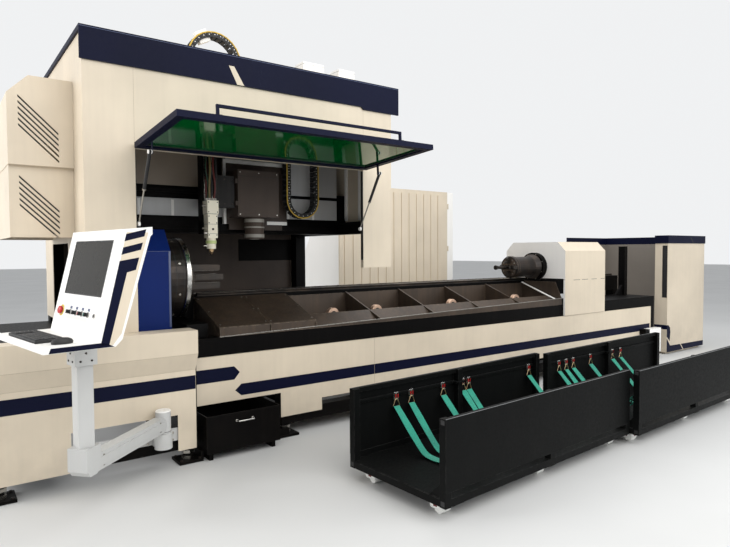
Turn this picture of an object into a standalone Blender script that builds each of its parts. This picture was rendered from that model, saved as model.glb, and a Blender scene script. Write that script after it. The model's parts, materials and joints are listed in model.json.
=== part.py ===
"""Tube laser cutting machine with a travelling tail chuck and two unloading bins.

Metres, +Z up. The machine's own axes are used throughout: x runs along the bed from its left
end, y runs from the long front skirt towards the back, and z is the height above the floor.
One empty then moves the whole machine so that the middle of its outline stands on the origin.
"""

import math

import bmesh
import bpy
from mathutils import Matrix, Vector

# Gaps and sheet metal
SEAT = 0.0003
RUN = 0.002
SHEET = 0.004
PLATE = 0.012
OVERRUN = 0.05
ROUND_STEPS = 28
FINE_STEPS = 40

# Bed and base frame
BED_END = 8.15
BED_JOIN = 1.36
BEAM_FRONT = 0.02
BEAM_DEPTH = 0.12
BEAM_TOP = 0.885
BEAM_BOTTOM = 0.60
RAIL_BED_START = 1.52
RAIL_BED_FRONT = 0.58
RAIL_BED_DEPTH = 0.62
RAIL_BED_TOP = 1.165
RAIL_BED_BOTTOM = 0.95
RAIL_WIDTH = 0.034
RAIL_HEIGHT = 0.026
RAIL_INSET = 0.06
RAIL_PITCH = 0.20
TUBE = 0.12
FLOOR_BEAM = 0.10
FOOT_WIDTH = 0.18
FOOT_PLATE = 0.02
FOOT_STEM = 0.05
PLINTH_LEFT = 0.04
PLINTH_FRONT = -0.09
PLINTH_TOP = 0.93
STOP_WIDTH = 0.07
STOP_DEPTH = 0.10
STOP_TOP = 1.60
STOP_GUSSET = 0.18
STOP_PLACE = 7.98
JUNCTION_WIDTH = 0.42
JUNCTION_DEPTH = 0.09
JUNCTION_BOTTOM = 0.10
JUNCTION_TOP = 0.44

# Portal
PORTAL_LEFT = 0.635
PORTAL_RIGHT = 3.28
PORTAL_DEPTH = 1.70
PORTAL_TOP = 3.03
PORTAL_SILL = 0.985
DOORWAY_LEFT = 0.97
DOORWAY_RIGHT = 2.955
DOORWAY_TOP = 2.28
COLUMN_BOTTOM = 1.40
SIDE_BOTTOM = 1.72
JAMB_DEPTH = 0.04
REAR_LEG_INSET = 0.006
BAND_HEIGHT = 0.19
BAND_STEP = 0.022
BAND_PROUD = 0.015
BAND_OVERHANG = 0.08
ROOF_RIM = 0.035
SLIT_PLACE = 1.235
SLIT_WIDTH = 0.05
SLIT_LEAN = 0.075
WALL_HOLE = 0.17
LEFT_PORT_START = 0.62
LEFT_PORT_END = 1.32
LEFT_PORT_BOTTOM = 1.02
LEFT_PORT_TOP = 1.62

# Louvre box on the portal's left side
LOUVRE_LEFT = 0.23
LOUVRE_FRONT = 0.35
LOUVRE_DEPTH = 0.95
LOUVRE_BOTTOM = 1.655
LOUVRE_LEDGE = 2.15
LOUVRE_TOP = 2.76
LOUVRE_STEP = 0.03
LOUVRE_CHAMFER = 0.13
SLOT_COUNT = 6
SLOT_WIDTH = 0.014
SLOT_PITCH = 0.0385
SLOT_RISE = 0.235
SLOT_RUN = 0.245
SLOT_INSET = 0.065
SLOT_DROP = 0.14

# Skirts
SKIRT_TOP = 0.745
SKIRT_LEFT_TOP = 0.985
SKIRT_LEFT_END = 1.335
SKIRT_LEFT_FACE = -0.12
SKIRT_UPPER_FACE = -0.18
SKIRT_FOLD_HIGH = 0.815
SKIRT_FOLD_LOW = 0.69
SKIRT_LEFT_BOTTOM = 0.11
NOTCH_START = 0.50
NOTCH_END = 1.20
NOTCH_TOP = 0.374
SKIRT_BAY_BOTTOM = 0.38
SKIRT_BOTTOM = 0.28
SKIRT_FOOT_START = 2.10
SKIRT_FOOT_END = 2.50
SKIRT_FOOT_BOTTOM = 0.175
SKIRT_FLANGE = 0.012

# Scrap drawer
DRAWER_START = 1.39
DRAWER_END = 1.995
DRAWER_FACE = -0.18
DRAWER_DEPTH = 0.62
DRAWER_BOTTOM = 0.055
DRAWER_TOP = 0.335
DRAWER_TRAVEL = 0.45
DRAWER_WALL = 0.006
DRAWER_RUNNER = 0.03
DRAWER_GUIDE = 0.02
PULL_WIDTH = 0.13
PULL_REACH = 0.035
PULL_WIRE = 0.005
PULL_DROP = 0.06

# Tray between the front beam and the rail bed
TRAY_START = 1.585
TRAY_END = 5.95
PLATES_END = 2.47
LIP_LOW = 0.89
LIP_HIGH = 0.966
TRAY_FRONT_HEIGHT = 0.935
TRAY_REAR_HEIGHT = 1.145
STRIP_DEPTH = 0.15
POCKET_FLOOR = 0.80
RIB_PITCH = 0.69
RIB_WIDTH = 0.014
PLATE_RAISE = 0.022
CHEEK_TOP = 1.16
CHEEK_CHAMFER = 0.09

# Support rollers
ROLLER_PLACES = (2.78, 3.29, 4.32, 5.37)
ROLLER_RADIUS = 0.06
ROLLER_WIDTH = 0.05
ROLLER_CENTRE = 0.967
ROLLER_SETBACK = 0.255
ROLLER_PIN = 0.010
FORK_CHEEK = 0.012
FORK_WIDTH = 0.05
LIFT_ROD = 0.02
LIFT_TRAVEL = 0.15
SLEEVE_WALL = 0.012
SLEEVE_LENGTH = 0.16

# Chuck axis
AXIS_SETBACK = 0.42
AXIS_HEIGHT = 1.345

# Main chuck
CHUCK_BACK = 0.80
CHUCK_FRONT = 1.227
CHUCK_HALF = 0.355
CHUCK_SHOULDER_RISE = 0.212
CHUCK_CROWN_RISE = 0.375
CHUCK_SHOULDER = AXIS_HEIGHT + CHUCK_SHOULDER_RISE
CHUCK_CROWN = AXIS_HEIGHT + CHUCK_CROWN_RISE
CHUCK_CROWN_HALF = 0.22
DRUM_RADIUS = 0.31
DRUM_LENGTH = 0.14
RING_RADIUS = 0.32
RING_LENGTH = 0.04
BORE_RADIUS = 0.13
SPIGOT_RADIUS = 0.20
SPIGOT_LENGTH = 0.06
JAW_COUNT = 4
JAW_BASE_LENGTH = 0.055
JAW_BASE_INNER = 0.05
JAW_BASE_OUTER = 0.27
JAW_BASE_WIDTH = 0.09
JAW_FINGER_LENGTH = 0.285
JAW_FINGER_OUTER = 0.10
JAW_FINGER_WIDTH = 0.046
JAW_CLOSE = 0.02
JAW_OPEN = 0.05

# Cutting head and its axes
BEAM_FACE = 0.75
GANTRY_DEPTH = 0.28
GANTRY_TOP = 2.12
GANTRY_RAIL = 0.03
SIDE_BEAM_BOTTOM = 1.72
SIDE_BEAM_TOP = 1.84
COVER_LOW_TOP = 2.01
COVER_HIGH_TOP = 2.40
COVER_SPLIT = 1.95
COVER_RIB = 0.012
COVER_RIB_PITCH = 0.14
HEAD_PLACE = 1.685
HEAD_WIDTH = 0.096
HEAD_DEPTH = 0.10
FOCUS_HEIGHT = 0.185
NOZZLE_LENGTH = 0.045
HEAD_FOOT_LENGTH = 0.09
HEAD_BODY_LENGTH = 0.195
HEAD_CAP_LENGTH = 0.115
NOZZLE_TIP = AXIS_HEIGHT + FOCUS_HEIGHT
HEAD_FOOT = NOZZLE_TIP + NOZZLE_LENGTH
HEAD_SHOULDER = HEAD_FOOT + HEAD_FOOT_LENGTH
HEAD_NECK = HEAD_SHOULDER + HEAD_BODY_LENGTH
HEAD_TOP = HEAD_NECK + HEAD_CAP_LENGTH
NOZZLE_RADIUS = 0.019
CARRIAGE_LEFT = 1.914
CARRIAGE_RIGHT = 2.55
CARRIAGE_BOTTOM = 1.80
CARRIAGE_TOP = 2.38
CARRIAGE_PLATE = 0.03
DRIVE_LEFT = 1.94
DRIVE_RIGHT = 2.335
DRIVE_FACE = 0.44
DRIVE_BOTTOM = 1.855
DRIVE_TOP = 2.26
MOTOR_RADIUS = 0.085
MOTOR_PLACE = 2.15
MOTOR_HANG = 0.19
SLIDE_REACH = 0.355
SLIDE_LENGTH = 0.72
SLIDE_BOTTOM = AXIS_HEIGHT + SLIDE_REACH
SLIDE_TOP = SLIDE_BOTTOM + SLIDE_LENGTH
SLIDE_WIDTH = 0.11
SLIDE_DEPTH = 0.09
CROSS_BOTTOM = 1.93
CROSS_TOP = 2.20
CROSS_DEPTH = 0.11
CROSS_RAIL = 0.02
HEAD_RAISE = 0.20
HEAD_LOWER = 0.03
HEAD_LEFT_TRAVEL = 0.11
HEAD_RIGHT_TRAVEL = 0.62
HOSE_RADIUS = 0.0092
HOSE_COUNT = 4
HOSE_BENDS = 5
HOSE_LENGTH = 0.385
HOSE_TOP = HEAD_TOP + HOSE_LENGTH

# Energy chains
CHAIN_WIDTH = 0.09
CHAIN_THICK = 0.045
CHAIN_LINK = 0.05
HEAD_CHAIN_RADIUS = 0.15
HEAD_CHAIN_TOP = 2.42
ROOF_CHAIN_LEFT = 1.52
ROOF_CHAIN_RADIUS = 0.205
ROOF_CHAIN_SETBACK = 0.42
ROOF_CHAIN_FOOT = 0.10

# Flip-up window
WINDOW_HINGE_Y = -0.022
WINDOW_HINGE_Z = 2.295
WINDOW_HEIGHT = 0.89
WINDOW_BAR = 0.055
WINDOW_THICK = 0.04
WINDOW_RISE = 3.9
RIGHT_ANGLE = 90.0
WINDOW_EDGE_GAP = 0.0083
GLASS_THICK = 0.006
HANDLE_START = 1.21
HANDLE_END = 2.665
HANDLE_REACH = 0.07
HANDLE_BAR = 0.018
HINGE_RADIUS = 0.008

# Gas struts
STRUT_INSET = 0.022
STRUT_FOOT_Y = 0.02
STRUT_FOOT_Z = 1.75
STRUT_BALL_BACK = 0.092
STRUT_BALL_DROP = 0.242
STRUT_TUBE_RADIUS = 0.012
STRUT_BORE = 0.0066
STRUT_ROD_RADIUS = 0.006
STRUT_TUBE_LENGTH = 0.285
STRUT_EYE = 0.013
STRUT_EYE_WIDTH = 0.014
STRUT_PIN = 0.006

# Tail chuck and its carriage
TAIL_LEFT = 5.98
TAIL_LENGTH = 0.86
TAIL_FACE = -0.012
TAIL_BACK = 0.89
TAIL_TOP = 1.65
TAIL_CHAMFER = 0.11
TAIL_UNDERSIDE = 1.2
TAIL_APRON = 0.75
TAIL_APRON_THICK = 0.022
FLANGE_RADIUS = 0.172
FLANGE_LENGTH = 0.08
BARREL_RADIUS = 0.125
BARREL_ROOT = 0.155
BARREL_LENGTH = 0.38
CHUCK_FACE_LENGTH = 0.055
TAIL_BORE = 0.04
TAIL_JAW_LENGTH = 0.07
TAIL_JAW_INNER = 0.045
TAIL_JAW_OUTER = 0.13
TAIL_JAW_WIDTH = 0.05
TAIL_JAW_OPEN = 0.02
TAIL_JAW_CLOSE = 0.015
PROBE_RADIUS = 0.018
PROBE_LENGTH = 0.24
TAIL_LEFT_TRAVEL = 2.45
TAIL_RIGHT_TRAVEL = 0.95

# End guard
GUARD_LEFT = 8.50
GUARD_RIGHT = 9.65
GUARD_TOP = 1.76
GUARD_BOTTOM = 0.03
GUARD_WALL = 0.19
GUARD_BAND = 0.117
GUARD_PROUD = 0.01
GUARD_SLOT_WIDTH = 0.075
GUARD_SLOT_BOTTOM = 0.84
GUARD_SLOT_TOP = 1.61
GUARD_SLOT_DEPTH = 0.06

# Rear cabinet
CABINET_LEFT = 3.956
CABINET_RIGHT = 5.98
CABINET_FRONT = 1.90
CABINET_BACK = 2.79
CABINET_TOP = 2.395
CABINET_SLANT_START = 2.16
CABINET_SLANT_LOW = 1.464
CABINET_WALL = 0.012
CABINET_POST = 0.14
DOOR_THICK = 0.03
DOOR_RIB_PITCH = 0.135
DOOR_RIB_WIDTH = 0.05
DOOR_RIB_RISE = 0.012
DOOR_SWING = 110.0
SOURCE_WIDTH = 0.60
SOURCE_DEPTH = 0.55
SOURCE_HEIGHT = 0.85

# Console
PIVOT_X = 1.072
PIVOT_Y = -0.19
PIVOT_RADIUS = 0.06
PIVOT_BOTTOM = 0.18
PIVOT_TOP = 0.29
PIVOT_CAP_RADIUS = 0.052
PIVOT_CAP_TOP = 0.44
BRACKET_WIDTH = 0.10
ARM_BOTTOM = 0.305
ARM_TOP = 0.405
ARM_WIDTH = 0.075
ARM_RIB = 0.012
COLUMN_X = 0.457
COLUMN_Y = -0.76
COLUMN_WIDTH = 0.085
ELBOW_WIDTH = 0.12
ELBOW_BOTTOM = 0.31
ELBOW_TOP = 0.47
COLLAR_BOTTOM = 0.93
COLLAR_TOP = 1.03
CASE_TURN = 9.3
CASE_HALF = 0.37
CASE_BASE = 1.065
CASE_SHELF_TOP = 1.10
CASE_TOP = 1.67
CASE_BACK_TOP = 1.685
CASE_SHELF_TIP = -0.31
CASE_FACE_FOOT = -0.04
CASE_FACE_HEAD = 0.10
CASE_BACK_HEAD = 0.243
CASE_BACK_FOOT = 0.07
SCREEN_WIDTH = 0.53
SCREEN_HEIGHT = 0.31
SCREEN_SHIFT = 0.015
SCREEN_FOOT = 0.22
SCREEN_THICK = 0.008
SWITCH_COUNT = 4
SWITCH_PITCH = 0.085
SWITCH_RADIUS = 0.012
SWITCH_REACH = 0.02
SWITCH_HEIGHT = 0.12
SWITCH_STRIP_WIDTH = 0.44
SWITCH_STRIP_HEIGHT = 0.07
STRIP_THICK = 0.003
STOP_BUTTON_RADIUS = 0.022
STOP_BUTTON_STEM = 0.011
STOP_BUTTON_REACH = 0.034
STOP_BUTTON_PRESS = 0.006
STOP_BUTTON_SHIFT = 0.26
KEYBOARD_WIDTH = 0.44
KEYBOARD_DEPTH = 0.14
KEYBOARD_THICK = 0.018
KEY_ROWS = 5
KEY_RISE = 0.005
CONSOLE_SWING_IN = 15.0
CONSOLE_SWING_OUT = 70.0
CASE_SWIVEL = 60.0

# Unloading bins
BIN_PLACES = ((2.10, -1.94), (4.24, -1.90))
BIN_TURNS = (3.0, 2.2)
BIN_LENGTH = 2.13
BIN_DEPTH = 0.88
BIN_TOP = 0.60
BIN_REAR_TOP = 0.622
BIN_PANEL_BOTTOM = 0.175
BIN_FRAME_BOTTOM = 0.085
BIN_TUBE = 0.05
BIN_FLOOR = 0.135
BIN_RIM = 0.03
BIN_GUSSET = 0.09
CASTOR_INSET = 0.11
CASTOR_SETBACK = 0.14
CASTOR_HALF = 0.036
CASTOR_LENGTH = 0.078
CASTOR_HEIGHT = 0.052
CASTOR_TREAD = 0.022
CASTOR_PAD = 0.024
CASTOR_COUNT = 3
SLING_SHARES = ((0.17, 0.235, 0.40, 0.465, 0.56, 0.955), (0.10, 0.155, 0.21, 0.35, 0.545, 0.62))
SLING_WIDTH = 0.05
SLING_THICK = 0.004
SLING_RAIL = 0.025
SLING_RAIL_HEIGHT = 0.52
SLING_HOOK_DROP = 0.085
SLING_HOOK_RADIUS = 0.007
SLING_LOW = 0.18
SLING_FRONT_HEIGHT = 0.44
SLING_POINTS = 9

# Machine placing
FOOTPRINT_FRONT = min(place[1] for place in BIN_PLACES)
FOOTPRINT_BACK = CABINET_BACK
CENTRE_X = (GUARD_RIGHT + GUARD_PROUD) / 2
CENTRE_Y = (FOOTPRINT_FRONT + FOOTPRINT_BACK) / 2


def clear_scene():
    """Remove every object, so the script can run in any file."""
    for item in list(bpy.data.objects):
        bpy.data.objects.remove(item, do_unlink=True)


def paint(name, colour, roughness, metallic=0.0):
    """A plain Principled material in a given colour."""
    material = bpy.data.materials.new(name)
    material.use_nodes = True
    shader = material.node_tree.nodes["Principled BSDF"]
    shader.inputs["Base Color"].default_value = (*colour, 1.0)
    shader.inputs["Roughness"].default_value = roughness
    shader.inputs["Metallic"].default_value = metallic
    return material


clear_scene()
MACHINE = bpy.data.collections.new("tube_laser_cutter")
HELPERS = bpy.data.collections.new("helpers")
for group in (MACHINE, HELPERS):
    bpy.context.scene.collection.children.link(group)

STEEL_BLACK = paint("black_frame", (0.02, 0.02, 0.022), 0.5, 0.2)
CREAM = paint("cream_sheet", (0.75, 0.68, 0.56), 0.45)
NAVY = paint("navy_sheet", (0.012, 0.022, 0.10), 0.4)
WHITE = paint("white_case", (0.85, 0.85, 0.84), 0.4)
TRAY_STEEL = paint("worn_tray", (0.07, 0.06, 0.055), 0.6, 0.5)
CHROME = paint("polished_ring", (0.75, 0.75, 0.74), 0.15, 1.0)
CHUCK_BLACK = paint("chuck_black", (0.03, 0.03, 0.03), 0.35, 0.7)
CHUCK_BLUE = paint("chuck_blue", (0.01, 0.05, 0.32), 0.35)
SILVER = paint("silver_cover", (0.5, 0.5, 0.5), 0.4, 0.7)
GLASS_GREEN = paint("green_glass", (0.0, 0.16, 0.05), 0.08)
HEAD_CREAM = paint("head_cream", (0.8, 0.75, 0.6), 0.35)
BRASS = paint("nozzle_copper", (0.7, 0.35, 0.15), 0.3, 1.0)
BRONZE = paint("roller_bronze", (0.55, 0.35, 0.2), 0.35, 0.8)
CHARCOAL = paint("bin_charcoal", (0.05, 0.055, 0.06), 0.5, 0.3)
TEAL = paint("sling_teal", (0.02, 0.42, 0.34), 0.8)
GREY_CAST = paint("grey_casting", (0.45, 0.44, 0.41), 0.5, 0.3)
SCREEN_DARK = paint("screen_dark", (0.05, 0.05, 0.045), 0.2)
RED = paint("stop_red", (0.5, 0.01, 0.01), 0.35)
PLASTIC_BLACK = paint("black_plastic", (0.02, 0.02, 0.02), 0.5)

AXES = {
    "x": Matrix(((0, 0, 1, 0), (1, 0, 0, 0), (0, 1, 0, 0), (0, 0, 0, 1))),
    "y": Matrix(((1, 0, 0, 0), (0, 0, -1, 0), (0, 1, 0, 0), (0, 0, 0, 1))),
    "z": Matrix.Identity(4),
}


def machine_frame():
    """The empty that carries every piece and stands the machine on the origin."""
    empty = bpy.data.objects.new("machine_frame", None)
    empty.location = (-CENTRE_X, -CENTRE_Y, 0)
    MACHINE.objects.link(empty)
    return empty


FRAME = machine_frame()


def add_object(name, data, material=None):
    """Link a mesh or curve; without a material it is a helper that other pieces take up."""
    thing = bpy.data.objects.new(name, data)
    if material is None:
        HELPERS.objects.link(thing)
        thing.display_type = "WIRE"
        thing.hide_render = True
    else:
        MACHINE.objects.link(thing)
        data.materials.append(material)
    thing.parent = FRAME
    return thing


def mesh_from(name, bm, material=None, smooth=False):
    """Turn a bmesh into an object, rounded over if its faces follow a curve."""
    bmesh.ops.recalc_face_normals(bm, faces=bm.faces)
    mesh = bpy.data.meshes.new(name)
    bm.to_mesh(mesh)
    bm.free()
    if smooth:
        mesh.shade_smooth()
        mesh.set_sharp_from_angle(angle=math.radians(35))
    return add_object(name, mesh, material)


def block(name, low, high, material=None):
    """A box between two opposite corners."""
    bm = bmesh.new()
    bmesh.ops.create_cube(bm, size=1)
    low, high = Vector(low), Vector(high)
    for vert in bm.verts:
        vert.co = Vector(a + (b - a) * (c + 1 / 2) for a, b, c in zip(low, high, vert.co))
    return mesh_from(name, bm, material)


def cylinder(name, centre, radius, length, axis="z", material=None, steps=ROUND_STEPS):
    """A round bar of a given length about its centre."""
    bm = bmesh.new()
    bmesh.ops.create_cone(bm, cap_ends=True, segments=steps, radius1=radius, radius2=radius,
                          depth=length)
    bm.transform(Matrix.Translation(centre) @ AXES[axis])
    return mesh_from(name, bm, material, smooth=True)


def prism(name, outline, axis, start, end, material=None):
    """A flat outline with thickness: (y, z) along x, (x, z) along y or (x, y) along z."""
    curve = bpy.data.curves.new(name, "CURVE")
    curve.dimensions = "2D"
    curve.fill_mode = "BOTH"
    curve.extrude = abs(end - start) / 2
    spline = curve.splines.new("POLY")
    spline.points.add(len(outline) - 1)
    for point, (a, b) in zip(spline.points, outline):
        point.co = (a, b, 0, 1)
    spline.use_cyclic_u = True
    rough = bpy.data.objects.new(name, curve)
    HELPERS.objects.link(rough)
    flat = bpy.data.meshes.new_from_object(rough.evaluated_get(
        bpy.context.evaluated_depsgraph_get()))
    bpy.data.objects.remove(rough)
    bpy.data.curves.remove(curve)
    bm = bmesh.new()
    bm.from_mesh(flat)
    bpy.data.meshes.remove(flat)
    bmesh.ops.remove_doubles(bm, verts=bm.verts, dist=SEAT / 3)
    middle = {"x": Vector((1, 0, 0)), "y": Vector((0, 1, 0)), "z": Vector((0, 0, 1))}[axis]
    bm.transform(Matrix.Translation(middle * (start + end) / 2) @ AXES[axis])
    return mesh_from(name, bm, material)


def turned(name, profile, centre, axis, material=None, steps=ROUND_STEPS):
    """A turned piece: (radius, height) points from top to bottom on its outer side."""
    bm = bmesh.new()
    verts = [bm.verts.new((radius, 0, height)) for radius, height in profile]
    closed = profile[0][0] > 0
    pairs = list(zip(verts, verts[1:])) + ([(verts[-1], verts[0])] if closed else [])
    for first, second in pairs:
        bm.edges.new((first, second))
    mesh = bpy.data.meshes.new(name)
    bm.to_mesh(mesh)
    bm.free()
    thing = add_object(name, mesh, material)
    screw = thing.modifiers.new("turn", "SCREW")
    screw.steps = steps
    screw.render_steps = steps
    screw.use_merge_vertices = True
    screw.merge_threshold = SEAT / 3
    screw.use_smooth_shade = False
    thing.matrix_basis = Matrix.Translation(centre) @ AXES[axis]
    return thing


def wire(name, points, radius, material=None, cyclic=False):
    """A round wire through its points, welded to a closed mesh."""
    curve = bpy.data.curves.new(name, "CURVE")
    curve.dimensions = "3D"
    curve.bevel_depth = radius
    curve.bevel_resolution = 2
    curve.use_fill_caps = True
    curve.resolution_u = 1
    spline = curve.splines.new("POLY")
    spline.points.add(len(points) - 1)
    for point, place in zip(spline.points, points):
        point.co = (*place, 1)
    spline.use_cyclic_u = cyclic
    rough = bpy.data.objects.new(name, curve)
    HELPERS.objects.link(rough)
    solid = bpy.data.meshes.new_from_object(rough.evaluated_get(
        bpy.context.evaluated_depsgraph_get()))
    bpy.data.objects.remove(rough)
    bm = bmesh.new()
    bm.from_mesh(solid)
    bpy.data.meshes.remove(solid)
    bmesh.ops.remove_doubles(bm, verts=bm.verts, dist=SEAT / 3)
    return mesh_from(name, bm, material, smooth=True)


def folded(name, profile, axis, start, end, thickness, material=None):
    """Sheet metal folded along a profile: an open strip that Solidify thickens inwards."""
    bm = bmesh.new()
    rows = []
    for along in (start, end):
        row = []
        for a, b in profile:
            place = {"x": (along, a, b), "y": (a, along, b), "z": (a, b, along)}[axis]
            row.append(bm.verts.new(place))
        rows.append(row)
    for index in range(len(profile) - 1):
        bm.faces.new((rows[0][index], rows[1][index], rows[1][index + 1], rows[0][index + 1]))
    mesh = bpy.data.meshes.new(name)
    bm.to_mesh(mesh)
    bm.free()
    thing = add_object(name, mesh, material)
    solid = thing.modifiers.new("thickness", "SOLIDIFY")
    solid.thickness = thickness
    solid.offset = -1
    solid.use_even_offset = True
    return thing


def join(target, *pieces):
    """Weld helper pieces to a target."""
    for piece in pieces:
        weld = target.modifiers.new(piece.name, "BOOLEAN")
        weld.operation = "UNION"
        weld.solver = "EXACT"
        weld.object = piece
    return target


def cut(target, *cutters):
    """Cut helper pieces out of a target."""
    for cutter in cutters:
        bite = target.modifiers.new(cutter.name, "BOOLEAN")
        bite.operation = "DIFFERENCE"
        bite.solver = "EXACT"
        bite.object = cutter
    return target


def put(thing, parent):
    """Parent a piece to another and keep it where it stands."""
    thing.parent = parent
    thing.matrix_parent_inverse = Matrix.Identity(4)
    return thing


def pivot(thing, place):
    """Move an object's origin to a place and leave its shape where it is."""
    shift = Matrix.Translation(place)
    thing.data.transform(shift.inverted() @ thing.matrix_basis)
    thing.matrix_basis = shift
    return thing


def turn_about(thing, place, angle, axis):
    """Turn a whole object about a place of the machine."""
    about = Matrix.Translation(place)
    thing.matrix_basis = (about @ Matrix.Rotation(angle, 4, axis) @ about.inverted()
                          @ thing.matrix_basis)
    return thing


def arc(centre, radius, start, end, steps):
    """Points along an arc, with its angles in degrees."""
    points = []
    for index in range(steps + 1):
        angle = math.radians(start + (end - start) * index / steps)
        points.append((centre[0] + radius * math.cos(angle), centre[1] + radius * math.sin(angle)))
    return points


def foot(name, x, y, top):
    """A levelling foot: a floor plate and a stem up to a beam."""
    plate = block(name + "_plate", (x - FOOT_WIDTH / 2, y - FOOT_WIDTH / 2, 0),
                  (x + FOOT_WIDTH / 2, y + FOOT_WIDTH / 2, FOOT_PLATE))
    stem = block(name + "_stem", (x - FOOT_STEM / 2, y - FOOT_STEM / 2, FOOT_PLATE / 2),
                 (x + FOOT_STEM / 2, y + FOOT_STEM / 2, top))
    return [plate, stem]


def build_base_frame():
    """Welded bed: a plinth under the portal, a front beam and a broad rail bed."""
    rail_bed_back = RAIL_BED_FRONT + RAIL_BED_DEPTH
    beam_back = BEAM_FRONT + BEAM_DEPTH
    frame = block("base_frame", (BED_JOIN - TUBE, BEAM_FRONT, BEAM_BOTTOM),
                  (BED_END, beam_back, BEAM_TOP), STEEL_BLACK)
    pieces = [
        block("rail_bed", (RAIL_BED_START, RAIL_BED_FRONT, RAIL_BED_BOTTOM),
              (BED_END, rail_bed_back, RAIL_BED_TOP)),
        block("end_deck", (TRAY_END + PLATE + RUN, beam_back - PLATE, BEAM_TOP - PLATE),
              (BED_END, RAIL_BED_FRONT + PLATE, BEAM_TOP)),
    ]
    for side, y in enumerate((RAIL_BED_FRONT + RAIL_INSET, RAIL_BED_FRONT + RAIL_INSET + RAIL_PITCH)):
        pieces.append(block(f"rail_{side}", (RAIL_BED_START + TUBE, y, RAIL_BED_TOP - RAIL_HEIGHT),
                            (BED_END - TUBE / 2, y + RAIL_WIDTH, RAIL_BED_TOP + RAIL_HEIGHT)))
    leg_places = [DRAWER_END + TUBE]
    bays = 3
    for index in range(1, bays + 1):
        leg_places.append(leg_places[0] + (BED_END - TUBE - leg_places[0]) * index / bays)
    leg_rows = ((BEAM_FRONT, BEAM_BOTTOM), (RAIL_BED_FRONT, RAIL_BED_BOTTOM),
                (rail_bed_back - TUBE, RAIL_BED_BOTTOM))
    for number, x in enumerate(leg_places):
        for row, (y, top) in enumerate(leg_rows):
            pieces.append(block(f"leg_{number}_{row}", (x, y, FLOOR_BEAM),
                                (x + TUBE, y + TUBE, top + SHEET)))
            pieces += foot(f"leg_foot_{number}_{row}", x + TUBE / 2, y + TUBE / 2,
                           FLOOR_BEAM + SHEET)
        pieces.append(block(f"cross_{number}", (x + SHEET, BEAM_FRONT + SHEET, BEAM_BOTTOM),
                            (x + TUBE - SHEET, rail_bed_back - SHEET, BEAM_BOTTOM + TUBE)))
        pieces.append(block(f"low_cross_{number}", (x + SHEET, BEAM_FRONT + SHEET, FLOOR_BEAM + SHEET),
                            (x + TUBE - SHEET, rail_bed_back - SHEET, FLOOR_BEAM + TUBE)))
    for row, (y, _) in enumerate(leg_rows):
        start = BED_JOIN - TUBE / 2 if row else leg_places[0]
        pieces.append(block(f"low_beam_{row}", (start + SHEET, y + SHEET, FLOOR_BEAM + SHEET),
                            (BED_END - SHEET, y + TUBE - SHEET, FLOOR_BEAM + TUBE - SHEET)))
    guide_inner = DRAWER_START - SEAT
    pieces += [
        block("guide_left", (guide_inner - DRAWER_GUIDE, PLINTH_FRONT - OVERRUN / 2, FOOT_PLATE / 2),
              (guide_inner, PLINTH_FRONT + TUBE, DRAWER_BOTTOM + FOOT_PLATE)),
        block("guide_right", (DRAWER_END + SEAT, BEAM_FRONT - OVERRUN / 2, FOOT_PLATE / 2),
              (leg_places[0] + TUBE / 2, BEAM_FRONT + TUBE / 2, DRAWER_BOTTOM + FOOT_PLATE)),
    ]
    pieces += build_plinth()
    pieces += build_end_stop()
    pieces.append(block("junction_box", (BED_END - JUNCTION_WIDTH, -JUNCTION_DEPTH, JUNCTION_BOTTOM),
                        (BED_END, BEAM_FRONT + TUBE / 2, JUNCTION_TOP)))
    skirt_gap = block("skirt_gap", (BED_END - JUNCTION_WIDTH - OVERRUN, -SEAT, SKIRT_BOTTOM - SEAT),
                      (BED_END - TUBE - RUN + SEAT, SHEET + SEAT, JUNCTION_TOP + OVERRUN))
    join(frame, *pieces)
    return cut(frame, skirt_gap)


def build_plinth():
    """Open welded plinth with a deck, under the chuck and the portal."""
    back = PORTAL_DEPTH - REAR_LEG_INSET
    right = BED_JOIN - RUN
    pieces = [block("plinth_deck", (PLINTH_LEFT, PLINTH_FRONT, PLINTH_TOP - PLATE),
                    (right, back, PLINTH_TOP))]
    for number, x in enumerate((PLINTH_LEFT, right - TUBE)):
        for row, y in enumerate((PLINTH_FRONT, RAIL_BED_FRONT, back - TUBE)):
            pieces.append(block(f"plinth_leg_{number}_{row}", (x + SHEET, y + SHEET, FLOOR_BEAM),
                                (x + TUBE - SHEET, y + TUBE - SHEET, PLINTH_TOP - SHEET)))
            pieces += foot(f"plinth_foot_{number}_{row}", x + TUBE / 2, y + TUBE / 2,
                           FLOOR_BEAM + SHEET)
        for level, z in enumerate((FLOOR_BEAM + SHEET, PLINTH_TOP - TUBE)):
            pieces.append(block(f"plinth_cross_{number}_{level}", (x, PLINTH_FRONT + SHEET * 2, z),
                                (x + TUBE, back - SHEET * 2, z + TUBE - SHEET)))
    for row, y in enumerate((PLINTH_FRONT, back - TUBE)):
        for level, z in enumerate((FLOOR_BEAM + SHEET * 2, PLINTH_TOP - TUBE + SHEET)):
            pieces.append(block(f"plinth_beam_{row}_{level}", (PLINTH_LEFT + SHEET * 2, y, z),
                                (right - SHEET * 2, y + TUBE, z + TUBE - SHEET * 3)))
    return pieces


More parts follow.
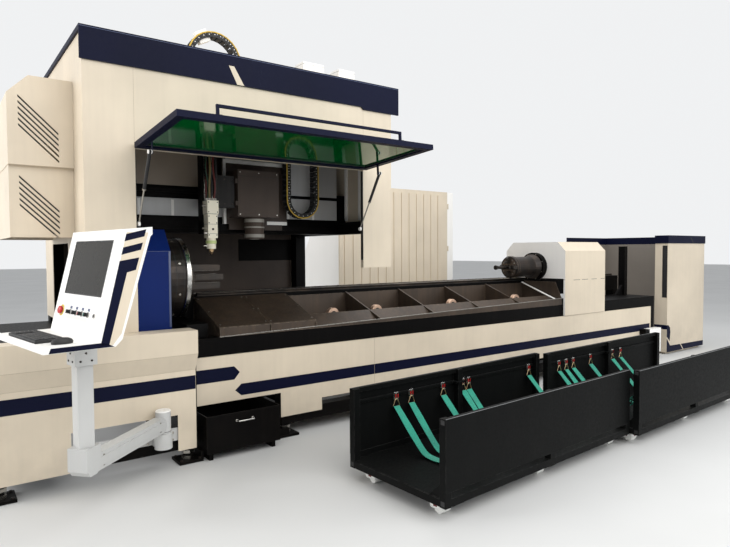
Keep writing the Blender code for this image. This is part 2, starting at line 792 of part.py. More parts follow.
def build_end_stop():
    """Upright with a gusset at the right end of the bed."""
    y = AXIS_SETBACK - STOP_DEPTH / 2
    post = block("end_stop", (STOP_PLACE, y, BEAM_TOP - PLATE / 2),
                 (STOP_PLACE + STOP_WIDTH, y + STOP_DEPTH, STOP_TOP))
    gusset = prism("end_gusset", [(STOP_PLACE - STOP_GUSSET, BEAM_TOP - PLATE / 2),
                                  (STOP_PLACE + STOP_WIDTH / 2, BEAM_TOP - PLATE / 2),
                                  (STOP_PLACE + STOP_WIDTH / 2, BEAM_TOP + STOP_GUSSET)],
                   "y", y + STOP_DEPTH / 3, y + STOP_DEPTH * 2 / 3)
    return [post, gusset]


def build_skirts():
    """Cream front sheets: a folded one at the left and a long flat one."""
    profile = [(SKIRT_LEFT_FACE, SKIRT_LEFT_BOTTOM), (SKIRT_LEFT_FACE, SKIRT_FOLD_LOW),
               (SKIRT_UPPER_FACE, SKIRT_FOLD_HIGH), (SKIRT_UPPER_FACE, SKIRT_LEFT_TOP),
               (-RUN, SKIRT_LEFT_TOP)]
    left = folded("skirt_left", profile, "x", 0, SKIRT_LEFT_END, SHEET, CREAM)
    for end, x in enumerate((0, SKIRT_LEFT_END - SHEET)):
        outline = [(SKIRT_LEFT_FACE + SHEET / 2, SKIRT_LEFT_BOTTOM),
                   (SKIRT_LEFT_FACE + SHEET / 2, SKIRT_FOLD_LOW),
                   (SKIRT_UPPER_FACE + SHEET / 2, SKIRT_FOLD_HIGH),
                   (SKIRT_UPPER_FACE + SHEET / 2, SKIRT_LEFT_TOP - SHEET / 2),
                   (-RUN, SKIRT_LEFT_TOP - SHEET / 2), (-RUN, PLINTH_TOP + SEAT),
                   (PLINTH_FRONT - SEAT, PLINTH_TOP + SEAT), (PLINTH_FRONT - SEAT, SKIRT_LEFT_BOTTOM)]
        join(left, prism(f"skirt_end_{end}", outline, "x", x, x + SHEET))
    notch = block("skirt_notch", (NOTCH_START, SKIRT_LEFT_FACE - OVERRUN, SKIRT_LEFT_BOTTOM - OVERRUN),
                  (NOTCH_END, SKIRT_LEFT_FACE + OVERRUN / 2, NOTCH_TOP))
    cut(left, notch)

    outline = [(BED_JOIN, SKIRT_BAY_BOTTOM), (SKIRT_FOOT_START, SKIRT_BAY_BOTTOM),
               (SKIRT_FOOT_START, SKIRT_FOOT_BOTTOM), (SKIRT_FOOT_END, SKIRT_FOOT_BOTTOM),
               (SKIRT_FOOT_END, SKIRT_BOTTOM), (BED_END - TUBE - RUN, SKIRT_BOTTOM),
               (BED_END - TUBE - RUN, SKIRT_TOP), (BED_JOIN, SKIRT_TOP)]
    right = prism("skirt_right", outline, "y", 0, SHEET, CREAM)
    flange = block("skirt_flange", (BED_JOIN, SHEET / 2, SKIRT_TOP - SHEET),
                   (BED_END - TUBE - RUN, BEAM_FRONT - SEAT, SKIRT_TOP))
    return left, join(right, flange)


def build_drawer():
    """Open scrap drawer with a folded front and a wire pull."""
    drawer = block("scrap_drawer", (DRAWER_START, DRAWER_FACE, DRAWER_BOTTOM),
                   (DRAWER_END, DRAWER_FACE + DRAWER_DEPTH, DRAWER_TOP), CHARCOAL)
    hollow = block("drawer_hollow",
                   (DRAWER_START + DRAWER_WALL, DRAWER_FACE + DRAWER_WALL, DRAWER_BOTTOM + DRAWER_WALL),
                   (DRAWER_END - DRAWER_WALL, DRAWER_FACE + DRAWER_DEPTH - DRAWER_WALL,
                    DRAWER_TOP + OVERRUN))
    cut(drawer, hollow)
    for side, x in enumerate((DRAWER_START + DRAWER_RUNNER, DRAWER_END - 2 * DRAWER_RUNNER)):
        join(drawer, block(f"drawer_skid_{side}", (x, DRAWER_FACE + DRAWER_RUNNER, 0),
                           (x + DRAWER_RUNNER, DRAWER_FACE + DRAWER_DEPTH - DRAWER_RUNNER,
                            DRAWER_BOTTOM + DRAWER_WALL / 2)))
    middle = (DRAWER_START + DRAWER_END) / 2 - PULL_WIDTH / 2
    z = DRAWER_TOP - PULL_DROP
    points = [(middle, DRAWER_FACE + DRAWER_WALL / 2, z), (middle, DRAWER_FACE - PULL_REACH, z),
              (middle + PULL_WIDTH, DRAWER_FACE - PULL_REACH, z),
              (middle + PULL_WIDTH, DRAWER_FACE + DRAWER_WALL / 2, z)]
    join(drawer, wire("drawer_pull", points, PULL_WIRE))
    return pivot(drawer, (middle, DRAWER_FACE, z))


def slope_height(y):
    """Height of the tray's ribs at a depth y."""
    share = (y - BEAM_FRONT) / (RAIL_BED_FRONT - BEAM_FRONT)
    return TRAY_FRONT_HEIGHT + (TRAY_REAR_HEIGHT - TRAY_FRONT_HEIGHT) * share


def build_tray():
    """Sloping parts tray: a rising lip, sloped plates, pockets, ribs and a cheek."""
    front = BEAM_FRONT
    back = RAIL_BED_FRONT - SEAT
    seat = BEAM_TOP + SEAT
    lip_outline = [(TRAY_START, seat), (TRAY_END, seat), (TRAY_END, LIP_HIGH), (TRAY_START, LIP_LOW)]
    tray = prism("bed_tray", lip_outline, "y", front, front + PLATE, TRAY_STEEL)
    inner = front + BEAM_DEPTH + RUN
    strip_back = front + STRIP_DEPTH + SHEET
    pieces = [
        prism("tray_strip", [(front, seat), (front + PLATE, LIP_LOW), (strip_back, slope_height(strip_back)),
                             (strip_back, slope_height(strip_back) - PLATE),
                             (inner, slope_height(inner) - PLATE * 3), (inner, seat)],
              "x", TRAY_START, TRAY_END),
        prism("tray_pocket", [(inner, seat + SHEET), (inner, POCKET_FLOOR), (back, POCKET_FLOOR),
                              (back, slope_height(back) - PLATE), (back - SHEET, slope_height(back) - PLATE),
                              (back - SHEET, POCKET_FLOOR + SHEET), (inner + SHEET, POCKET_FLOOR + SHEET),
                              (inner + SHEET, seat + SHEET)],
              "x", TRAY_START, TRAY_END),
        prism("tray_plate", [(front + PLATE, TRAY_FRONT_HEIGHT + PLATE_RAISE - SHEET),
                             (front + PLATE, TRAY_FRONT_HEIGHT + PLATE_RAISE),
                             (back, TRAY_REAR_HEIGHT + PLATE_RAISE / 2),
                             (back, TRAY_REAR_HEIGHT - PLATE_RAISE),
                             (back - PLATE, TRAY_REAR_HEIGHT - PLATE_RAISE)],
              "x", TRAY_START, PLATES_END),
        prism("tray_cheek", [(front + SHEET / 4, seat), (front + SHEET / 4, LIP_HIGH),
                             (front + CHEEK_CHAMFER, CHEEK_TOP), (back, CHEEK_TOP),
                             (back, POCKET_FLOOR + SHEET / 4), (inner + SHEET / 4, POCKET_FLOOR + SHEET / 4),
                             (inner + SHEET / 4, seat)],
              "x", TRAY_END - SHEET / 4, TRAY_END + PLATE),
    ]
    rib_count = int((TRAY_END - PLATES_END) / RIB_PITCH)
    for index in range(rib_count + 1):
        x = PLATES_END + RIB_PITCH * index - RIB_WIDTH
        outline = [(front + SHEET / 2, TRAY_FRONT_HEIGHT - PLATE * 2), (front + SHEET / 2, TRAY_FRONT_HEIGHT),
                   (back - SHEET / 4, slope_height(back)), (back - SHEET / 4, POCKET_FLOOR + SHEET / 2),
                   (inner + SHEET / 2, POCKET_FLOOR + SHEET / 2), (inner + SHEET / 2, BEAM_TOP + SHEET / 2)]
        pieces.append(prism(f"tray_rib_{index}", outline, "x", x, x + RIB_WIDTH))
    for end, x in enumerate((TRAY_START, (TRAY_START + PLATES_END) / 2)):
        outline = [(front + SHEET / 2, BEAM_TOP + SHEET / 2), (front + SHEET / 2, TRAY_FRONT_HEIGHT + PLATE_RAISE / 2),
                   (back - SHEET / 4, TRAY_REAR_HEIGHT - PLATE_RAISE / 2),
                   (back - SHEET / 4, POCKET_FLOOR + SHEET / 2),
                   (inner + SHEET / 2, POCKET_FLOOR + SHEET / 2), (inner + SHEET / 2, BEAM_TOP + SHEET / 2)]
        pieces.append(prism(f"tray_end_{end}", outline, "x", x + SHEET / 4, x + SHEET))
    for number, x in enumerate(ROLLER_PLACES):
        pieces.append(cylinder(f"sleeve_{number}", (x, ROLLER_SETBACK, POCKET_FLOOR - SLEEVE_LENGTH / 2 + SHEET / 2),
                               LIFT_ROD + SLEEVE_WALL, SLEEVE_LENGTH, steps=16))
    join(tray, *pieces)
    for number, x in enumerate(ROLLER_PLACES):
        cut(tray, cylinder(f"sleeve_bore_{number}", (x, ROLLER_SETBACK, POCKET_FLOOR), LIFT_ROD + SEAT * 2,
                           SLEEVE_LENGTH * 3, steps=16))
    return tray


def build_rollers():
    """Support rollers on their lifting forks."""
    parts = []
    for number, x in enumerate(ROLLER_PLACES, start=1):
        y_low = ROLLER_SETBACK - ROLLER_WIDTH / 2
        half = ROLLER_WIDTH / 2
        profile = [(ROLLER_RADIUS - SHEET, half), (ROLLER_RADIUS, half - SHEET),
                   (ROLLER_RADIUS, SHEET - half), (ROLLER_RADIUS - SHEET, -half),
                   (ROLLER_PIN + SEAT, -half), (ROLLER_PIN + SEAT, half)]
        roller = turned(f"roller_{number}", profile, (x, ROLLER_SETBACK, ROLLER_CENTRE), "y", BRONZE, 24)
        base_top = ROLLER_CENTRE - ROLLER_RADIUS - RUN
        base_low = base_top - PLATE
        lift = block(f"roller_lift_{number}", (x - FORK_WIDTH / 2, y_low - RUN - FORK_CHEEK, base_low),
                     (x + FORK_WIDTH / 2, y_low + ROLLER_WIDTH + RUN + FORK_CHEEK, base_top), STEEL_BLACK)
        for side, y in enumerate((y_low - RUN - FORK_CHEEK, y_low + ROLLER_WIDTH + RUN)):
            join(lift, block(f"fork_{number}_{side}", (x - FORK_WIDTH / 2, y, base_low + SHEET / 2),
                             (x + FORK_WIDTH / 2, y + FORK_CHEEK, ROLLER_CENTRE + ROLLER_PIN * 2)))
        join(lift, cylinder(f"roller_pin_{number}", (x, ROLLER_SETBACK, ROLLER_CENTRE), ROLLER_PIN,
                            ROLLER_WIDTH + FORK_CHEEK * 2, "y", steps=24))
        rod_low = POCKET_FLOOR - SLEEVE_LENGTH - LIFT_ROD
        join(lift, cylinder(f"lift_rod_{number}", (x, ROLLER_SETBACK, (rod_low + base_low + SHEET) / 2),
                            LIFT_ROD, base_low + SHEET - rod_low, steps=16))
        parts.append((pivot(lift, (x, ROLLER_SETBACK, base_low)), roller))
    return parts


def build_portal_frame():
    """Black tube frame inside the portal's covers, with side beams for the gantry."""
    inner = SHEET + SEAT
    left, right = PORTAL_LEFT + inner, PORTAL_RIGHT - inner - TUBE
    near, far = inner, PORTAL_DEPTH - inner - TUBE
    top = PORTAL_TOP - inner
    frame = block("portal_frame", (left, near, PORTAL_SILL - OVERRUN), (left + TUBE, near + TUBE, top),
                  STEEL_BLACK)
    pieces = [
        block("post_back", (left, far, PLINTH_TOP + SEAT), (left + TUBE, far + TUBE, top)),
        block("post_front_right", (right, near, COLUMN_BOTTOM + PLATE), (right + TUBE, near + TUBE, top)),
        block("post_back_right", (right, far, FOOT_PLATE / 2), (right + TUBE, far + TUBE, top)),
        block("post_foot", (right - SHEET, far - SHEET, 0), (right + TUBE + SHEET, far + TUBE + SHEET, FOOT_PLATE)),
    ]
    for side, x in enumerate((left, right)):
        for level, (low, high) in enumerate(((SIDE_BEAM_BOTTOM, SIDE_BEAM_TOP), (top - TUBE, top - SHEET))):
            pieces.append(block(f"side_beam_{side}_{level}", (x + SHEET, near + SHEET, low),
                                (x + TUBE - SHEET, far + TUBE - SHEET, high)))
    for row, y in enumerate((near, far)):
        pieces.append(block(f"head_beam_{row}", (left + SHEET, y + SHEET * 2, top - TUBE + SHEET),
                            (right + TUBE - SHEET, y + TUBE - SHEET, top - SHEET * 2)))
    join(frame, *pieces)
    foot_cut = block("front_post_cut", (left - OVERRUN, near - OVERRUN, 0),
                     (left + TUBE + OVERRUN, near + TUBE + OVERRUN, PLINTH_TOP + SEAT))
    return cut(frame, foot_cut)


def build_housing():
    """Portal cover: one folded sheet-metal hood with its doorway, ports and jambs."""
    hood = block("portal_housing", (PORTAL_LEFT, 0, PORTAL_SILL), (PORTAL_RIGHT, PORTAL_DEPTH, PORTAL_TOP),
                 CREAM)
    cutters = [
        block("hood_hollow", (PORTAL_LEFT + SHEET, SHEET, PORTAL_SILL - OVERRUN),
              (PORTAL_RIGHT - SHEET, PORTAL_DEPTH - SHEET, PORTAL_TOP - SHEET)),
        block("doorway", (DOORWAY_LEFT, -OVERRUN, PORTAL_SILL - OVERRUN),
              (DOORWAY_RIGHT, SHEET * 2, DOORWAY_TOP)),
        block("under_column", (DOORWAY_RIGHT - OVERRUN, -OVERRUN, PORTAL_SILL - OVERRUN),
              (PORTAL_RIGHT + OVERRUN, OVERRUN, COLUMN_BOTTOM)),
        block("right_passage", (PORTAL_RIGHT - OVERRUN, JAMB_DEPTH * 3, PORTAL_SILL - OVERRUN),
              (PORTAL_RIGHT + OVERRUN, PORTAL_DEPTH - JAMB_DEPTH, SIDE_BOTTOM)),
        block("right_passage_front", (PORTAL_RIGHT - OVERRUN, OVERRUN / 2, PORTAL_SILL - OVERRUN),
              (PORTAL_RIGHT + OVERRUN, JAMB_DEPTH * 4, COLUMN_BOTTOM)),
        cylinder("tube_port", (PORTAL_LEFT, AXIS_SETBACK, AXIS_HEIGHT), WALL_HOLE, OVERRUN, "x"),
        block("left_port", (PORTAL_LEFT - OVERRUN, LEFT_PORT_START, LEFT_PORT_BOTTOM),
              (PORTAL_LEFT + OVERRUN, LEFT_PORT_END, LEFT_PORT_TOP)),
    ]
    cut(hood, *cutters)
    jambs = [
        block("jamb_left", (DOORWAY_LEFT - SHEET, SHEET / 2, PORTAL_SILL),
              (DOORWAY_LEFT, JAMB_DEPTH, DOORWAY_TOP + SHEET)),
        block("jamb_right", (DOORWAY_RIGHT, SHEET / 2, COLUMN_BOTTOM),
              (DOORWAY_RIGHT + SHEET, JAMB_DEPTH, DOORWAY_TOP + SHEET)),
        block("jamb_top", (DOORWAY_LEFT - SHEET, SHEET / 2, DOORWAY_TOP),
              (DOORWAY_RIGHT + SHEET, JAMB_DEPTH, DOORWAY_TOP + SHEET)),
        cylinder("hinge_barrel", ((DOORWAY_LEFT + DOORWAY_RIGHT) / 2, WINDOW_HINGE_Y, WINDOW_HINGE_Z),
                 HINGE_RADIUS, DOORWAY_RIGHT - DOORWAY_LEFT, "x", steps=12),
        block("hinge_leaf", (DOORWAY_LEFT, WINDOW_HINGE_Y, WINDOW_HINGE_Z + HINGE_RADIUS / 3),
              (DOORWAY_RIGHT, SHEET / 2, WINDOW_HINGE_Z + HINGE_RADIUS)),
    ]
    join(hood, *jambs)
    for side, (x, inward) in enumerate(((DOORWAY_LEFT, 1), (DOORWAY_RIGHT, -1))):
        reach = (STRUT_INSET + STRUT_EYE_WIDTH / 2 - SEAT + SHEET / 2) / 2
        join(hood, cylinder(f"strut_pin_{side}", (x + inward * (reach - SHEET / 2), STRUT_FOOT_Y, STRUT_FOOT_Z),
                            STRUT_PIN, reach * 2, "x", steps=16))
    return hood


def build_fascia():
    """Navy band round the portal's top edge, with a stepped lower edge and a slanted slit."""
    right = PORTAL_RIGHT + BAND_OVERHANG
    bottom = PORTAL_TOP - BAND_HEIGHT
    outline = [(PORTAL_LEFT, bottom), (DOORWAY_RIGHT - BAND_STEP, bottom),
               (DOORWAY_RIGHT, bottom - BAND_STEP), (right, bottom - BAND_STEP),
               (right, PORTAL_TOP + ROOF_RIM), (PORTAL_LEFT - BAND_PROUD, PORTAL_TOP + ROOF_RIM),
               (PORTAL_LEFT - BAND_PROUD, bottom)]
    band = prism("portal_fascia", outline, "y", -BAND_PROUD, -SEAT, NAVY)
    top = PORTAL_TOP + SEAT
    rims = [
        block("rim_front", (PORTAL_LEFT - BAND_PROUD, -BAND_PROUD / 2, top),
              (right, ROOF_RIM, PORTAL_TOP + ROOF_RIM)),
        block("rim_back", (PORTAL_LEFT - BAND_PROUD, PORTAL_DEPTH - ROOF_RIM, top),
              (right, PORTAL_DEPTH, PORTAL_TOP + ROOF_RIM)),
        block("rim_left", (PORTAL_LEFT - BAND_PROUD, 0, top),
              (PORTAL_LEFT + ROOF_RIM, PORTAL_DEPTH - SHEET, PORTAL_TOP + ROOF_RIM)),
        block("rim_right", (PORTAL_RIGHT - ROOF_RIM, 0, top), (right, PORTAL_DEPTH - SHEET, PORTAL_TOP + ROOF_RIM)),
    ]
    join(band, *rims)
    low, high = bottom + BAND_STEP, PORTAL_TOP + ROOF_RIM - BAND_STEP
    start = PORTAL_LEFT + SLIT_PLACE
    slit = prism("fascia_slit", [(start + SLIT_LEAN, low), (start + SLIT_LEAN + SLIT_WIDTH, low),
                                 (start + SLIT_WIDTH, high), (start, high)],
                 "y", -BAND_PROUD - OVERRUN, -BAND_PROUD / 2)
    return cut(band, slit)


def build_louvre_box():
    """Ventilated box on the portal's left side, its upper half proud of the lower."""
    right = PORTAL_LEFT - SEAT
    front, back = LOUVRE_FRONT, LOUVRE_FRONT + LOUVRE_DEPTH

    def shell_outline(inset, bottom):
        chamfer = LOUVRE_CHAMFER
        return [(LOUVRE_LEFT + inset, bottom), (right - inset, bottom), (right - inset, LOUVRE_TOP - inset),
                (LOUVRE_LEFT + chamfer + inset / 2, LOUVRE_TOP - inset),
                (LOUVRE_LEFT + inset, LOUVRE_TOP - chamfer - inset / 2)]

    box = prism("louvre_box", shell_outline(0, LOUVRE_LEDGE), "y", front - LOUVRE_STEP, back, CREAM)
    join(box, block("louvre_lower", (LOUVRE_LEFT + SHEET, front, LOUVRE_BOTTOM),
                    (right, back - SHEET, LOUVRE_LEDGE + SHEET)))
    cut(box, prism("louvre_hollow", shell_outline(SHEET, LOUVRE_LEDGE + SHEET), "y",
                   front - LOUVRE_STEP + SHEET, back - SHEET))
    cut(box, block("louvre_hollow_low", (LOUVRE_LEFT + SHEET * 2, front + SHEET, LOUVRE_BOTTOM - OVERRUN),
                   (right - SHEET, back - SHEET * 2, LOUVRE_LEDGE + SHEET * 2)))
    for tier, (top, face) in enumerate(((LOUVRE_TOP, front - LOUVRE_STEP), (LOUVRE_LEDGE, front))):
        for number in range(SLOT_COUNT):
            x = LOUVRE_LEFT + SLOT_INSET
            drop = SLOT_DROP if tier == 0 else SLOT_DROP / 2
            z = top - drop - SLOT_PITCH * number
            outline = [(x, z), (x + SLOT_RUN, z - SLOT_RISE), (x + SLOT_RUN, z - SLOT_RISE - SLOT_WIDTH),
                       (x, z - SLOT_WIDTH)]
            cut(box, prism(f"louvre_slot_{tier}_{number}", outline, "y", face - SHEET, face + SHEET * 2))
    return box


def build_gantry():
    """Beam along the machine for the head's carriage, and its ribbed cover."""
    left = PORTAL_LEFT + SHEET + SEAT * 2
    right = PORTAL_RIGHT - SHEET - SEAT * 2
    clear_left, clear_right = left + TUBE + RUN, right - TUBE - RUN
    beam = block("gantry_beam", (left, BEAM_FACE, SIDE_BEAM_TOP + SEAT),
                 (right, BEAM_FACE + GANTRY_DEPTH, GANTRY_TOP), STEEL_BLACK)
    pieces = [block("gantry_lower", (clear_left, BEAM_FACE + SHEET, SIDE_BEAM_BOTTOM),
                    (clear_right, BEAM_FACE + GANTRY_DEPTH - SHEET, SIDE_BEAM_TOP + PLATE))]
    for level, z in enumerate((SIDE_BEAM_BOTTOM + GANTRY_RAIL, GANTRY_TOP - 2 * GANTRY_RAIL)):
        pieces.append(block(f"gantry_rail_{level}", (clear_left, BEAM_FACE - GANTRY_RAIL, z),
                            (clear_right, BEAM_FACE + SHEET * 2, z + GANTRY_RAIL)))
    join(beam, *pieces)

    low, face = SIDE_BEAM_TOP + PLATE, BEAM_FACE - COVER_RIB
    outline = [(clear_left, low), (clear_right, low), (clear_right, COVER_HIGH_TOP),
               (COVER_SPLIT, COVER_HIGH_TOP), (COVER_SPLIT, COVER_LOW_TOP), (clear_left, COVER_LOW_TOP)]
    cover = prism("beam_cover", outline, "y", face, BEAM_FACE + PLATE)
    count = int((clear_right - clear_left) / COVER_RIB_PITCH)
    for index in range(count):
        x = clear_left + COVER_RIB_PITCH * (index + 1 / 2)
        top = COVER_HIGH_TOP if x > COVER_SPLIT else COVER_LOW_TOP
        join(cover, block(f"cover_rib_{index}", (x, face - COVER_RIB, low + PLATE),
                          (x + COVER_RIB, face + COVER_RIB / 2, top - PLATE)))
    cut(cover, block("upper_rail_gap", (clear_left - OVERRUN, face - OVERRUN, GANTRY_TOP - 2 * GANTRY_RAIL - SEAT),
                     (COVER_SPLIT - OVERRUN, BEAM_FACE + OVERRUN, GANTRY_TOP)),
        block("upper_rail_pass", (COVER_SPLIT - OVERRUN * 2, BEAM_FACE - GANTRY_RAIL - OVERRUN,
                                  GANTRY_TOP - 2 * GANTRY_RAIL - SEAT),
              (clear_right - PLATE, BEAM_FACE + OVERRUN, GANTRY_TOP - GANTRY_RAIL + SEAT)))
    return join(beam, cover)


def chain_outline(centre, radius, legs, flip=False):
    """A U-shaped energy chain seen from the side, its outer edge notched at each link."""
    outer = radius + CHAIN_THICK / 2
    inner = radius - CHAIN_THICK / 2
    notch = CHAIN_THICK / 6
    steps = int(math.pi * outer / CHAIN_LINK)
    outer_edge, inner_edge = [], []
    for index in range(steps):
        for share, size in ((0.0, outer), (0.8, outer), (0.8, outer - notch), (1.0, outer - notch)):
            angle = math.pi * (index + share) / steps
            outer_edge.append((math.cos(angle) * size, math.sin(angle) * size))
    for index in range(steps, -1, -1):
        angle = math.pi * index / steps
        inner_edge.append((math.cos(angle) * inner, math.sin(angle) * inner))
    left, right = legs
    points = [(outer, -right)] + outer_edge + [(-outer, 0), (-outer, -left), (-inner, -left)]
    points += inner_edge + [(inner, -right)]
    sign = -1 if flip else 1
    return [(centre[0] + a, centre[1] + sign * b) for a, b in points]


def build_chains():
    """Energy chain beside the carriage, and the arch that stands on the roof."""
    head_x = CARRIAGE_RIGHT + HEAD_CHAIN_RADIUS - CHAIN_THICK
    head_y = BEAM_FACE - CARRIAGE_PLATE * 2 - CHAIN_WIDTH
    bend = SIDE_BEAM_TOP + HEAD_CHAIN_RADIUS + CHAIN_THICK
    leg = HEAD_CHAIN_TOP - bend
    head = prism("head_chain", chain_outline((head_x, bend), HEAD_CHAIN_RADIUS, (leg, leg), flip=True), "y",
                 head_y - CHAIN_WIDTH / 2, head_y + CHAIN_WIDTH / 2, PLASTIC_BLACK)
    roof_x = ROOF_CHAIN_LEFT + ROOF_CHAIN_RADIUS
    base = PORTAL_TOP + ROOF_CHAIN_FOOT
    roof = prism("roof_chain", chain_outline((roof_x, base), ROOF_CHAIN_RADIUS,
                                             (ROOF_CHAIN_FOOT - SEAT, ROOF_CHAIN_FOOT - SEAT)), "y",
                 ROOF_CHAIN_SETBACK - CHAIN_WIDTH / 2, ROOF_CHAIN_SETBACK + CHAIN_WIDTH / 2, PLASTIC_BLACK)
    return head, roof


def build_head():
    """Carriage with its drive box, cross slide, lifting slide, hoses, cutting head and nozzle."""
    plate_back = BEAM_FACE - GANTRY_RAIL - SEAT
    plate_face = plate_back - CARRIAGE_PLATE
    carriage = block("head_carriage", (CARRIAGE_LEFT, plate_face, CARRIAGE_BOTTOM),
                     (CARRIAGE_RIGHT, plate_back, CARRIAGE_TOP), GREY_CAST)
    shoes_low = SIDE_BEAM_BOTTOM + GANTRY_RAIL
    join(carriage, block("carriage_tongue", (CARRIAGE_LEFT + OVERRUN, plate_face, shoes_low),
                         (CARRIAGE_RIGHT - OVERRUN, plate_back, CARRIAGE_BOTTOM + PLATE)))
    slide_y = AXIS_SETBACK + HEAD_DEPTH / 2
    motor_y = (DRIVE_FACE + plate_face) / 2
    join(carriage,
         block("drive_box", (DRIVE_LEFT, DRIVE_FACE, DRIVE_BOTTOM), (DRIVE_RIGHT, plate_face + SHEET, DRIVE_TOP)),
         cylinder("drive_motor", (MOTOR_PLACE, motor_y, DRIVE_BOTTOM - MOTOR_HANG / 2 + PLATE / 2),
                  MOTOR_RADIUS, MOTOR_HANG + PLATE, steps=24))
    chain_back = BEAM_FACE - CARRIAGE_PLATE * 2 - CHAIN_WIDTH / 2 + SEAT
    join(carriage, block("chain_clamp", (CARRIAGE_RIGHT - CHAIN_LINK - PLATE, chain_back, CARRIAGE_TOP - CHAIN_LINK * 2),
                         (CARRIAGE_RIGHT - SHEET, plate_face + SHEET, CARRIAGE_TOP - CHAIN_LINK)))
    rail_left = DRIVE_LEFT - CROSS_RAIL
    for level, z in enumerate((CROSS_BOTTOM + CROSS_RAIL, CROSS_TOP - CROSS_RAIL * 3)):
        join(carriage, block(f"cross_rail_{level}", (rail_left, DRIVE_FACE + SHEET, z),
                             (DRIVE_LEFT + SHEET, plate_face - SHEET, z + CROSS_RAIL * 2)))
    cross = block("cross_slide", (HEAD_PLACE + SLIDE_WIDTH / 2 + SEAT, slide_y, CROSS_BOTTOM),
                  (rail_left - SEAT, slide_y + CROSS_DEPTH, CROSS_TOP), GREY_CAST)

    slide = block("lift_slide", (HEAD_PLACE - SLIDE_WIDTH / 2, slide_y, SLIDE_BOTTOM),
                  (HEAD_PLACE + SLIDE_WIDTH / 2, slide_y + SLIDE_DEPTH, SLIDE_TOP), STEEL_BLACK)
    for side in (-1, 1):
        x = HEAD_PLACE + side * SLIDE_WIDTH / 3
        cut(slide, block(f"slide_groove_{side}", (x - PLATE / 2, slide_y - PLATE, SLIDE_BOTTOM + OVERRUN),
                         (x + PLATE / 2, slide_y + PLATE / 2, SLIDE_TOP - OVERRUN)))

    head = block("cutting_head", (HEAD_PLACE - HEAD_WIDTH / 2, AXIS_SETBACK - HEAD_DEPTH / 2, HEAD_NECK),
                 (HEAD_PLACE + HEAD_WIDTH / 2, slide_y - SEAT, HEAD_TOP), HEAD_CREAM)
    join(head,
         block("head_body", (HEAD_PLACE - HEAD_WIDTH * 3 / 7, AXIS_SETBACK - HEAD_DEPTH * 3 / 7, HEAD_SHOULDER),
               (HEAD_PLACE + HEAD_WIDTH * 3 / 7, slide_y - SEAT, HEAD_NECK + PLATE)),
         cylinder("head_barrel", (HEAD_PLACE, AXIS_SETBACK, (HEAD_FOOT + HEAD_SHOULDER) / 2 + PLATE / 2),
                  HEAD_WIDTH * 2 / 5, HEAD_SHOULDER - HEAD_FOOT + PLATE, steps=24))
    tip = HEAD_FOOT - NOZZLE_TIP
    profile = [(0, tip), (NOZZLE_RADIUS, tip), (NOZZLE_RADIUS, tip / 2), (NOZZLE_RADIUS / 4, 0), (0, 0)]
    nozzle = turned("nozzle", profile, (HEAD_PLACE, AXIS_SETBACK, NOZZLE_TIP - SEAT), "z", BRASS, 20)

    hoses = block("hose_bundle", (HEAD_PLACE - HEAD_WIDTH / 2, AXIS_SETBACK - HOSE_RADIUS * 2, HEAD_TOP + SEAT),
                  (HEAD_PLACE + HEAD_WIDTH / 2, slide_y - SEAT, HEAD_TOP + PLATE), PLASTIC_BLACK)
    for number in range(HOSE_COUNT):
        x = HEAD_PLACE + HEAD_WIDTH * (number - (HOSE_COUNT - 1) / 2) / (HOSE_COUNT - 1) * 2 / 3
        lean = HEAD_WIDTH * (number - (HOSE_COUNT - 1) / 2) / HOSE_COUNT
        points = []
        for index in range(HOSE_BENDS + 1):
            share = index / HOSE_BENDS
            points.append((x + lean / 2 * math.sin(math.pi * share), AXIS_SETBACK - HOSE_RADIUS * math.sin(math.pi * share),
                           HEAD_TOP + PLATE / 2 + (HOSE_TOP - HEAD_TOP) * share))
        join(hoses, wire(f"hose_{number}", points, HOSE_RADIUS))
    join(hoses, block("hose_clamp", (HEAD_PLACE - HEAD_WIDTH / 2, AXIS_SETBACK - HOSE_RADIUS * 2, HOSE_TOP - PLATE),
                      (HEAD_PLACE + HEAD_WIDTH / 2, slide_y - SEAT, HOSE_TOP)))
    for piece in (carriage, cross, slide, head, hoses):
        pivot(piece, (HEAD_PLACE, AXIS_SETBACK, NOZZLE_TIP))
    return carriage, cross, slide, head, nozzle, hoses


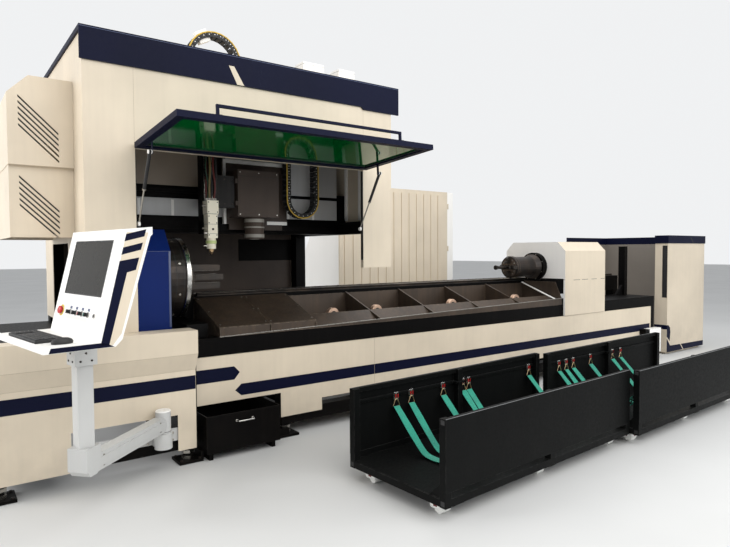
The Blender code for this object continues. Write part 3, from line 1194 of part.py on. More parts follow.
def build_window():
    """Flip-up window: a tube frame with a handle rail, and its green pane."""
    hinge = Vector((0, WINDOW_HINGE_Y, WINDOW_HINGE_Z))
    left, right = DOORWAY_LEFT - PLATE, DOORWAY_RIGHT + PLATE
    y0, y1 = WINDOW_HINGE_Y - WINDOW_THICK / 2, WINDOW_HINGE_Y + WINDOW_THICK / 2
    top, bottom = WINDOW_HINGE_Z - WINDOW_EDGE_GAP, WINDOW_HINGE_Z - WINDOW_HEIGHT
    frame = block("window_frame", (left, y0, bottom), (right, y1, top), NAVY)
    cut(frame, block("window_hole", (left + WINDOW_BAR, y0 - OVERRUN, bottom + WINDOW_BAR),
                     (right - WINDOW_BAR, y1 + OVERRUN, top - WINDOW_BAR)))
    rail_z = bottom + WINDOW_BAR / 2
    rail_y = y0 - HANDLE_REACH
    bars = [block("window_rail", (HANDLE_START, rail_y, rail_z - HANDLE_BAR / 2),
                  (HANDLE_END, rail_y + HANDLE_BAR, rail_z + HANDLE_BAR / 2))]
    for end, x in enumerate((HANDLE_START, HANDLE_END - HANDLE_BAR)):
        bars.append(block(f"rail_post_{end}", (x, rail_y + HANDLE_BAR / 2, rail_z - HANDLE_BAR / 2 + SHEET / 4),
                          (x + HANDLE_BAR, y0 + SHEET, rail_z + HANDLE_BAR / 2 - SHEET / 4)))
    for side, (x, inward) in enumerate(((DOORWAY_LEFT, 1), (DOORWAY_RIGHT, -1))):
        lug_x = x + inward * (STRUT_INSET + STRUT_TUBE_RADIUS + RUN + SHEET / 2)
        ball_z = WINDOW_HINGE_Z - STRUT_BALL_DROP
        ball_y = WINDOW_HINGE_Y + STRUT_BALL_BACK
        bars.append(block(f"strut_lug_{side}", (lug_x - SHEET / 2, y1 - SHEET, ball_z - STRUT_EYE),
                          (lug_x + SHEET / 2, ball_y + STRUT_EYE, ball_z + STRUT_EYE)))
    join(frame, *bars)
    hole_low = Vector((left + WINDOW_BAR + SEAT, WINDOW_HINGE_Y - GLASS_THICK / 2, bottom + WINDOW_BAR + SEAT))
    hole_high = Vector((right - WINDOW_BAR - SEAT, WINDOW_HINGE_Y + GLASS_THICK / 2, top - WINDOW_BAR - SEAT))
    glass = block("window_glass", hole_low, hole_high, GLASS_GREEN)
    angle = -math.radians(RIGHT_ANGLE + WINDOW_RISE)
    for piece in (frame, glass):
        pivot(piece, hinge)
    for number, piece in enumerate(list(frame.modifiers)):
        helper = piece.object
        turn_about(helper, hinge, angle, "X")
    for piece in (frame, glass):
        turn_about(piece, hinge, angle, "X")
    return frame, glass


def build_struts():
    """Gas struts: a rod from the portal's jamb and a tube towards the window."""
    angle = -math.radians(RIGHT_ANGLE + WINDOW_RISE)
    ball_y = WINDOW_HINGE_Y + STRUT_BALL_BACK * math.cos(angle) + STRUT_BALL_DROP * math.sin(angle)
    ball_z = WINDOW_HINGE_Z + STRUT_BALL_BACK * math.sin(angle) - STRUT_BALL_DROP * math.cos(angle)
    foot_place = Vector((0, STRUT_FOOT_Y, STRUT_FOOT_Z))
    run = Vector((0, ball_y, ball_z)) - foot_place
    length = run.length
    lean = math.atan2(-run.y, run.z)
    parts = []
    for side, (x, inward) in {"left": (DOORWAY_LEFT, 1), "right": (DOORWAY_RIGHT, -1)}.items():
        place = Vector((x + inward * STRUT_INSET, STRUT_FOOT_Y, STRUT_FOOT_Z))
        rod = cylinder(f"strut_rod_{side}", place, STRUT_EYE, STRUT_EYE_WIDTH, "x", SILVER, 20)
        rod_length = length - STRUT_TUBE_LENGTH + STRUT_ROD_RADIUS * 2
        join(rod, cylinder(f"rod_{side}", place + Vector((0, 0, STRUT_PIN + rod_length / 2)), STRUT_ROD_RADIUS,
                           rod_length, steps=12))
        cut(rod, cylinder(f"rod_eye_{side}", place, STRUT_PIN + SEAT, STRUT_EYE_WIDTH + OVERRUN, "x", steps=20))
        top = length - STRUT_EYE * 2 / 3
        profile = [(0, top), (STRUT_TUBE_RADIUS, top), (STRUT_TUBE_RADIUS, length - STRUT_TUBE_LENGTH),
                   (STRUT_BORE, length - STRUT_TUBE_LENGTH), (STRUT_BORE, length - STRUT_EYE),
                   (0, length - STRUT_EYE)]
        tube = turned(f"strut_tube_{side}", profile, place, "z", PLASTIC_BLACK, 16)
        join(tube, cylinder(f"tube_eye_{side}", place + Vector((0, 0, length)), STRUT_EYE,
                            2 * (STRUT_TUBE_RADIUS + RUN - SEAT), "x", steps=16))
        for piece in (rod, tube):
            for modifier in piece.modifiers:
                if modifier.type == "BOOLEAN":
                    turn_about(modifier.object, place, lean, "X")
        pivot(rod, place)
        turn_about(rod, place, lean, "X")
        turn_about(tube, place, lean, "X")
        parts.append((rod, tube))
    return parts


def jaw_outline(face, base_inner, base_outer, base_length, finger_outer, finger_length):
    """Stepped jaw seen from the side, as (x, radius) points."""
    return [(face, base_inner), (face + base_length + finger_length, base_inner),
            (face + base_length + finger_length, finger_outer - SHEET),
            (face + base_length + finger_length * 2 / 3, finger_outer),
            (face + base_length, finger_outer), (face + base_length, base_outer - base_length / 2),
            (face + base_length / 2, base_outer), (face, base_outer)]


def build_main_chuck():
    """Blue chuck housing, its turning drum and ring, and four stepped jaws."""
    lean = (CHUCK_HALF - CHUCK_CROWN_HALF)
    outline = [(AXIS_SETBACK - CHUCK_HALF, PLINTH_TOP + SEAT), (AXIS_SETBACK + CHUCK_HALF, PLINTH_TOP + SEAT),
               (AXIS_SETBACK + CHUCK_HALF, CHUCK_SHOULDER), (AXIS_SETBACK + CHUCK_HALF - lean, CHUCK_CROWN),
               (AXIS_SETBACK - CHUCK_HALF + lean, CHUCK_CROWN), (AXIS_SETBACK - CHUCK_HALF, CHUCK_SHOULDER)]
    housing = prism("main_chuck_housing", outline, "x", CHUCK_BACK, CHUCK_FRONT, CHUCK_BLUE)
    cut(housing, cylinder("housing_bore", ((CHUCK_BACK + CHUCK_FRONT) / 2, AXIS_SETBACK, AXIS_HEIGHT),
                          SPIGOT_RADIUS + RUN, CHUCK_FRONT - CHUCK_BACK + OVERRUN, "x"))
    rim = SHEET * 2
    front = DRUM_LENGTH + RING_LENGTH
    profile = [(BORE_RADIUS, front - rim), (BORE_RADIUS + rim, front), (RING_RADIUS - rim, front),
               (RING_RADIUS, front - rim), (RING_RADIUS, DRUM_LENGTH + rim / 2), (RING_RADIUS - rim / 2, DRUM_LENGTH),
               (DRUM_RADIUS, DRUM_LENGTH - rim), (DRUM_RADIUS, rim), (DRUM_RADIUS - rim, RUN),
               (SPIGOT_RADIUS, RUN), (SPIGOT_RADIUS, -SPIGOT_LENGTH), (BORE_RADIUS, -SPIGOT_LENGTH)]
    rotor = turned("main_chuck_rotor", profile, (CHUCK_FRONT, AXIS_SETBACK, AXIS_HEIGHT), "x", CHROME, FINE_STEPS)
    face = CHUCK_FRONT + front + SEAT
    jaws = jaw_set("main_jaw", face, 1, (JAW_BASE_INNER, JAW_BASE_OUTER, JAW_BASE_LENGTH, JAW_BASE_WIDTH),
                   (JAW_FINGER_OUTER, JAW_FINGER_LENGTH, JAW_FINGER_WIDTH))
    return housing, rotor, jaws


def jaw_set(name, face, direction, base, finger):
    """Jaws round the chuck axis; a direction of -1 makes them point to the left."""
    base_inner, base_outer, base_length, base_width = base
    finger_outer, finger_length, finger_width = finger
    jaws = []
    centre = Vector((0, AXIS_SETBACK, AXIS_HEIGHT))
    for number in range(JAW_COUNT):
        outline = jaw_outline(0, base_inner, base_outer, base_length, finger_outer, finger_length)
        outline = [(face + direction * a, AXIS_HEIGHT + b) for a, b in outline]
        jaw = prism(f"{name}_{number + 1}", outline, "y", AXIS_SETBACK - finger_width / 2,
                    AXIS_SETBACK + finger_width / 2, CHUCK_BLACK)
        near, far = sorted((face, face + direction * base_length * 2 / 3))
        shoe = block(f"{name}_shoe_{number}", (near + SEAT / 3 * (direction < 0), AXIS_SETBACK - base_width / 2,
                                               AXIS_HEIGHT + base_outer * 2 / 5),
                     (far, AXIS_SETBACK + base_width / 2, AXIS_HEIGHT + base_outer * 9 / 10))
        join(jaw, shoe)
        angle = 2 * math.pi * number / JAW_COUNT
        turn_about(shoe, centre, angle, "X")
        pivot(jaw, (face, AXIS_SETBACK, AXIS_HEIGHT))
        turn_about(jaw, (face, AXIS_SETBACK, AXIS_HEIGHT), angle, "X")
        jaws.append(jaw)
    return jaws


def build_tail():
    """Tail carriage with its apron, and the small chuck on its nose."""
    top, chamfer = TAIL_TOP, TAIL_CHAMFER
    apron_back = TAIL_FACE + TAIL_APRON_THICK
    outline = [(TAIL_FACE, TAIL_APRON), (apron_back, TAIL_APRON), (apron_back, TAIL_UNDERSIDE),
               (TAIL_BACK, TAIL_UNDERSIDE), (TAIL_BACK, top - chamfer), (TAIL_BACK - chamfer, top),
               (TAIL_FACE + chamfer, top), (TAIL_FACE, top - chamfer)]
    carriage = prism("tail_carriage", outline, "x", TAIL_LEFT, TAIL_LEFT + TAIL_LENGTH, WHITE)
    flange_face = TAIL_LEFT - FLANGE_LENGTH
    join(carriage, cylinder("tail_flange", ((flange_face + TAIL_LEFT + PLATE) / 2, AXIS_SETBACK, AXIS_HEIGHT),
                            FLANGE_RADIUS, FLANGE_LENGTH + PLATE, "x"))
    rail_y = RAIL_BED_FRONT + RAIL_INSET
    for side, y in enumerate((rail_y, rail_y + RAIL_PITCH)):
        for end, x in enumerate((TAIL_LEFT + OVERRUN, TAIL_LEFT + TAIL_LENGTH - OVERRUN - TUBE)):
            join(carriage, block(f"shoe_{side}_{end}", (x, y - RAIL_WIDTH / 3, RAIL_BED_TOP + RAIL_HEIGHT + SEAT),
                                 (x + TUBE, y + RAIL_WIDTH * 4 / 3, TAIL_UNDERSIDE + PLATE)))
    cut(carriage, cylinder("tail_bore", (TAIL_LEFT - FLANGE_LENGTH, AXIS_SETBACK, AXIS_HEIGHT),
                           TAIL_BORE + PLATE + RUN, FLANGE_LENGTH * 3, "x", steps=24))
    pivot(carriage, (TAIL_LEFT, AXIS_SETBACK, AXIS_HEIGHT))
    rim = SHEET * 2
    face = -(BARREL_LENGTH + CHUCK_FACE_LENGTH)
    profile = [(TAIL_BORE + PLATE, FLANGE_LENGTH / 2), (TAIL_BORE + PLATE, -SEAT), (BARREL_ROOT, -SEAT),
               (BARREL_ROOT, -rim), (BARREL_RADIUS, -BARREL_ROOT / 2),
               (BARREL_RADIUS, -BARREL_LENGTH), (BARREL_RADIUS + rim, -BARREL_LENGTH - rim),
               (BARREL_RADIUS + rim, face + rim), (BARREL_RADIUS, face), (PROBE_RADIUS, face),
               (PROBE_RADIUS, face - PROBE_LENGTH), (0, face - PROBE_LENGTH), (0, FLANGE_LENGTH / 2)]
    profile.insert(0, profile.pop())
    rotor = turned("tail_rotor", profile, (flange_face, AXIS_SETBACK, AXIS_HEIGHT), "x", CHUCK_BLACK, ROUND_STEPS)
    jaws = jaw_set("tail_jaw", flange_face + face - SEAT, -1,
                   (TAIL_JAW_INNER, TAIL_JAW_OUTER, TAIL_JAW_LENGTH * 2 / 3, TAIL_JAW_WIDTH),
                   (TAIL_JAW_INNER + PLATE * 2, TAIL_JAW_LENGTH / 3, TAIL_JAW_WIDTH * 2 / 3))
    return carriage, rotor, jaws


def build_end_guard():
    """Three-sided guard round the right end of the bed, and its navy band."""
    guard = block("end_guard", (GUARD_LEFT, 0, GUARD_BOTTOM), (GUARD_RIGHT, PORTAL_DEPTH, GUARD_TOP), CREAM)
    cutters = [
        block("guard_room", (GUARD_LEFT - OVERRUN, GUARD_WALL, GUARD_BOTTOM - OVERRUN),
              (GUARD_RIGHT - SHEET, PORTAL_DEPTH - SHEET, GUARD_TOP + OVERRUN)),
        block("guard_wall_hollow", (GUARD_LEFT + SHEET, SHEET, GUARD_BOTTOM - OVERRUN),
              (GUARD_RIGHT - SHEET * 2, GUARD_WALL - SHEET, GUARD_TOP - SHEET)),
        block("guard_slot", (GUARD_LEFT - OVERRUN, SHEET * 2, GUARD_SLOT_BOTTOM),
              (GUARD_LEFT + GUARD_SLOT_DEPTH, SHEET * 2 + GUARD_SLOT_WIDTH, GUARD_SLOT_TOP)),
    ]
    cut(guard, *cutters)
    join(guard, block("guard_base", (GUARD_LEFT + OVERRUN, OVERRUN, 0),
                      (GUARD_RIGHT - OVERRUN, GUARD_WALL - SHEET / 2, GUARD_BOTTOM + SHEET)),
         block("guard_rear_foot", (GUARD_LEFT + OVERRUN, PORTAL_DEPTH - FOOT_STEM, 0),
               (GUARD_RIGHT - OVERRUN, PORTAL_DEPTH - SHEET / 2, GUARD_BOTTOM + SHEET)))
    low, proud = GUARD_TOP - GUARD_BAND, GUARD_PROUD
    band = block("end_fascia", (GUARD_LEFT - proud, -proud, low), (GUARD_RIGHT + proud, PORTAL_DEPTH + proud, GUARD_TOP),
                 NAVY)
    cut(band, block("band_hollow", (GUARD_LEFT - SEAT, -SEAT, low - OVERRUN),
                    (GUARD_RIGHT + SEAT, PORTAL_DEPTH + SEAT, GUARD_TOP + OVERRUN)),
        block("band_mouth", (GUARD_LEFT - OVERRUN, GUARD_WALL + SHEET, low - OVERRUN),
              (GUARD_LEFT + OVERRUN / 2, PORTAL_DEPTH - SHEET * 2, GUARD_TOP + OVERRUN)))
    return guard, band


def build_rear_cabinet():
    """Laser-source cabinet with a sloped back, a ribbed door and the source inside."""
    outline = [(CABINET_FRONT, FOOT_PLATE), (CABINET_BACK, FOOT_PLATE), (CABINET_BACK, CABINET_SLANT_LOW),
               (CABINET_SLANT_START, CABINET_TOP), (CABINET_FRONT, CABINET_TOP)]
    wall = CABINET_WALL
    inner = [(CABINET_FRONT - OVERRUN, FOOT_PLATE + wall), (CABINET_BACK - wall, FOOT_PLATE + wall),
             (CABINET_BACK - wall, CABINET_SLANT_LOW - wall / 2), (CABINET_SLANT_START - wall / 2, CABINET_TOP - wall),
             (CABINET_FRONT - OVERRUN, CABINET_TOP - wall)]
    cabinet = prism("rear_cabinet", outline, "x", CABINET_LEFT, CABINET_RIGHT, CREAM)
    cut(cabinet, prism("cabinet_room", inner, "x", CABINET_LEFT + wall, CABINET_RIGHT - CABINET_POST))
    source_left = (CABINET_LEFT + CABINET_RIGHT - SOURCE_WIDTH) / 2
    join(cabinet, block("laser_source", (source_left, CABINET_BACK - OVERRUN - SOURCE_DEPTH, FOOT_PLATE + wall / 2),
                        (source_left + SOURCE_WIDTH, CABINET_BACK - OVERRUN, FOOT_PLATE + SOURCE_HEIGHT)))
    for side, x in enumerate((CABINET_LEFT + FOOT_WIDTH, CABINET_RIGHT - FOOT_WIDTH * 2)):
        join(cabinet, block(f"cabinet_skid_{side}", (x, CABINET_FRONT + OVERRUN, 0),
                            (x + FOOT_WIDTH, CABINET_BACK - OVERRUN, FOOT_PLATE + wall / 2)))
    left, right = CABINET_LEFT + RUN, CABINET_RIGHT - CABINET_POST - RUN
    back = CABINET_FRONT - SEAT
    low, high = FOOT_PLATE + wall, CABINET_TOP - RUN
    door = block("rear_cabinet_door", (left, back - DOOR_THICK, low), (right, back, high), CREAM)
    count = int((right - left) / DOOR_RIB_PITCH)
    for index in range(count):
        x = left + DOOR_RIB_PITCH * (index + 1 / 2)
        join(door, block(f"door_rib_{index}", (x, back - DOOR_THICK - DOOR_RIB_RISE, low + OVERRUN),
                         (x + DOOR_RIB_WIDTH, back - DOOR_THICK / 2, high - OVERRUN)))
    pivot(door, (right, back - DOOR_THICK / 2, low))
    return cabinet, door


def build_console():
    """Swing-arm console: bracket, arm, column, case, screen, switches, stop and keyboard."""
    pivot_place = Vector((PIVOT_X, PIVOT_Y, 0))
    column_place = Vector((COLUMN_X, COLUMN_Y, 0))
    bracket = cylinder("console_bracket", (PIVOT_X, PIVOT_Y, (PIVOT_BOTTOM + PIVOT_TOP) / 2), PIVOT_RADIUS,
                       PIVOT_TOP - PIVOT_BOTTOM, material=WHITE)
    join(bracket, block("bracket_tongue", (PIVOT_X - BRACKET_WIDTH / 2, PIVOT_Y, PIVOT_BOTTOM + SHEET),
                        (PIVOT_X + BRACKET_WIDTH / 2, PLINTH_FRONT - SEAT, PIVOT_TOP - SHEET * 2)),
         block("bracket_rail", (PLINTH_LEFT + TUBE - SHEET, PLINTH_FRONT - SHEET * 4, PIVOT_BOTTOM + SHEET * 2),
               (BED_JOIN - TUBE, PLINTH_FRONT - SEAT, PIVOT_TOP - SHEET * 3)))

    run = column_place - pivot_place
    reach, angle = run.length, math.atan2(run.y, run.x)
    arm = cylinder("console_arm", (0, 0, (PIVOT_TOP + PIVOT_CAP_TOP) / 2 + SEAT / 2), PIVOT_CAP_RADIUS,
                   PIVOT_CAP_TOP - PIVOT_TOP - SEAT, material=GREY_CAST)
    end = reach - ELBOW_WIDTH / 2
    pieces = [block("arm_bar", (0, -ARM_WIDTH / 2, ARM_BOTTOM), (end, ARM_WIDTH / 2, ARM_TOP)),
              block("elbow", (end - SHEET, -ELBOW_WIDTH / 2, ELBOW_BOTTOM + ELBOW_WIDTH / 4),
                    (reach + ELBOW_WIDTH / 2, ELBOW_WIDTH / 2, ELBOW_TOP - SEAT)),
              prism("elbow_foot", [(end + ELBOW_WIDTH / 4, ELBOW_BOTTOM), (reach + ELBOW_WIDTH / 4, ELBOW_BOTTOM),
                                   (reach + ELBOW_WIDTH / 2 - SHEET / 4, ELBOW_BOTTOM + ELBOW_WIDTH / 3),
                                   (end - SHEET / 2, ELBOW_BOTTOM + ELBOW_WIDTH / 3)],
                    "y", SHEET / 4 - ELBOW_WIDTH / 2, ELBOW_WIDTH / 2 - SHEET / 4)]
    for side in (-1, 1):
        y = side * ARM_WIDTH / 2
        pieces.append(block(f"arm_rib_{side}", (PIVOT_CAP_RADIUS / 2, y - ARM_RIB / 2, ARM_BOTTOM + ARM_RIB * 2),
                            (end + SHEET, y + ARM_RIB / 2, ARM_TOP - ARM_RIB * 2)))
    join(arm, *pieces)
    for piece in (arm, *pieces):
        piece.matrix_basis = Matrix.Translation(pivot_place) @ Matrix.Rotation(angle, 4, "Z") @ piece.matrix_basis

    column = block("console_column", (-COLUMN_WIDTH / 2, -COLUMN_WIDTH / 2, ELBOW_TOP),
                   (COLUMN_WIDTH / 2, COLUMN_WIDTH / 2, COLLAR_TOP), WHITE)
    collar = block("column_collar", (-ELBOW_WIDTH / 2, -ELBOW_WIDTH / 2, COLLAR_BOTTOM),
                   (ELBOW_WIDTH / 2, ELBOW_WIDTH / 2, CASE_BASE - SEAT))
    join(column, collar)
    case_pieces = build_case()
    turned_parts = [column, collar] + case_pieces
    for piece in turned_parts:
        piece.matrix_basis = (Matrix.Translation(column_place) @ Matrix.Rotation(math.radians(CASE_TURN), 4, "Z")
                              @ piece.matrix_basis)
    return bracket, arm, column


def build_case():
    """Console case about its column: local x points away from the operator."""
    profile = [(CASE_SHELF_TIP, CASE_BASE), (CASE_SHELF_TIP, CASE_SHELF_TOP), (CASE_FACE_FOOT, CASE_SHELF_TOP),
               (CASE_FACE_HEAD, CASE_TOP), (CASE_BACK_HEAD, CASE_BACK_TOP),
               (CASE_BACK_HEAD, CASE_TOP - PLATE * 2), (CASE_BACK_HEAD - PLATE, CASE_TOP - PLATE * 3),
               (CASE_BACK_FOOT, CASE_SHELF_TOP), (CASE_BACK_FOOT - PLATE * 3, CASE_BASE)]
    case = prism("console_case", profile, "y", -CASE_HALF, CASE_HALF, WHITE)
    lean = math.atan2(CASE_FACE_HEAD - CASE_FACE_FOOT, CASE_TOP - CASE_SHELF_TOP)
    on_face = Matrix.Translation((CASE_FACE_FOOT, 0, CASE_SHELF_TOP)) @ Matrix.Rotation(lean, 4, "Y")
    recess = block("screen_recess", (-OVERRUN, SCREEN_SHIFT - SCREEN_WIDTH / 2, SCREEN_FOOT),
                   (SCREEN_THICK, SCREEN_SHIFT + SCREEN_WIDTH / 2, SCREEN_FOOT + SCREEN_HEIGHT))
    stem_hole = cylinder("stop_hole", (0, STOP_BUTTON_SHIFT, SWITCH_HEIGHT), STOP_BUTTON_STEM + SEAT,
                         STOP_BUTTON_REACH * 2, "x", steps=20)
    cut(case, recess, stem_hole)
    screen = block("screen", (SEAT, SCREEN_SHIFT - SCREEN_WIDTH / 2 + SEAT, SCREEN_FOOT + SEAT),
                   (SCREEN_THICK - SEAT, SCREEN_SHIFT + SCREEN_WIDTH / 2 - SEAT, SCREEN_FOOT + SCREEN_HEIGHT - SEAT),
                   SCREEN_DARK)
    strip_left = -SWITCH_STRIP_WIDTH * 3 / 5
    strip = block("switch_strip", (-STRIP_THICK - SEAT, strip_left, SWITCH_HEIGHT - SWITCH_STRIP_HEIGHT / 2),
                  (-SEAT, strip_left + SWITCH_STRIP_WIDTH, SWITCH_HEIGHT + SWITCH_STRIP_HEIGHT / 2), SILVER)
    knobs = []
    for number in range(SWITCH_COUNT + 1):
        y = strip_left + SWITCH_PITCH * (number + 1 / 2)
        reach = SWITCH_REACH if number else SWITCH_REACH / 3
        knobs.append(cylinder(f"switch_{number}", (-STRIP_THICK - reach / 2 + SEAT, y, SWITCH_HEIGHT), SWITCH_RADIUS,
                              reach + STRIP_THICK, "x", steps=16))
        if number:
            knobs.append(block(f"switch_grip_{number}", (-STRIP_THICK - reach * 3 / 2, y - SWITCH_RADIUS / 4,
                                                         SWITCH_HEIGHT - SWITCH_RADIUS * 4 / 5),
                               (-STRIP_THICK - reach / 2, y + SWITCH_RADIUS / 4, SWITCH_HEIGHT + SWITCH_RADIUS * 4 / 5)))
    join(strip, *knobs)
    cap = STOP_BUTTON_REACH / 2
    profile = [(0, cap), (STOP_BUTTON_STEM, cap), (STOP_BUTTON_STEM, -STOP_BUTTON_PRESS - SEAT),
               (STOP_BUTTON_RADIUS, -STOP_BUTTON_PRESS - SEAT), (STOP_BUTTON_RADIUS, -cap),
               (STOP_BUTTON_RADIUS * 2 / 3, -cap - SHEET), (0, -cap - SHEET)]
    stop = turned("stop_button", profile, (0, STOP_BUTTON_SHIFT, SWITCH_HEIGHT), "x", RED, 24)
    stop_parts = [stop]
    for piece in (recess, stem_hole, screen, strip, *knobs, *stop_parts):
        piece.matrix_basis = on_face @ piece.matrix_basis
    key_front = CASE_SHELF_TIP + OVERRUN
    keyboard = block("keyboard", (key_front, -KEYBOARD_WIDTH / 2, CASE_SHELF_TOP + SEAT),
                     (key_front + KEYBOARD_DEPTH, KEYBOARD_WIDTH / 2, CASE_SHELF_TOP + KEYBOARD_THICK), PLASTIC_BLACK)
    key_pitch = KEYBOARD_DEPTH / (KEY_ROWS + 1)
    rows = []
    for row in range(KEY_ROWS):
        x = key_front + key_pitch * (row + 1 / 2)
        rows.append(block(f"key_row_{row}", (x, -KEYBOARD_WIDTH / 2 + KEY_RISE * 2, CASE_SHELF_TOP + KEYBOARD_THICK / 2),
                          (x + key_pitch * 4 / 5, KEYBOARD_WIDTH / 2 - KEY_RISE * 2,
                           CASE_SHELF_TOP + KEYBOARD_THICK + KEY_RISE)))
    join(keyboard, *rows)
    return [case, recess, stem_hole, screen, strip, *knobs, *stop_parts, keyboard, *rows]


def build_castor(name, x, y):
    """Levelling castor: a cheeked body with its wheel and foot pad, fused to the bin."""
    body = block(name, (x - CASTOR_HALF, y - CASTOR_LENGTH / 2, CASTOR_TREAD),
                 (x + CASTOR_HALF, y + CASTOR_LENGTH / 2, CASTOR_HEIGHT + CASTOR_TREAD))
    plate = block(name + "_plate", (x - CASTOR_HALF, y - CASTOR_HALF, CASTOR_HEIGHT + SHEET),
                  (x + CASTOR_HALF, y + CASTOR_HALF, BIN_FRAME_BOTTOM + SHEET))
    wheel = cylinder(name + "_wheel", (x, y, CASTOR_PAD), CASTOR_PAD, CASTOR_HALF, "x", steps=12)
    return [body, plate, wheel]


def build_bin(name, place, turn):
    """Unloading bin: a tube frame on castors with sheet walls and open ends."""
    length, depth, tube = BIN_LENGTH, BIN_DEPTH, BIN_TUBE
    low = BIN_FRAME_BOTTOM
    body = block(name, (0, 0, BIN_PANEL_BOTTOM), (length, SHEET, BIN_TOP), CHARCOAL)
    pieces = [
        block(name + "_rear", (0, depth - SHEET, BIN_PANEL_BOTTOM), (length, depth, BIN_REAR_TOP)),
        block(name + "_floor", (SHEET, tube / 2, BIN_FLOOR - SHEET), (length - SHEET, depth - tube / 2, BIN_FLOOR)),
        block(name + "_rim", (0, SHEET / 2, BIN_TOP - SHEET), (length, BIN_RIM, BIN_TOP)),
        block(name + "_rim_fold", (0, BIN_RIM - SHEET, BIN_TOP - BIN_RIM), (length, BIN_RIM, BIN_TOP - SHEET / 2)),
        block(name + "_rear_rim", (0, depth - BIN_RIM, BIN_REAR_TOP - SHEET), (length, depth - SHEET / 2, BIN_REAR_TOP)),
        block(name + "_rear_fold", (0, depth - BIN_RIM, BIN_REAR_TOP - BIN_RIM),
              (length, depth - BIN_RIM + SHEET, BIN_REAR_TOP - SHEET / 2)),
        block(name + "_front_beam", (SHEET, SHEET / 2, low + SHEET), (length - SHEET, tube, low + tube)),
        block(name + "_rear_beam", (SHEET, depth - tube, low + SHEET), (length - SHEET, depth - SHEET / 2, low + tube)),
    ]
    for end, x in enumerate((0, length / 2 - tube / 2, length - tube)):
        pieces.append(block(f"{name}_cross_{end}", (x, SHEET, low + SHEET / 2), (x + tube, depth - SHEET, low + tube - SHEET)))
        for row, (y, top) in enumerate(((SHEET / 2, BIN_TOP - SHEET / 2), (depth - tube, BIN_REAR_TOP - SHEET / 2))):
            pieces.append(block(f"{name}_post_{end}_{row}", (x, y, low), (x + tube, y + tube - SHEET / 2, top)))
    for end, x in enumerate((SHEET * 2, length - tube + SHEET)):
        gusset = [(tube - SHEET, low + tube - SHEET), (tube + BIN_GUSSET, low + tube - SHEET),
                  (tube - SHEET, low + tube + BIN_GUSSET)]
        pieces.append(prism(f"{name}_gusset_{end}", gusset, "x", x, x + SHEET * 2))
    for number in range(CASTOR_COUNT):
        x = CASTOR_INSET + (length - 2 * CASTOR_INSET) * number / (CASTOR_COUNT - 1)
        for row, y in enumerate((CASTOR_SETBACK, depth - CASTOR_SETBACK)):
            pieces += build_castor(f"{name}_castor_{number}_{row}", x, y)
        pieces.append(block(f"{name}_carrier_{number}", (x - tube, SHEET, low), (x + tube, depth - SHEET, low + SHEET * 3)))
    join(body, *pieces)
    for piece in (body, *pieces):
        place_bin(piece, place, turn)
    return body


def place_bin(piece, place, turn):
    """Set a piece of a bin at the bin's own corner and turn."""
    where = Matrix.Translation((place[0], place[1], 0)) @ Matrix.Rotation(math.radians(turn), 4, "Z")
    piece.matrix_basis = where @ piece.matrix_basis


def sling_profile():
    """Side view of one sling as (y, z) points, from its rear hook down and up to the front."""
    rear = (BIN_DEPTH - SHEET - SLING_RAIL, SLING_RAIL_HEIGHT - SLING_HOOK_DROP)
    front = (BIN_RIM + SLING_RAIL, SLING_FRONT_HEIGHT)
    points = []
    for index in range(SLING_POINTS):
        share = index / (SLING_POINTS - 1)
        sag = 4 * share * (1 - share)
        base = rear[1] + (front[1] - rear[1]) * share
        middle = (rear[1] + front[1]) / 2
        points.append((rear[0] + (front[0] - rear[0]) * share, base - (middle - SLING_LOW) * sag))
    return points


def build_slings(name, shares, place, turn):
    """Webbing slings of one bin, fused to the rail that carries their hooks."""
    rail_y = BIN_DEPTH - SHEET - SEAT
    rail = block(name, (BIN_TUBE + RUN, rail_y - SLING_RAIL / 2, SLING_RAIL_HEIGHT - SLING_RAIL / 2),
                 (BIN_LENGTH - BIN_TUBE - RUN, rail_y, SLING_RAIL_HEIGHT + SLING_RAIL / 2), TEAL)
    centre_gap = block(name + "_post_gap", (BIN_LENGTH / 2 - BIN_TUBE / 2 - RUN, rail_y - OVERRUN, SLING_RAIL_HEIGHT - OVERRUN),
                       (BIN_LENGTH / 2 + BIN_TUBE / 2 + RUN, rail_y + OVERRUN, SLING_RAIL_HEIGHT + OVERRUN))
    bridge_y = rail_y - BIN_TUBE - RUN * 3
    bridge = block(name + "_bridge", (BIN_LENGTH / 2 - BIN_TUBE, bridge_y, SLING_RAIL_HEIGHT - SLING_RAIL / 3),
                   (BIN_LENGTH / 2 + BIN_TUBE, rail_y - SLING_RAIL / 3, SLING_RAIL_HEIGHT + SLING_RAIL / 3))
    bridge_cut = block(name + "_bridge_cut", (BIN_LENGTH / 2 - BIN_TUBE / 2 - RUN, rail_y - BIN_TUBE - RUN, SLING_RAIL_HEIGHT - OVERRUN),
                       (BIN_LENGTH / 2 + BIN_TUBE / 2 + RUN, rail_y + OVERRUN, SLING_RAIL_HEIGHT + OVERRUN))
    cut(rail, centre_gap)
    join(rail, bridge)
    cut(rail, bridge_cut)
    helpers = [centre_gap, bridge, bridge_cut]
    points = sling_profile()
    lower = [(y, z - SLING_THICK) for y, z in reversed(points)]
    for number, share in enumerate(shares):
        x = BIN_LENGTH * share
        strap = prism(f"{name}_strap_{number}", points + lower, "x", x - SLING_WIDTH / 2, x + SLING_WIDTH / 2)
        top = (x, rail_y - SLING_RAIL / 3, SLING_RAIL_HEIGHT)
        ring = (x, points[0][0] - SLING_THICK, points[0][1] - SLING_THICK)
        hook = wire(f"{name}_hook_{number}", [top, ring], SLING_HOOK_RADIUS)
        join(rail, hook, strap)
        helpers += [hook, strap]
    for piece in (rail, *helpers):
        place_bin(piece, place, turn)
    return rail


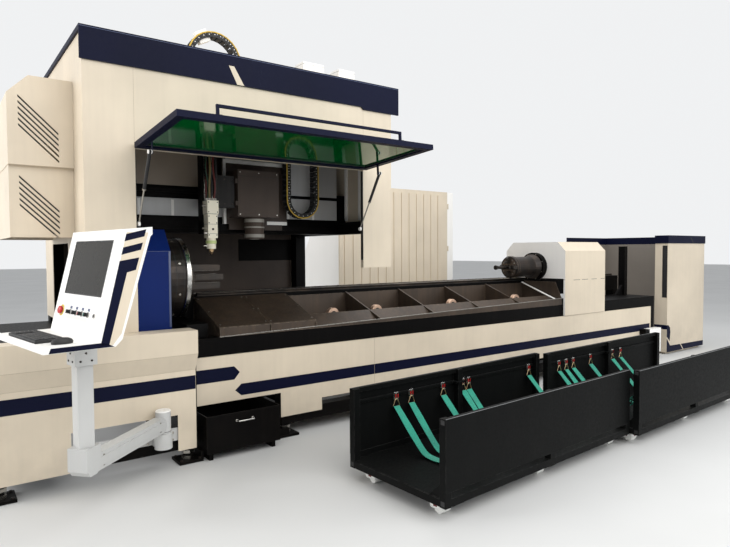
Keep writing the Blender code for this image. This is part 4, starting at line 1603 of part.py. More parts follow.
def main():
    """Build every sub-assembly of the machine."""
    build_base_frame()
    build_skirts()
    build_drawer()
    build_tray()
    build_rollers()
    build_portal_frame()
    build_housing()
    build_fascia()
    build_louvre_box()
    build_gantry()
    build_chains()
    build_head()
    build_window()
    build_struts()
    build_main_chuck()
    build_tail()
    build_end_guard()
    build_rear_cabinet()
    build_console()
    for name, place, turn, shares in zip(("left", "right"), BIN_PLACES, BIN_TURNS, SLING_SHARES):
        build_bin(f"bin_{name}", place, turn)
        build_slings(f"sling_set_{name}", shares, place, turn)


main()
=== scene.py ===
"""Dresses the tube laser cutting machine: finishes, fittings and small parts over its solids."""

from __future__ import annotations

import json
import logging
import math
from dataclasses import dataclass, field
from enum import Enum
from typing import Iterable, Sequence

import bmesh
import bpy
from mathutils import Matrix, Vector

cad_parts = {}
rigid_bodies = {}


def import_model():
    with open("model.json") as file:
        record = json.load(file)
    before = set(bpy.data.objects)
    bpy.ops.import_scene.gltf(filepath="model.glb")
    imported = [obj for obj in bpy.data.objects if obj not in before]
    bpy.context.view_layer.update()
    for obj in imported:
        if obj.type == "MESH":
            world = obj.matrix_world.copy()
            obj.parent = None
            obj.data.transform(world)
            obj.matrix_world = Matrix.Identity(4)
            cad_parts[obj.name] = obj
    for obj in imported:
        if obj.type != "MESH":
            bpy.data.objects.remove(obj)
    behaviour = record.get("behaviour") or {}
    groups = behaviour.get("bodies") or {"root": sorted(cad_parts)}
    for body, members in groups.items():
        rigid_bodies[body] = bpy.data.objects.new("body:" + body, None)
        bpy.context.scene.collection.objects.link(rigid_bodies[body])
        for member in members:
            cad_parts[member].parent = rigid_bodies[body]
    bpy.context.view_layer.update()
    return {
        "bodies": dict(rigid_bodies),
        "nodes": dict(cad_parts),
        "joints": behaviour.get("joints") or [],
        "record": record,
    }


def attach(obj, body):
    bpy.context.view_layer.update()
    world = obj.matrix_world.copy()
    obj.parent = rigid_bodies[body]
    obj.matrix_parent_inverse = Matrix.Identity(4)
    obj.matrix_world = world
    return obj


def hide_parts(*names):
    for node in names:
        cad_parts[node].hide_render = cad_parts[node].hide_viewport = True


LOG = logging.getLogger("tube_cutter")
OFFSET = Vector((-4.83, -0.425, 0.0))
AXIS_Y = 0.42
AXIS_Z = 1.345
LIFT = 0.0006
EAST = Vector((1, 0, 0))
UP = Vector((0, 0, 1))
SOUTH = Vector((0, -1, 0))

Triple = tuple[float, float, float]
Pair = tuple[float, float]
Spot = tuple[Vector, Vector, Vector]
Place = Vector | Triple


class Along(Enum):
    """The axis that a prism or a bar runs along."""

    X = "x"
    Y = "y"


def at(x: float, y: float, z: float) -> Vector:
    """Machine place to row place."""
    return Vector((x, y, z)) + OFFSET


def linear(red: int, green: int, blue: int) -> Triple:
    """Display colour to scene-linear colour.

    Args:
        red: 0 to 255.
        green: 0 to 255.
        blue: 0 to 255.

    Returns:
        Three linear values.
    """
    def one(value: int) -> float:
        """One channel, 0 to 255, made linear."""
        share = value / 255
        return share / 12.92 if share <= 0.04045 else ((share + 0.055) / 1.055) ** 2.4

    return one(red), one(green), one(blue)


class Graph:
    """A short way to write a material's node tree."""

    def __init__(self, name: str) -> None:
        """Start a material with only its Principled shader.

        Args:
            name: the material's name.
        """
        self.material = bpy.data.materials.new(name)
        self.material.use_nodes = True
        self.tree = self.material.node_tree
        self.shader = self.tree.nodes["Principled BSDF"]

    def node(self, kind: str, **settings: object) -> bpy.types.Node:
        """Add a node.

        Args:
            kind: node type name.
            settings: its properties.

        Returns:
            The node.
        """
        made = self.tree.nodes.new(kind)
        for key, value in settings.items():
            setattr(made, key, value)
        return made

    def join(self, source: bpy.types.NodeSocket, target: bpy.types.NodeSocket) -> None:
        """Link two sockets."""
        self.tree.links.new(source, target)

    def put(self, name: str, value: bpy.types.NodeSocket | float) -> None:
        """Give one input of the shader a socket or a plain number.

        Args:
            name: the input's name.
            value: what it takes.
        """
        if isinstance(value, bpy.types.NodeSocket):
            self.join(value, self.shader.inputs[name])
        else:
            self.shader.inputs[name].default_value = value

    def place(self, scale: Triple = (1, 1, 1), turn: Triple = (0, 0, 0)) -> bpy.types.NodeSocket:
        """Object coordinates, scaled and turned.

        Args:
            scale: stretch along each axis.
            turn: Euler angles in radians.

        Returns:
            The vector socket.
        """
        source = self.node("ShaderNodeTexCoord")
        mapping = self.node("ShaderNodeMapping")
        mapping.inputs["Scale"].default_value = scale
        mapping.inputs["Rotation"].default_value = turn
        self.join(source.outputs["Object"], mapping.inputs["Vector"])
        return mapping.outputs["Vector"]

    def noise(self, vector: bpy.types.NodeSocket, scale: float, detail: float = 3.0,
              low: float = 0.35, high: float = 0.65) -> bpy.types.NodeSocket:
        """Noise stretched between two levels.

        Args:
            vector: where it is read.
            scale: grains per metre.
            detail: octaves.
            low: level that becomes 0.
            high: level that becomes 1.

        Returns:
            A value from 0 to 1.
        """
        grain = self.node("ShaderNodeTexNoise")
        grain.inputs["Scale"].default_value = scale
        grain.inputs["Detail"].default_value = detail
        self.join(vector, grain.inputs["Vector"])
        return self.span(grain.outputs["Fac"], low, high)

    def span(self, value: bpy.types.NodeSocket, low: float, high: float, to_low: float = 0.0,
             to_high: float = 1.0) -> bpy.types.NodeSocket:
        """Map one range of values onto another, held at its ends.

        Args:
            value: what is mapped.
            low: where the first range starts.
            high: where it ends.
            to_low: where the second starts.
            to_high: where it ends.

        Returns:
            The mapped value.
        """
        ranged = self.node("ShaderNodeMapRange")
        for key, number in (("From Min", low), ("From Max", high), ("To Min", to_low), ("To Max", to_high)):
            ranged.inputs[key].default_value = number
        self.join(value, ranged.inputs["Value"])
        return ranged.outputs["Result"]

    def times(self, first: bpy.types.NodeSocket, second: bpy.types.NodeSocket | float,
              operation: str = "MULTIPLY") -> bpy.types.NodeSocket:
        """Two values put through one sum.

        Args:
            first: a socket.
            second: a socket or a number.
            operation: which sum.

        Returns:
            The result.
        """
        sums = self.node("ShaderNodeMath", operation=operation)
        self.join(first, sums.inputs[0])
        if isinstance(second, (int, float)):
            sums.inputs[1].default_value = second
        else:
            self.join(second, sums.inputs[1])
        return sums.outputs["Value"]

    def blend(self, share: bpy.types.NodeSocket, first: Triple | bpy.types.NodeSocket,
              second: Triple | bpy.types.NodeSocket) -> bpy.types.NodeSocket:
        """Mix two colours.

        Args:
            share: 0 for the first, 1 for the second.
            first: a colour or a socket.
            second: a colour or a socket.

        Returns:
            The colour socket.
        """
        mixed = self.node("ShaderNodeMix", data_type="RGBA")
        self.join(share, mixed.inputs["Factor"])
        for value, key in ((first, "A"), (second, "B")):
            socket = [s for s in mixed.inputs if s.name == key and s.type == "RGBA"][0]
            if isinstance(value, bpy.types.NodeSocket):
                self.join(value, socket)
            else:
                socket.default_value = (*value, 1.0)
        return [s for s in mixed.outputs if s.type == "RGBA"][0]

    def height(self) -> bpy.types.NodeSocket:
        """Height above the floor.

        Returns:
            The value socket.
        """
        source = self.node("ShaderNodeTexCoord")
        parts = self.node("ShaderNodeSeparateXYZ")
        self.join(source.outputs["Object"], parts.inputs["Vector"])
        return parts.outputs["Z"]

    def edges(self, radius: float) -> bpy.types.NodeSocket:
        """Bright along sharp edges.

        Args:
            radius: how far the wear reaches from an edge.

        Returns:
            A value from 0 on faces to 1 at edges.
        """
        rounded = self.node("ShaderNodeBevel", samples=4)
        rounded.inputs["Radius"].default_value = radius
        flat = self.node("ShaderNodeNewGeometry")
        dot = self.node("ShaderNodeVectorMath", operation="DOT_PRODUCT")
        self.join(rounded.outputs["Normal"], dot.inputs[0])
        self.join(flat.outputs["Normal"], dot.inputs[1])
        return self.span(dot.outputs["Value"], 0.985, 0.86)

    def bump(self, value: bpy.types.NodeSocket, depth: float, strength: float = 1.0) -> None:
        """Raise the surface by a value.

        Args:
            value: what raises it.
            depth: metres at full value.
            strength: share that is used.
        """
        raised = self.node("ShaderNodeBump")
        raised.inputs["Distance"].default_value = depth
        raised.inputs["Strength"].default_value = strength
        self.join(value, raised.inputs["Height"])
        self.join(raised.outputs["Normal"], self.shader.inputs["Normal"])


@dataclass(frozen=True)
class Paint:
    """Painted sheet metal with dust, streaks and, if asked, worn edges."""

    name: str
    slot: str
    colour: Triple
    roughness: float = 0.42
    metallic: float = 0.0
    mottle: float = 0.12
    streak: float = 0.06
    grime: float = 0.0
    dust: Triple = (0.30, 0.26, 0.21)
    wear: float = 0.0
    bare: Triple = (0.42, 0.40, 0.37)
    peel: float = 0.00008
    shine: float = 0.5

    def build(self) -> bpy.types.Material:
        """The material's nodes.

        Returns:
            The material.
        """
        graph = Graph(self.name)
        plain = graph.place()
        cloud = graph.noise(plain, 1.7, 4.0)
        fine = graph.noise(plain, 55.0, 2.0, 0.3, 0.7)
        run = graph.noise(graph.place((7.0, 7.0, 0.45)), 3.0, 4.0, 0.45, 0.8)
        darker = tuple(c * (1 - self.mottle) for c in self.colour)
        shade = graph.blend(cloud, self.colour, darker)
        shade = graph.blend(graph.times(run, self.streak), shade, self.dust)
        if self.grime:
            low = graph.span(graph.height(), 0.55, 0.02)
            patch = graph.times(low, graph.noise(plain, 6.0, 5.0, 0.3, 0.75))
            shade = graph.blend(graph.times(patch, self.grime), shade, self.dust)
        rough = graph.span(fine, 0.0, 1.0, self.roughness - 0.05, self.roughness + 0.06)
        if self.wear:
            worn = graph.times(graph.edges(0.004), graph.noise(plain, 26.0, 4.0, 0.38, 0.6))
            shade = graph.blend(graph.times(worn, self.wear), shade, self.bare)
        graph.put("Base Color", shade)
        graph.put("Roughness", rough)
        graph.put("Metallic", self.metallic)
        graph.put("Specular IOR Level", self.shine)
        graph.bump(graph.noise(plain, 420.0, 2.0, 0.2, 0.8), self.peel)
        return graph.material


@dataclass(frozen=True)
class Steel:
    """Bare, brushed or oily metal with marks along one direction."""

    name: str
    slot: str
    colour: Triple
    roughness: float = 0.28
    lay: Triple = (4.0, 60.0, 60.0)
    stain: float = 0.35
    stain_colour: Triple = (0.10, 0.07, 0.05)
    metallic: float = 1.0

    def build(self) -> bpy.types.Material:
        """The material's nodes.

        Returns:
            The material.
        """
        graph = Graph(self.name)
        plain = graph.place()
        marks = graph.noise(graph.place(self.lay), 9.0, 3.0, 0.25, 0.75)
        cloud = graph.noise(plain, 8.0, 5.0, 0.42, 0.72)
        shade = graph.blend(marks, self.colour, tuple(c * 0.78 for c in self.colour))
        shade = graph.blend(graph.times(cloud, self.stain), shade, self.stain_colour)
        rough = graph.span(marks, 0.0, 1.0, self.roughness, self.roughness + 0.14)
        graph.put("Base Color", shade)
        graph.put("Roughness", rough)
        graph.put("Metallic", self.metallic)
        graph.bump(marks, 0.00006)
        return graph.material


@dataclass(frozen=True)
class Glazing:
    """Tinted safety glass or a dark display."""

    name: str
    slot: str
    colour: Triple
    roughness: float = 0.04
    clear: float = 0.0
    shine: float = 0.5

    def build(self) -> bpy.types.Material:
        """The material's nodes.

        Returns:
            The material.
        """
        graph = Graph(self.name)
        plain = graph.place()
        cloud = graph.noise(plain, 2.2, 3.0, 0.3, 0.8)
        shade = graph.blend(cloud, self.colour, tuple(c * 0.72 for c in self.colour))
        graph.put("Base Color", shade)
        smear = graph.noise(graph.place((3.0, 1.0, 1.0)), 6.0, 4.0, 0.4, 0.9)
        graph.put("Roughness", graph.span(smear, 0.0, 1.0, self.roughness, self.roughness + 0.07))
        graph.put("Transmission Weight", self.clear)
        graph.put("IOR", 1.5)
        graph.put("Specular IOR Level", self.shine)
        return graph.material


@dataclass(frozen=True)
class Moulded:
    """Moulded plastic or rubber with a fine grain."""

    name: str
    slot: str
    colour: Triple
    roughness: float = 0.5
    grain: float = 0.00012
    mottle: float = 0.15

    def build(self) -> bpy.types.Material:
        """The material's nodes.

        Returns:
            The material.
        """
        graph = Graph(self.name)
        plain = graph.place()
        cloud = graph.noise(plain, 14.0, 3.0)
        fine = graph.noise(plain, 700.0, 2.0, 0.3, 0.7)
        shade = graph.blend(cloud, self.colour, tuple(c * (1 - self.mottle) for c in self.colour))
        graph.put("Base Color", shade)
        graph.put("Roughness", graph.span(cloud, 0.0, 1.0, self.roughness, self.roughness + 0.1))
        graph.bump(fine, self.grain)
        return graph.material


@dataclass(frozen=True)
class Webbing:
    """Woven polyester strap, read along its own length from its UV map."""

    name: str
    slot: str
    colour: Triple
    fade: Triple

    def build(self) -> bpy.types.Material:
        """The material's nodes.

        Returns:
            The material.
        """
        graph = Graph(self.name)
        source = graph.node("ShaderNodeUVMap", uv_map="strap")
        across = graph.node("ShaderNodeTexWave", bands_direction="X")
        along = graph.node("ShaderNodeTexWave", bands_direction="Y")
        for wave, scale in ((across, 6.0), (along, 110.0)):
            wave.inputs["Scale"].default_value = scale
            graph.join(source.outputs["UV"], wave.inputs["Vector"])
        weave = graph.times(across.outputs["Fac"], along.outputs["Fac"], "ADD")
        level = graph.span(weave, 0.3, 1.7)
        shade = graph.blend(level, tuple(c * 0.62 for c in self.colour), self.colour)
        dirt = graph.noise(graph.place(), 11.0, 4.0, 0.45, 0.8)
        shade = graph.blend(graph.times(dirt, 0.5), shade, self.fade)
        graph.put("Base Color", shade)
        graph.put("Roughness", 0.8)
        graph.put("Sheen Weight", 0.25)
        graph.bump(level, 0.0006)
        return graph.material


class Shop:
    """The machine's finishes, each made once."""

    cream = Paint("cream_sheet", "cream_sheet", linear(222, 208, 186), 0.42, grime=0.4, streak=0.08)
    # Darker cream for sheet joints and the louvre lips, and painted shade along the louvre box's lower edges.
    shade_cream = Paint("joint_and_shade_cream", "cream_sheet", linear(172, 156, 134), 0.5, grime=0.4)
    white = Paint("white_sheet", "white_case", linear(246, 244, 240), 0.4, mottle=0.04, streak=0.03)
    navy = Paint("navy_sheet", "navy_sheet", linear(8, 13, 40), 0.5, mottle=0.2, streak=0.02, wear=0.2,
                 bare=linear(70, 80, 110), dust=linear(36, 42, 62), shine=0.1)
    # Lighter blue-grey for the switch labels, and painted highlights along the fascia's and the chuck cover's fold
    # edges.
    slate = Paint("slate_labels_and_highlights", "navy_sheet", linear(74, 86, 120), 0.4)
    black = Paint("black_frame", "black_frame", linear(9, 8, 8), 0.5, mottle=0.3, wear=0.3, grime=0.1,
                  bare=linear(80, 74, 66), dust=linear(46, 40, 34), shine=0.06)
    charcoal = Paint("bin_charcoal", "bin_charcoal", linear(12, 13, 13), 0.5, mottle=0.22, wear=0.4,
                     grime=0.15, bare=linear(92, 92, 90), dust=linear(40, 39, 36), shine=0.06)
    tray = Paint("worn_tray", "worn_tray", linear(76, 64, 54), 0.44, metallic=0.35, mottle=0.45, wear=0.9,
                 streak=0.3, bare=linear(150, 136, 118), dust=linear(104, 84, 64))
    # Grey for the end guard's inner walls: painted shade, since these are cream walls that lie in shadow.
    guard_shade = Paint("guard_painted_shade", "cream_sheet", linear(128, 121, 113), 0.5)
    interior = Paint("portal_lining", "worn_tray", linear(72, 60, 52), 0.55, mottle=0.35, streak=0.25,
                     dust=linear(44, 37, 33), shine=0.3)
    chuck_blue = Paint("chuck_blue", "chuck_blue", linear(14, 36, 98), 0.4, mottle=0.12, streak=0.0,
                       dust=linear(30, 34, 50), shine=0.12)
    casting = Paint("grey_casting", "grey_casting", linear(172, 172, 170), 0.45, mottle=0.15, wear=0.2)
    cover_pale = Paint("cover_pale", "silver_cover", linear(196, 196, 196), 0.35, mottle=0.12, streak=0.1)
    motor_grey = Paint("motor_grey", "worn_tray", linear(150, 146, 138), 0.5, mottle=0.2)
    slide_dark = Paint("slide_dark", "grey_casting", linear(30, 27, 26), 0.45, mottle=0.3, shine=0.2)
    arm_grey = Paint("arm_grey", "grey_casting", linear(196, 196, 194), 0.4, mottle=0.1)
    head_cream = Paint("head_cream", "head_cream", linear(252, 244, 222), 0.35, mottle=0.04, streak=0.0)
    stop_red = Moulded("stop_red", "stop_red", linear(190, 24, 22), 0.3, 0.00004)
    green = Glazing("green_glass", "green_glass", linear(0, 104, 44), 0.05, 0.35)
    display = Glazing("dark_display", "screen_dark", linear(44, 42, 38), 0.25, shine=0.12)
    chrome = Steel("polished_ring", "polished_ring", linear(206, 204, 200), 0.16, (60, 4, 4), 0.3)
    silver = Steel("silver_cover", "silver_cover", linear(176, 174, 168), 0.34, (60, 60, 3), 0.3, metallic=0.8)
    bright = Steel("bright_rail", "silver_cover", linear(186, 182, 174), 0.2, (3, 80, 80), 0.25)
    rail_worn = Steel("rail_worn", "silver_cover", linear(44, 39, 35), 0.42, (3, 80, 80), 0.6, metallic=0.6)
    jaw_steel = Steel("jaw_steel", "chuck_black", linear(62, 58, 55), 0.28, (30, 8, 8), 0.35, metallic=0.8)
    blackened = Steel("blackened_steel", "chuck_black", linear(48, 44, 42), 0.32, (40, 8, 8), 0.4,
                      metallic=0.75)
    bronze = Steel("roller_bronze", "roller_bronze", linear(226, 190, 164), 0.34, (60, 6, 60), 0.3, metallic=0.7)
    copper = Steel("nozzle_copper", "nozzle_copper", linear(214, 182, 140), 0.3, (30, 30, 4), 0.2)
    rubber = Moulded("black_plastic", "black_plastic", linear(26, 26, 27), 0.55)
    keycap = Moulded("keycap_black", "black_plastic", linear(38, 38, 40), 0.5)
    chain_line = Moulded("chain_line", "black_plastic", linear(214, 178, 70), 0.5)
    sensor_green = Moulded("sensor_green", "head_cream", linear(206, 220, 150), 0.4)
    hose_green = Moulded("hose_green", "black_plastic", linear(28, 60, 42), 0.4)
    hose_red = Moulded("hose_red", "black_plastic", linear(100, 34, 30), 0.4)
    hose_yellow = Moulded("hose_yellow", "black_plastic", linear(112, 100, 60), 0.4)
    castor_white = Moulded("castor_white", "bin_charcoal", linear(242, 242, 238), 0.45, mottle=0.05)
    castor_red = Moulded("castor_red", "bin_charcoal", linear(110, 30, 26), 0.45)
    key_teal = Moulded("key_teal", "silver_cover", linear(40, 150, 140), 0.4)
    key_yellow = Moulded("key_yellow", "silver_cover", linear(214, 186, 60), 0.4)
    ring_brass = Steel("ring_brass", "sling_teal", linear(206, 180, 140), 0.3, (40, 40, 40), 0.2)
    bare_grey = Paint("bare_grey", "bin_charcoal", linear(104, 106, 108), 0.45, mottle=0.3)
    panel_brown = Paint("panel_brown", "black_frame", linear(152, 138, 122), 0.5, mottle=0.15)
    worn_brown = Steel("worn_brown", "chuck_black", linear(96, 82, 72), 0.35, (10, 40, 40), 0.4, metallic=0.6)
    teal = Webbing("sling_teal", "sling_teal", linear(28, 166, 138), linear(20, 92, 84))
    _made: dict[str, bpy.types.Material] = {}

    @classmethod
    def of(cls, finish: Paint | Steel | Glazing | Moulded | Webbing) -> bpy.types.Material:
        """The material of a finish, built the first time it is asked for.

        Args:
            finish: the finish.

        Returns:
            Its material.
        """
        if finish.name not in cls._made:
            cls._made[finish.name] = finish.build()
        return cls._made[finish.name]


Finish = Paint | Steel | Glazing | Moulded | Webbing


@dataclass
class Shape:
    """Gathers closed forms in row coordinates and turns them into one piece."""

    name: str
    bm: bmesh.types.BMesh = field(default_factory=bmesh.new)
    offset: Vector = field(default_factory=lambda: OFFSET.copy())

    def box(self, low: Place, high: Place, round_by: float = 0.0, turn: Matrix | None = None) -> Shape:
        """A box, its edges rounded if asked.

        Args:
            low: its lowest corner.
            high: its highest corner.
            round_by: edge radius.
            turn: a last transform.

        Returns:
            The shape itself.
        """
        low, high = Vector(low), Vector(high)
        centre, size = (low + high) / 2, high - low
        block = bmesh.new() if round_by else self.bm
        made = bmesh.ops.create_cube(block, size=1)["verts"]
        for vert in made:
            vert.co = Vector(c * s for c, s in zip(vert.co, size)) + centre
        if round_by:
            bmesh.ops.bevel(block, geom=block.edges[:], offset=min(round_by, min(size) * 0.45),
                            segments=2, profile=0.5, affect="EDGES")
            made = self.take(block)
        if turn is not None:
            bmesh.ops.transform(self.bm, matrix=turn, verts=made)
        return self

    def take(self, block: bmesh.types.BMesh) -> list[bmesh.types.BMVert]:
        """Copy a bevelled block in with its points and faces sorted, because the bevel's order varies by run.

        Args:
            block: the block, freed here.

        Returns:
            Its points in this shape.
        """
        points = sorted(block.verts, key=lambda vert: tuple(round(c, 6) for c in vert.co))
        rank = {vert: index for index, vert in enumerate(points)}
        made = [self.bm.verts.new(vert.co) for vert in points]
        rings = []
        for face in block.faces:
            ring = [rank[vert] for vert in face.verts]
            first = ring.index(min(ring))
            rings.append(ring[first:] + ring[:first])
        for ring in sorted(rings):
            self.bm.faces.new([made[k] for k in ring])
        block.free()
        return made

    def boxes(self, spans: Iterable[tuple[Triple, Triple]], round_by: float = 0.0) -> Shape:
        """Several boxes in machine places.

        Args:
            spans: (lowest corner, highest corner) of each.
            round_by: edge radius.

        Returns:
            The shape itself.
        """
        for low, high in spans:
            self.box(at(*low), at(*high), round_by)
        return self

    def rod(self, start: Place, end: Place, radius: float, end_radius: float | None = None,
            steps: int = 20) -> Shape:
        """A round bar between two points, tapered if asked.

        Args:
            start: the middle of one end.
            end: the middle of the other.
            radius: at the start.
            end_radius: at the end.
            steps: faces round it.

        Returns:
            The shape itself.
        """
        start, end = Vector(start), Vector(end)
        run = end - start
        turn = run.to_track_quat("Z", "Y").to_matrix().to_4x4()
        made = bmesh.ops.create_cone(self.bm, cap_ends=True, segments=steps, radius1=radius,
                                     radius2=radius if end_radius is None else end_radius,
                                     depth=run.length)["verts"]
        bmesh.ops.transform(self.bm, matrix=Matrix.Translation((start + end) / 2) @ turn, verts=made)
        return self

    def pipe(self, points: Sequence[Vector], radius: float, steps: int = 10, closed: bool = False) -> Shape:
        """A round tube that follows points.

        Args:
            points: its centreline.
            radius: its radius.
            steps: faces round it.
            closed: whether it is a loop.

        Returns:
            The shape itself.
        """
        count = len(points)
        rings: list[list[bmesh.types.BMVert]] = []
        side = UP
        for index, point in enumerate(points):
            ahead = points[(index + 1) % count] if closed or index + 1 < count else point
            behind = points[index - 1] if closed or index else point
            run = (ahead - behind).normalized()
            if abs(run.dot(side)) > 0.98:
                side = EAST if abs(run.x) < 0.9 else Vector((0, 1, 0))
            across = run.cross(side).normalized()
            side = across.cross(run).normalized()
            rings.append([self.bm.verts.new(point + (across * math.cos(a) + side * math.sin(a)) * radius)
                          for a in (2 * math.pi * k / steps for k in range(steps))])
        for index in range(count if closed else count - 1):
            first, second = rings[index], rings[(index + 1) % count]
            for k in range(steps):
                self.bm.faces.new((first[k], first[(k + 1) % steps], second[(k + 1) % steps], second[k]))
        if not closed:
            self.bm.faces.new(list(reversed(rings[0])))
            self.bm.faces.new(rings[-1])
        return self

    def plate(self, outline: Sequence[Pair], along: Along, start: float, end: float) -> Shape:
        """A flat outline in machine places, given thickness.

        Args:
            outline: (y, z) along X, (x, z) along Y.
            along: the thickness axis.
            start: where it starts on that axis.
            end: where it ends.

        Returns:
            The shape itself.
        """
        def spot(a: float, b: float, c: float) -> Vector:
            """The place of a point of the outline."""
            return self.offset + Vector((c, a, b) if along is Along.X else (a, c, b))

        near = [self.bm.verts.new(spot(a, b, start)) for a, b in outline]
        far = [self.bm.verts.new(spot(a, b, end)) for a, b in outline]
        count = len(outline)
        self.bm.faces.new(near)
        self.bm.faces.new(list(reversed(far)))
        for k in range(count):
            self.bm.faces.new((near[k], far[k], far[(k + 1) % count], near[(k + 1) % count]))
        return self

    def ring(self, centre: Vector, facing: Vector, profile: Sequence[Pair], steps: int = 48) -> Shape:
        """A closed section turned about an axis.

        Args:
            centre: a point on the axis.
            facing: the axis.
            profile: (radius, distance along the axis) of the closed section.
            steps: faces round it.

        Returns:
            The shape itself.
        """
        turn = facing.to_track_quat("Z", "Y").to_matrix()
        loops = []
        for index in range(steps):
            angle = 2 * math.pi * index / steps
            loops.append([self.bm.verts.new(centre + turn @ Vector((r * math.cos(angle), r * math.sin(angle), d)))
                          for r, d in profile])
        size = len(profile)
        for index in range(steps):
            first, second = loops[index], loops[(index + 1) % steps]
            for k in range(size):
                self.bm.faces.new((first[k], second[k], second[(k + 1) % size], first[(k + 1) % size]))
        return self

    def done(self, finish: Finish, body: str = "machine", smooth: float = 40.0, bevel: float = 0.0,
             hide: Sequence[str] = ()) -> bpy.types.Object:
        """Make the piece, dress it and set it riding.

        Args:
            finish: what it is finished in.
            body: the body it moves with.
            smooth: angle in degrees above which edges stay sharp.
            bevel: edge radius.
            hide: nodes that it stands for.

        Returns:
            The piece.
        """
        bmesh.ops.recalc_face_normals(self.bm, faces=self.bm.faces)
        mesh = bpy.data.meshes.new(self.name)
        self.bm.to_mesh(mesh)
        self.bm.free()
        return settle(self.name, mesh, finish, body, smooth, bevel, hide)


def settle(name: str, mesh: bpy.types.Mesh, finish: Finish, body: str, smooth: float = 40.0,
           bevel: float = 0.0, hide: Sequence[str] = ()) -> bpy.types.Object:
    """Link a mesh as a finished piece.

    Args:
        name: the piece's name.
        mesh: its mesh in row coordinates.
        finish: what it is finished in.
        body: the body it moves with.
        smooth: angle in degrees above which edges stay sharp.
        bevel: edge radius.
        hide: nodes that it stands for.

    Returns:
        The piece.
    """
    piece = bpy.data.objects.new(name, mesh)
    bpy.context.scene.collection.objects.link(piece)
    mesh.materials.clear()
    mesh.materials.append(Shop.of(finish))
    if smooth:
        mesh.shade_smooth()
        mesh.set_sharp_from_angle(angle=math.radians(smooth))
    if bevel:
        rounding = piece.modifiers.new("rounding", "BEVEL")
        rounding.width = bevel
        rounding.segments = 2
        rounding.limit_method = "ANGLE"
        rounding.harden_normals = True
    if hide:
        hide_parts(*hide)
    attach(piece, body)
    LOG.info("%s: %d faces on %s", name, len(mesh.polygons), body)
    return piece


class Repeat:
    """A Geometry Nodes tree that sets a small form on every point, facing the way each point says."""

    _tree: bpy.types.NodeTree | None = None

    @classmethod
    def tree(cls) -> bpy.types.NodeTree:
        """The node tree, built once, with its form, size and finish as named inputs.

        Returns:
            The tree.
        """
        if cls._tree is not None:
            return cls._tree
        tree = bpy.data.node_groups.new("set_on_points", "GeometryNodeTree")
        face = tree.interface
        for name, way, kind in (("Points", "INPUT", "Geometry"), ("Form", "INPUT", "Object"),
                                ("Size", "INPUT", "Float"), ("Finish", "INPUT", "Material"),
                                ("Piece", "OUTPUT", "Geometry")):
            face.new_socket(name, in_out=way, socket_type="NodeSocket" + kind)
        entry, leave = tree.nodes.new("NodeGroupInput"), tree.nodes.new("NodeGroupOutput")
        form = tree.nodes.new("GeometryNodeObjectInfo")
        facing, along = (tree.nodes.new("GeometryNodeInputNamedAttribute") for _ in range(2))
        for reader, name in ((facing, "facing"), (along, "along")):
            reader.data_type = "FLOAT_VECTOR"
            reader.inputs["Name"].default_value = name
        turn, spin = (tree.nodes.new("FunctionNodeAlignRotationToVector") for _ in range(2))
        turn.axis = "Z"
        spin.axis, spin.pivot_axis = "X", "Z"
        setting = tree.nodes.new("GeometryNodeInstanceOnPoints")
        real = tree.nodes.new("GeometryNodeRealizeInstances")
        dress = tree.nodes.new("GeometryNodeSetMaterial")
        for source, given, target, taken in (
                (entry, "Form", form, "Object"), (facing, "Attribute", turn, "Vector"),
                (turn, "Rotation", spin, "Rotation"), (along, "Attribute", spin, "Vector"),
                (entry, "Points", setting, "Points"), (form, "Geometry", setting, "Instance"),
                (spin, "Rotation", setting, "Rotation"), (entry, "Size", setting, "Scale"),
                (setting, "Instances", real, "Geometry"), (real, "Geometry", dress, "Geometry"),
                (entry, "Finish", dress, "Material"), (dress, "Geometry", leave, "Piece")):
            tree.links.new(source.outputs[given], target.inputs[taken])
        cls._tree = tree
        return tree

    @classmethod
    def make(cls, name: str, form: Shape, places: Iterable[Spot], finish: Finish,
             body: str = "machine", size: float = 1.0, smooth: float = 40.0,
             hide: Sequence[str] = ()) -> bpy.types.Object:
        """Set a form on points.

        Args:
            name: the piece's name.
            form: the small form, about the origin, its top along +Z.
            places: (place, facing, along) for each copy.
            finish: what it is finished in.
            body: the body it moves with.
            size: scale of each copy.
            smooth: angle in degrees above which edges stay sharp.
            hide: nodes that it stands for.

        Returns:
            The piece.
        """
        spots = list(places)
        bmesh.ops.recalc_face_normals(form.bm, faces=form.bm.faces)
        small = bpy.data.meshes.new(form.name)
        form.bm.to_mesh(small)
        form.bm.free()
        source = bpy.data.objects.new(form.name, small)
        bpy.context.scene.collection.objects.link(source)
        cloud = bpy.data.meshes.new(name + "_points")
        cloud.from_pydata([tuple(spot[0]) for spot in spots], [], [])
        for key, column in (("facing", 1), ("along", 2)):
            values = cloud.attributes.new(key, "FLOAT_VECTOR", "POINT")
            for item, spot in zip(values.data, spots):
                item.vector = spot[column]
        holder = bpy.data.objects.new(name + "_points", cloud)
        bpy.context.scene.collection.objects.link(holder)
        modifier = holder.modifiers.new("repeat", "NODES")
        modifier.node_group = cls.tree()
        values = {"Form": source, "Size": size, "Finish": Shop.of(finish)}
        for socket in cls.tree().interface.items_tree:
            if socket.name in values:
                modifier[socket.identifier] = values[socket.name]
        graph = bpy.context.evaluated_depsgraph_get()
        mesh = bpy.data.meshes.new_from_object(holder.evaluated_get(graph))
        mesh.name = name
        for item in list(mesh.attributes):
            if item.name in ("facing", "along"):
                mesh.attributes.remove(item)
        bpy.data.objects.remove(holder)
        bpy.data.objects.remove(source)
        return settle(name, mesh, finish, body, smooth, 0.0, hide)


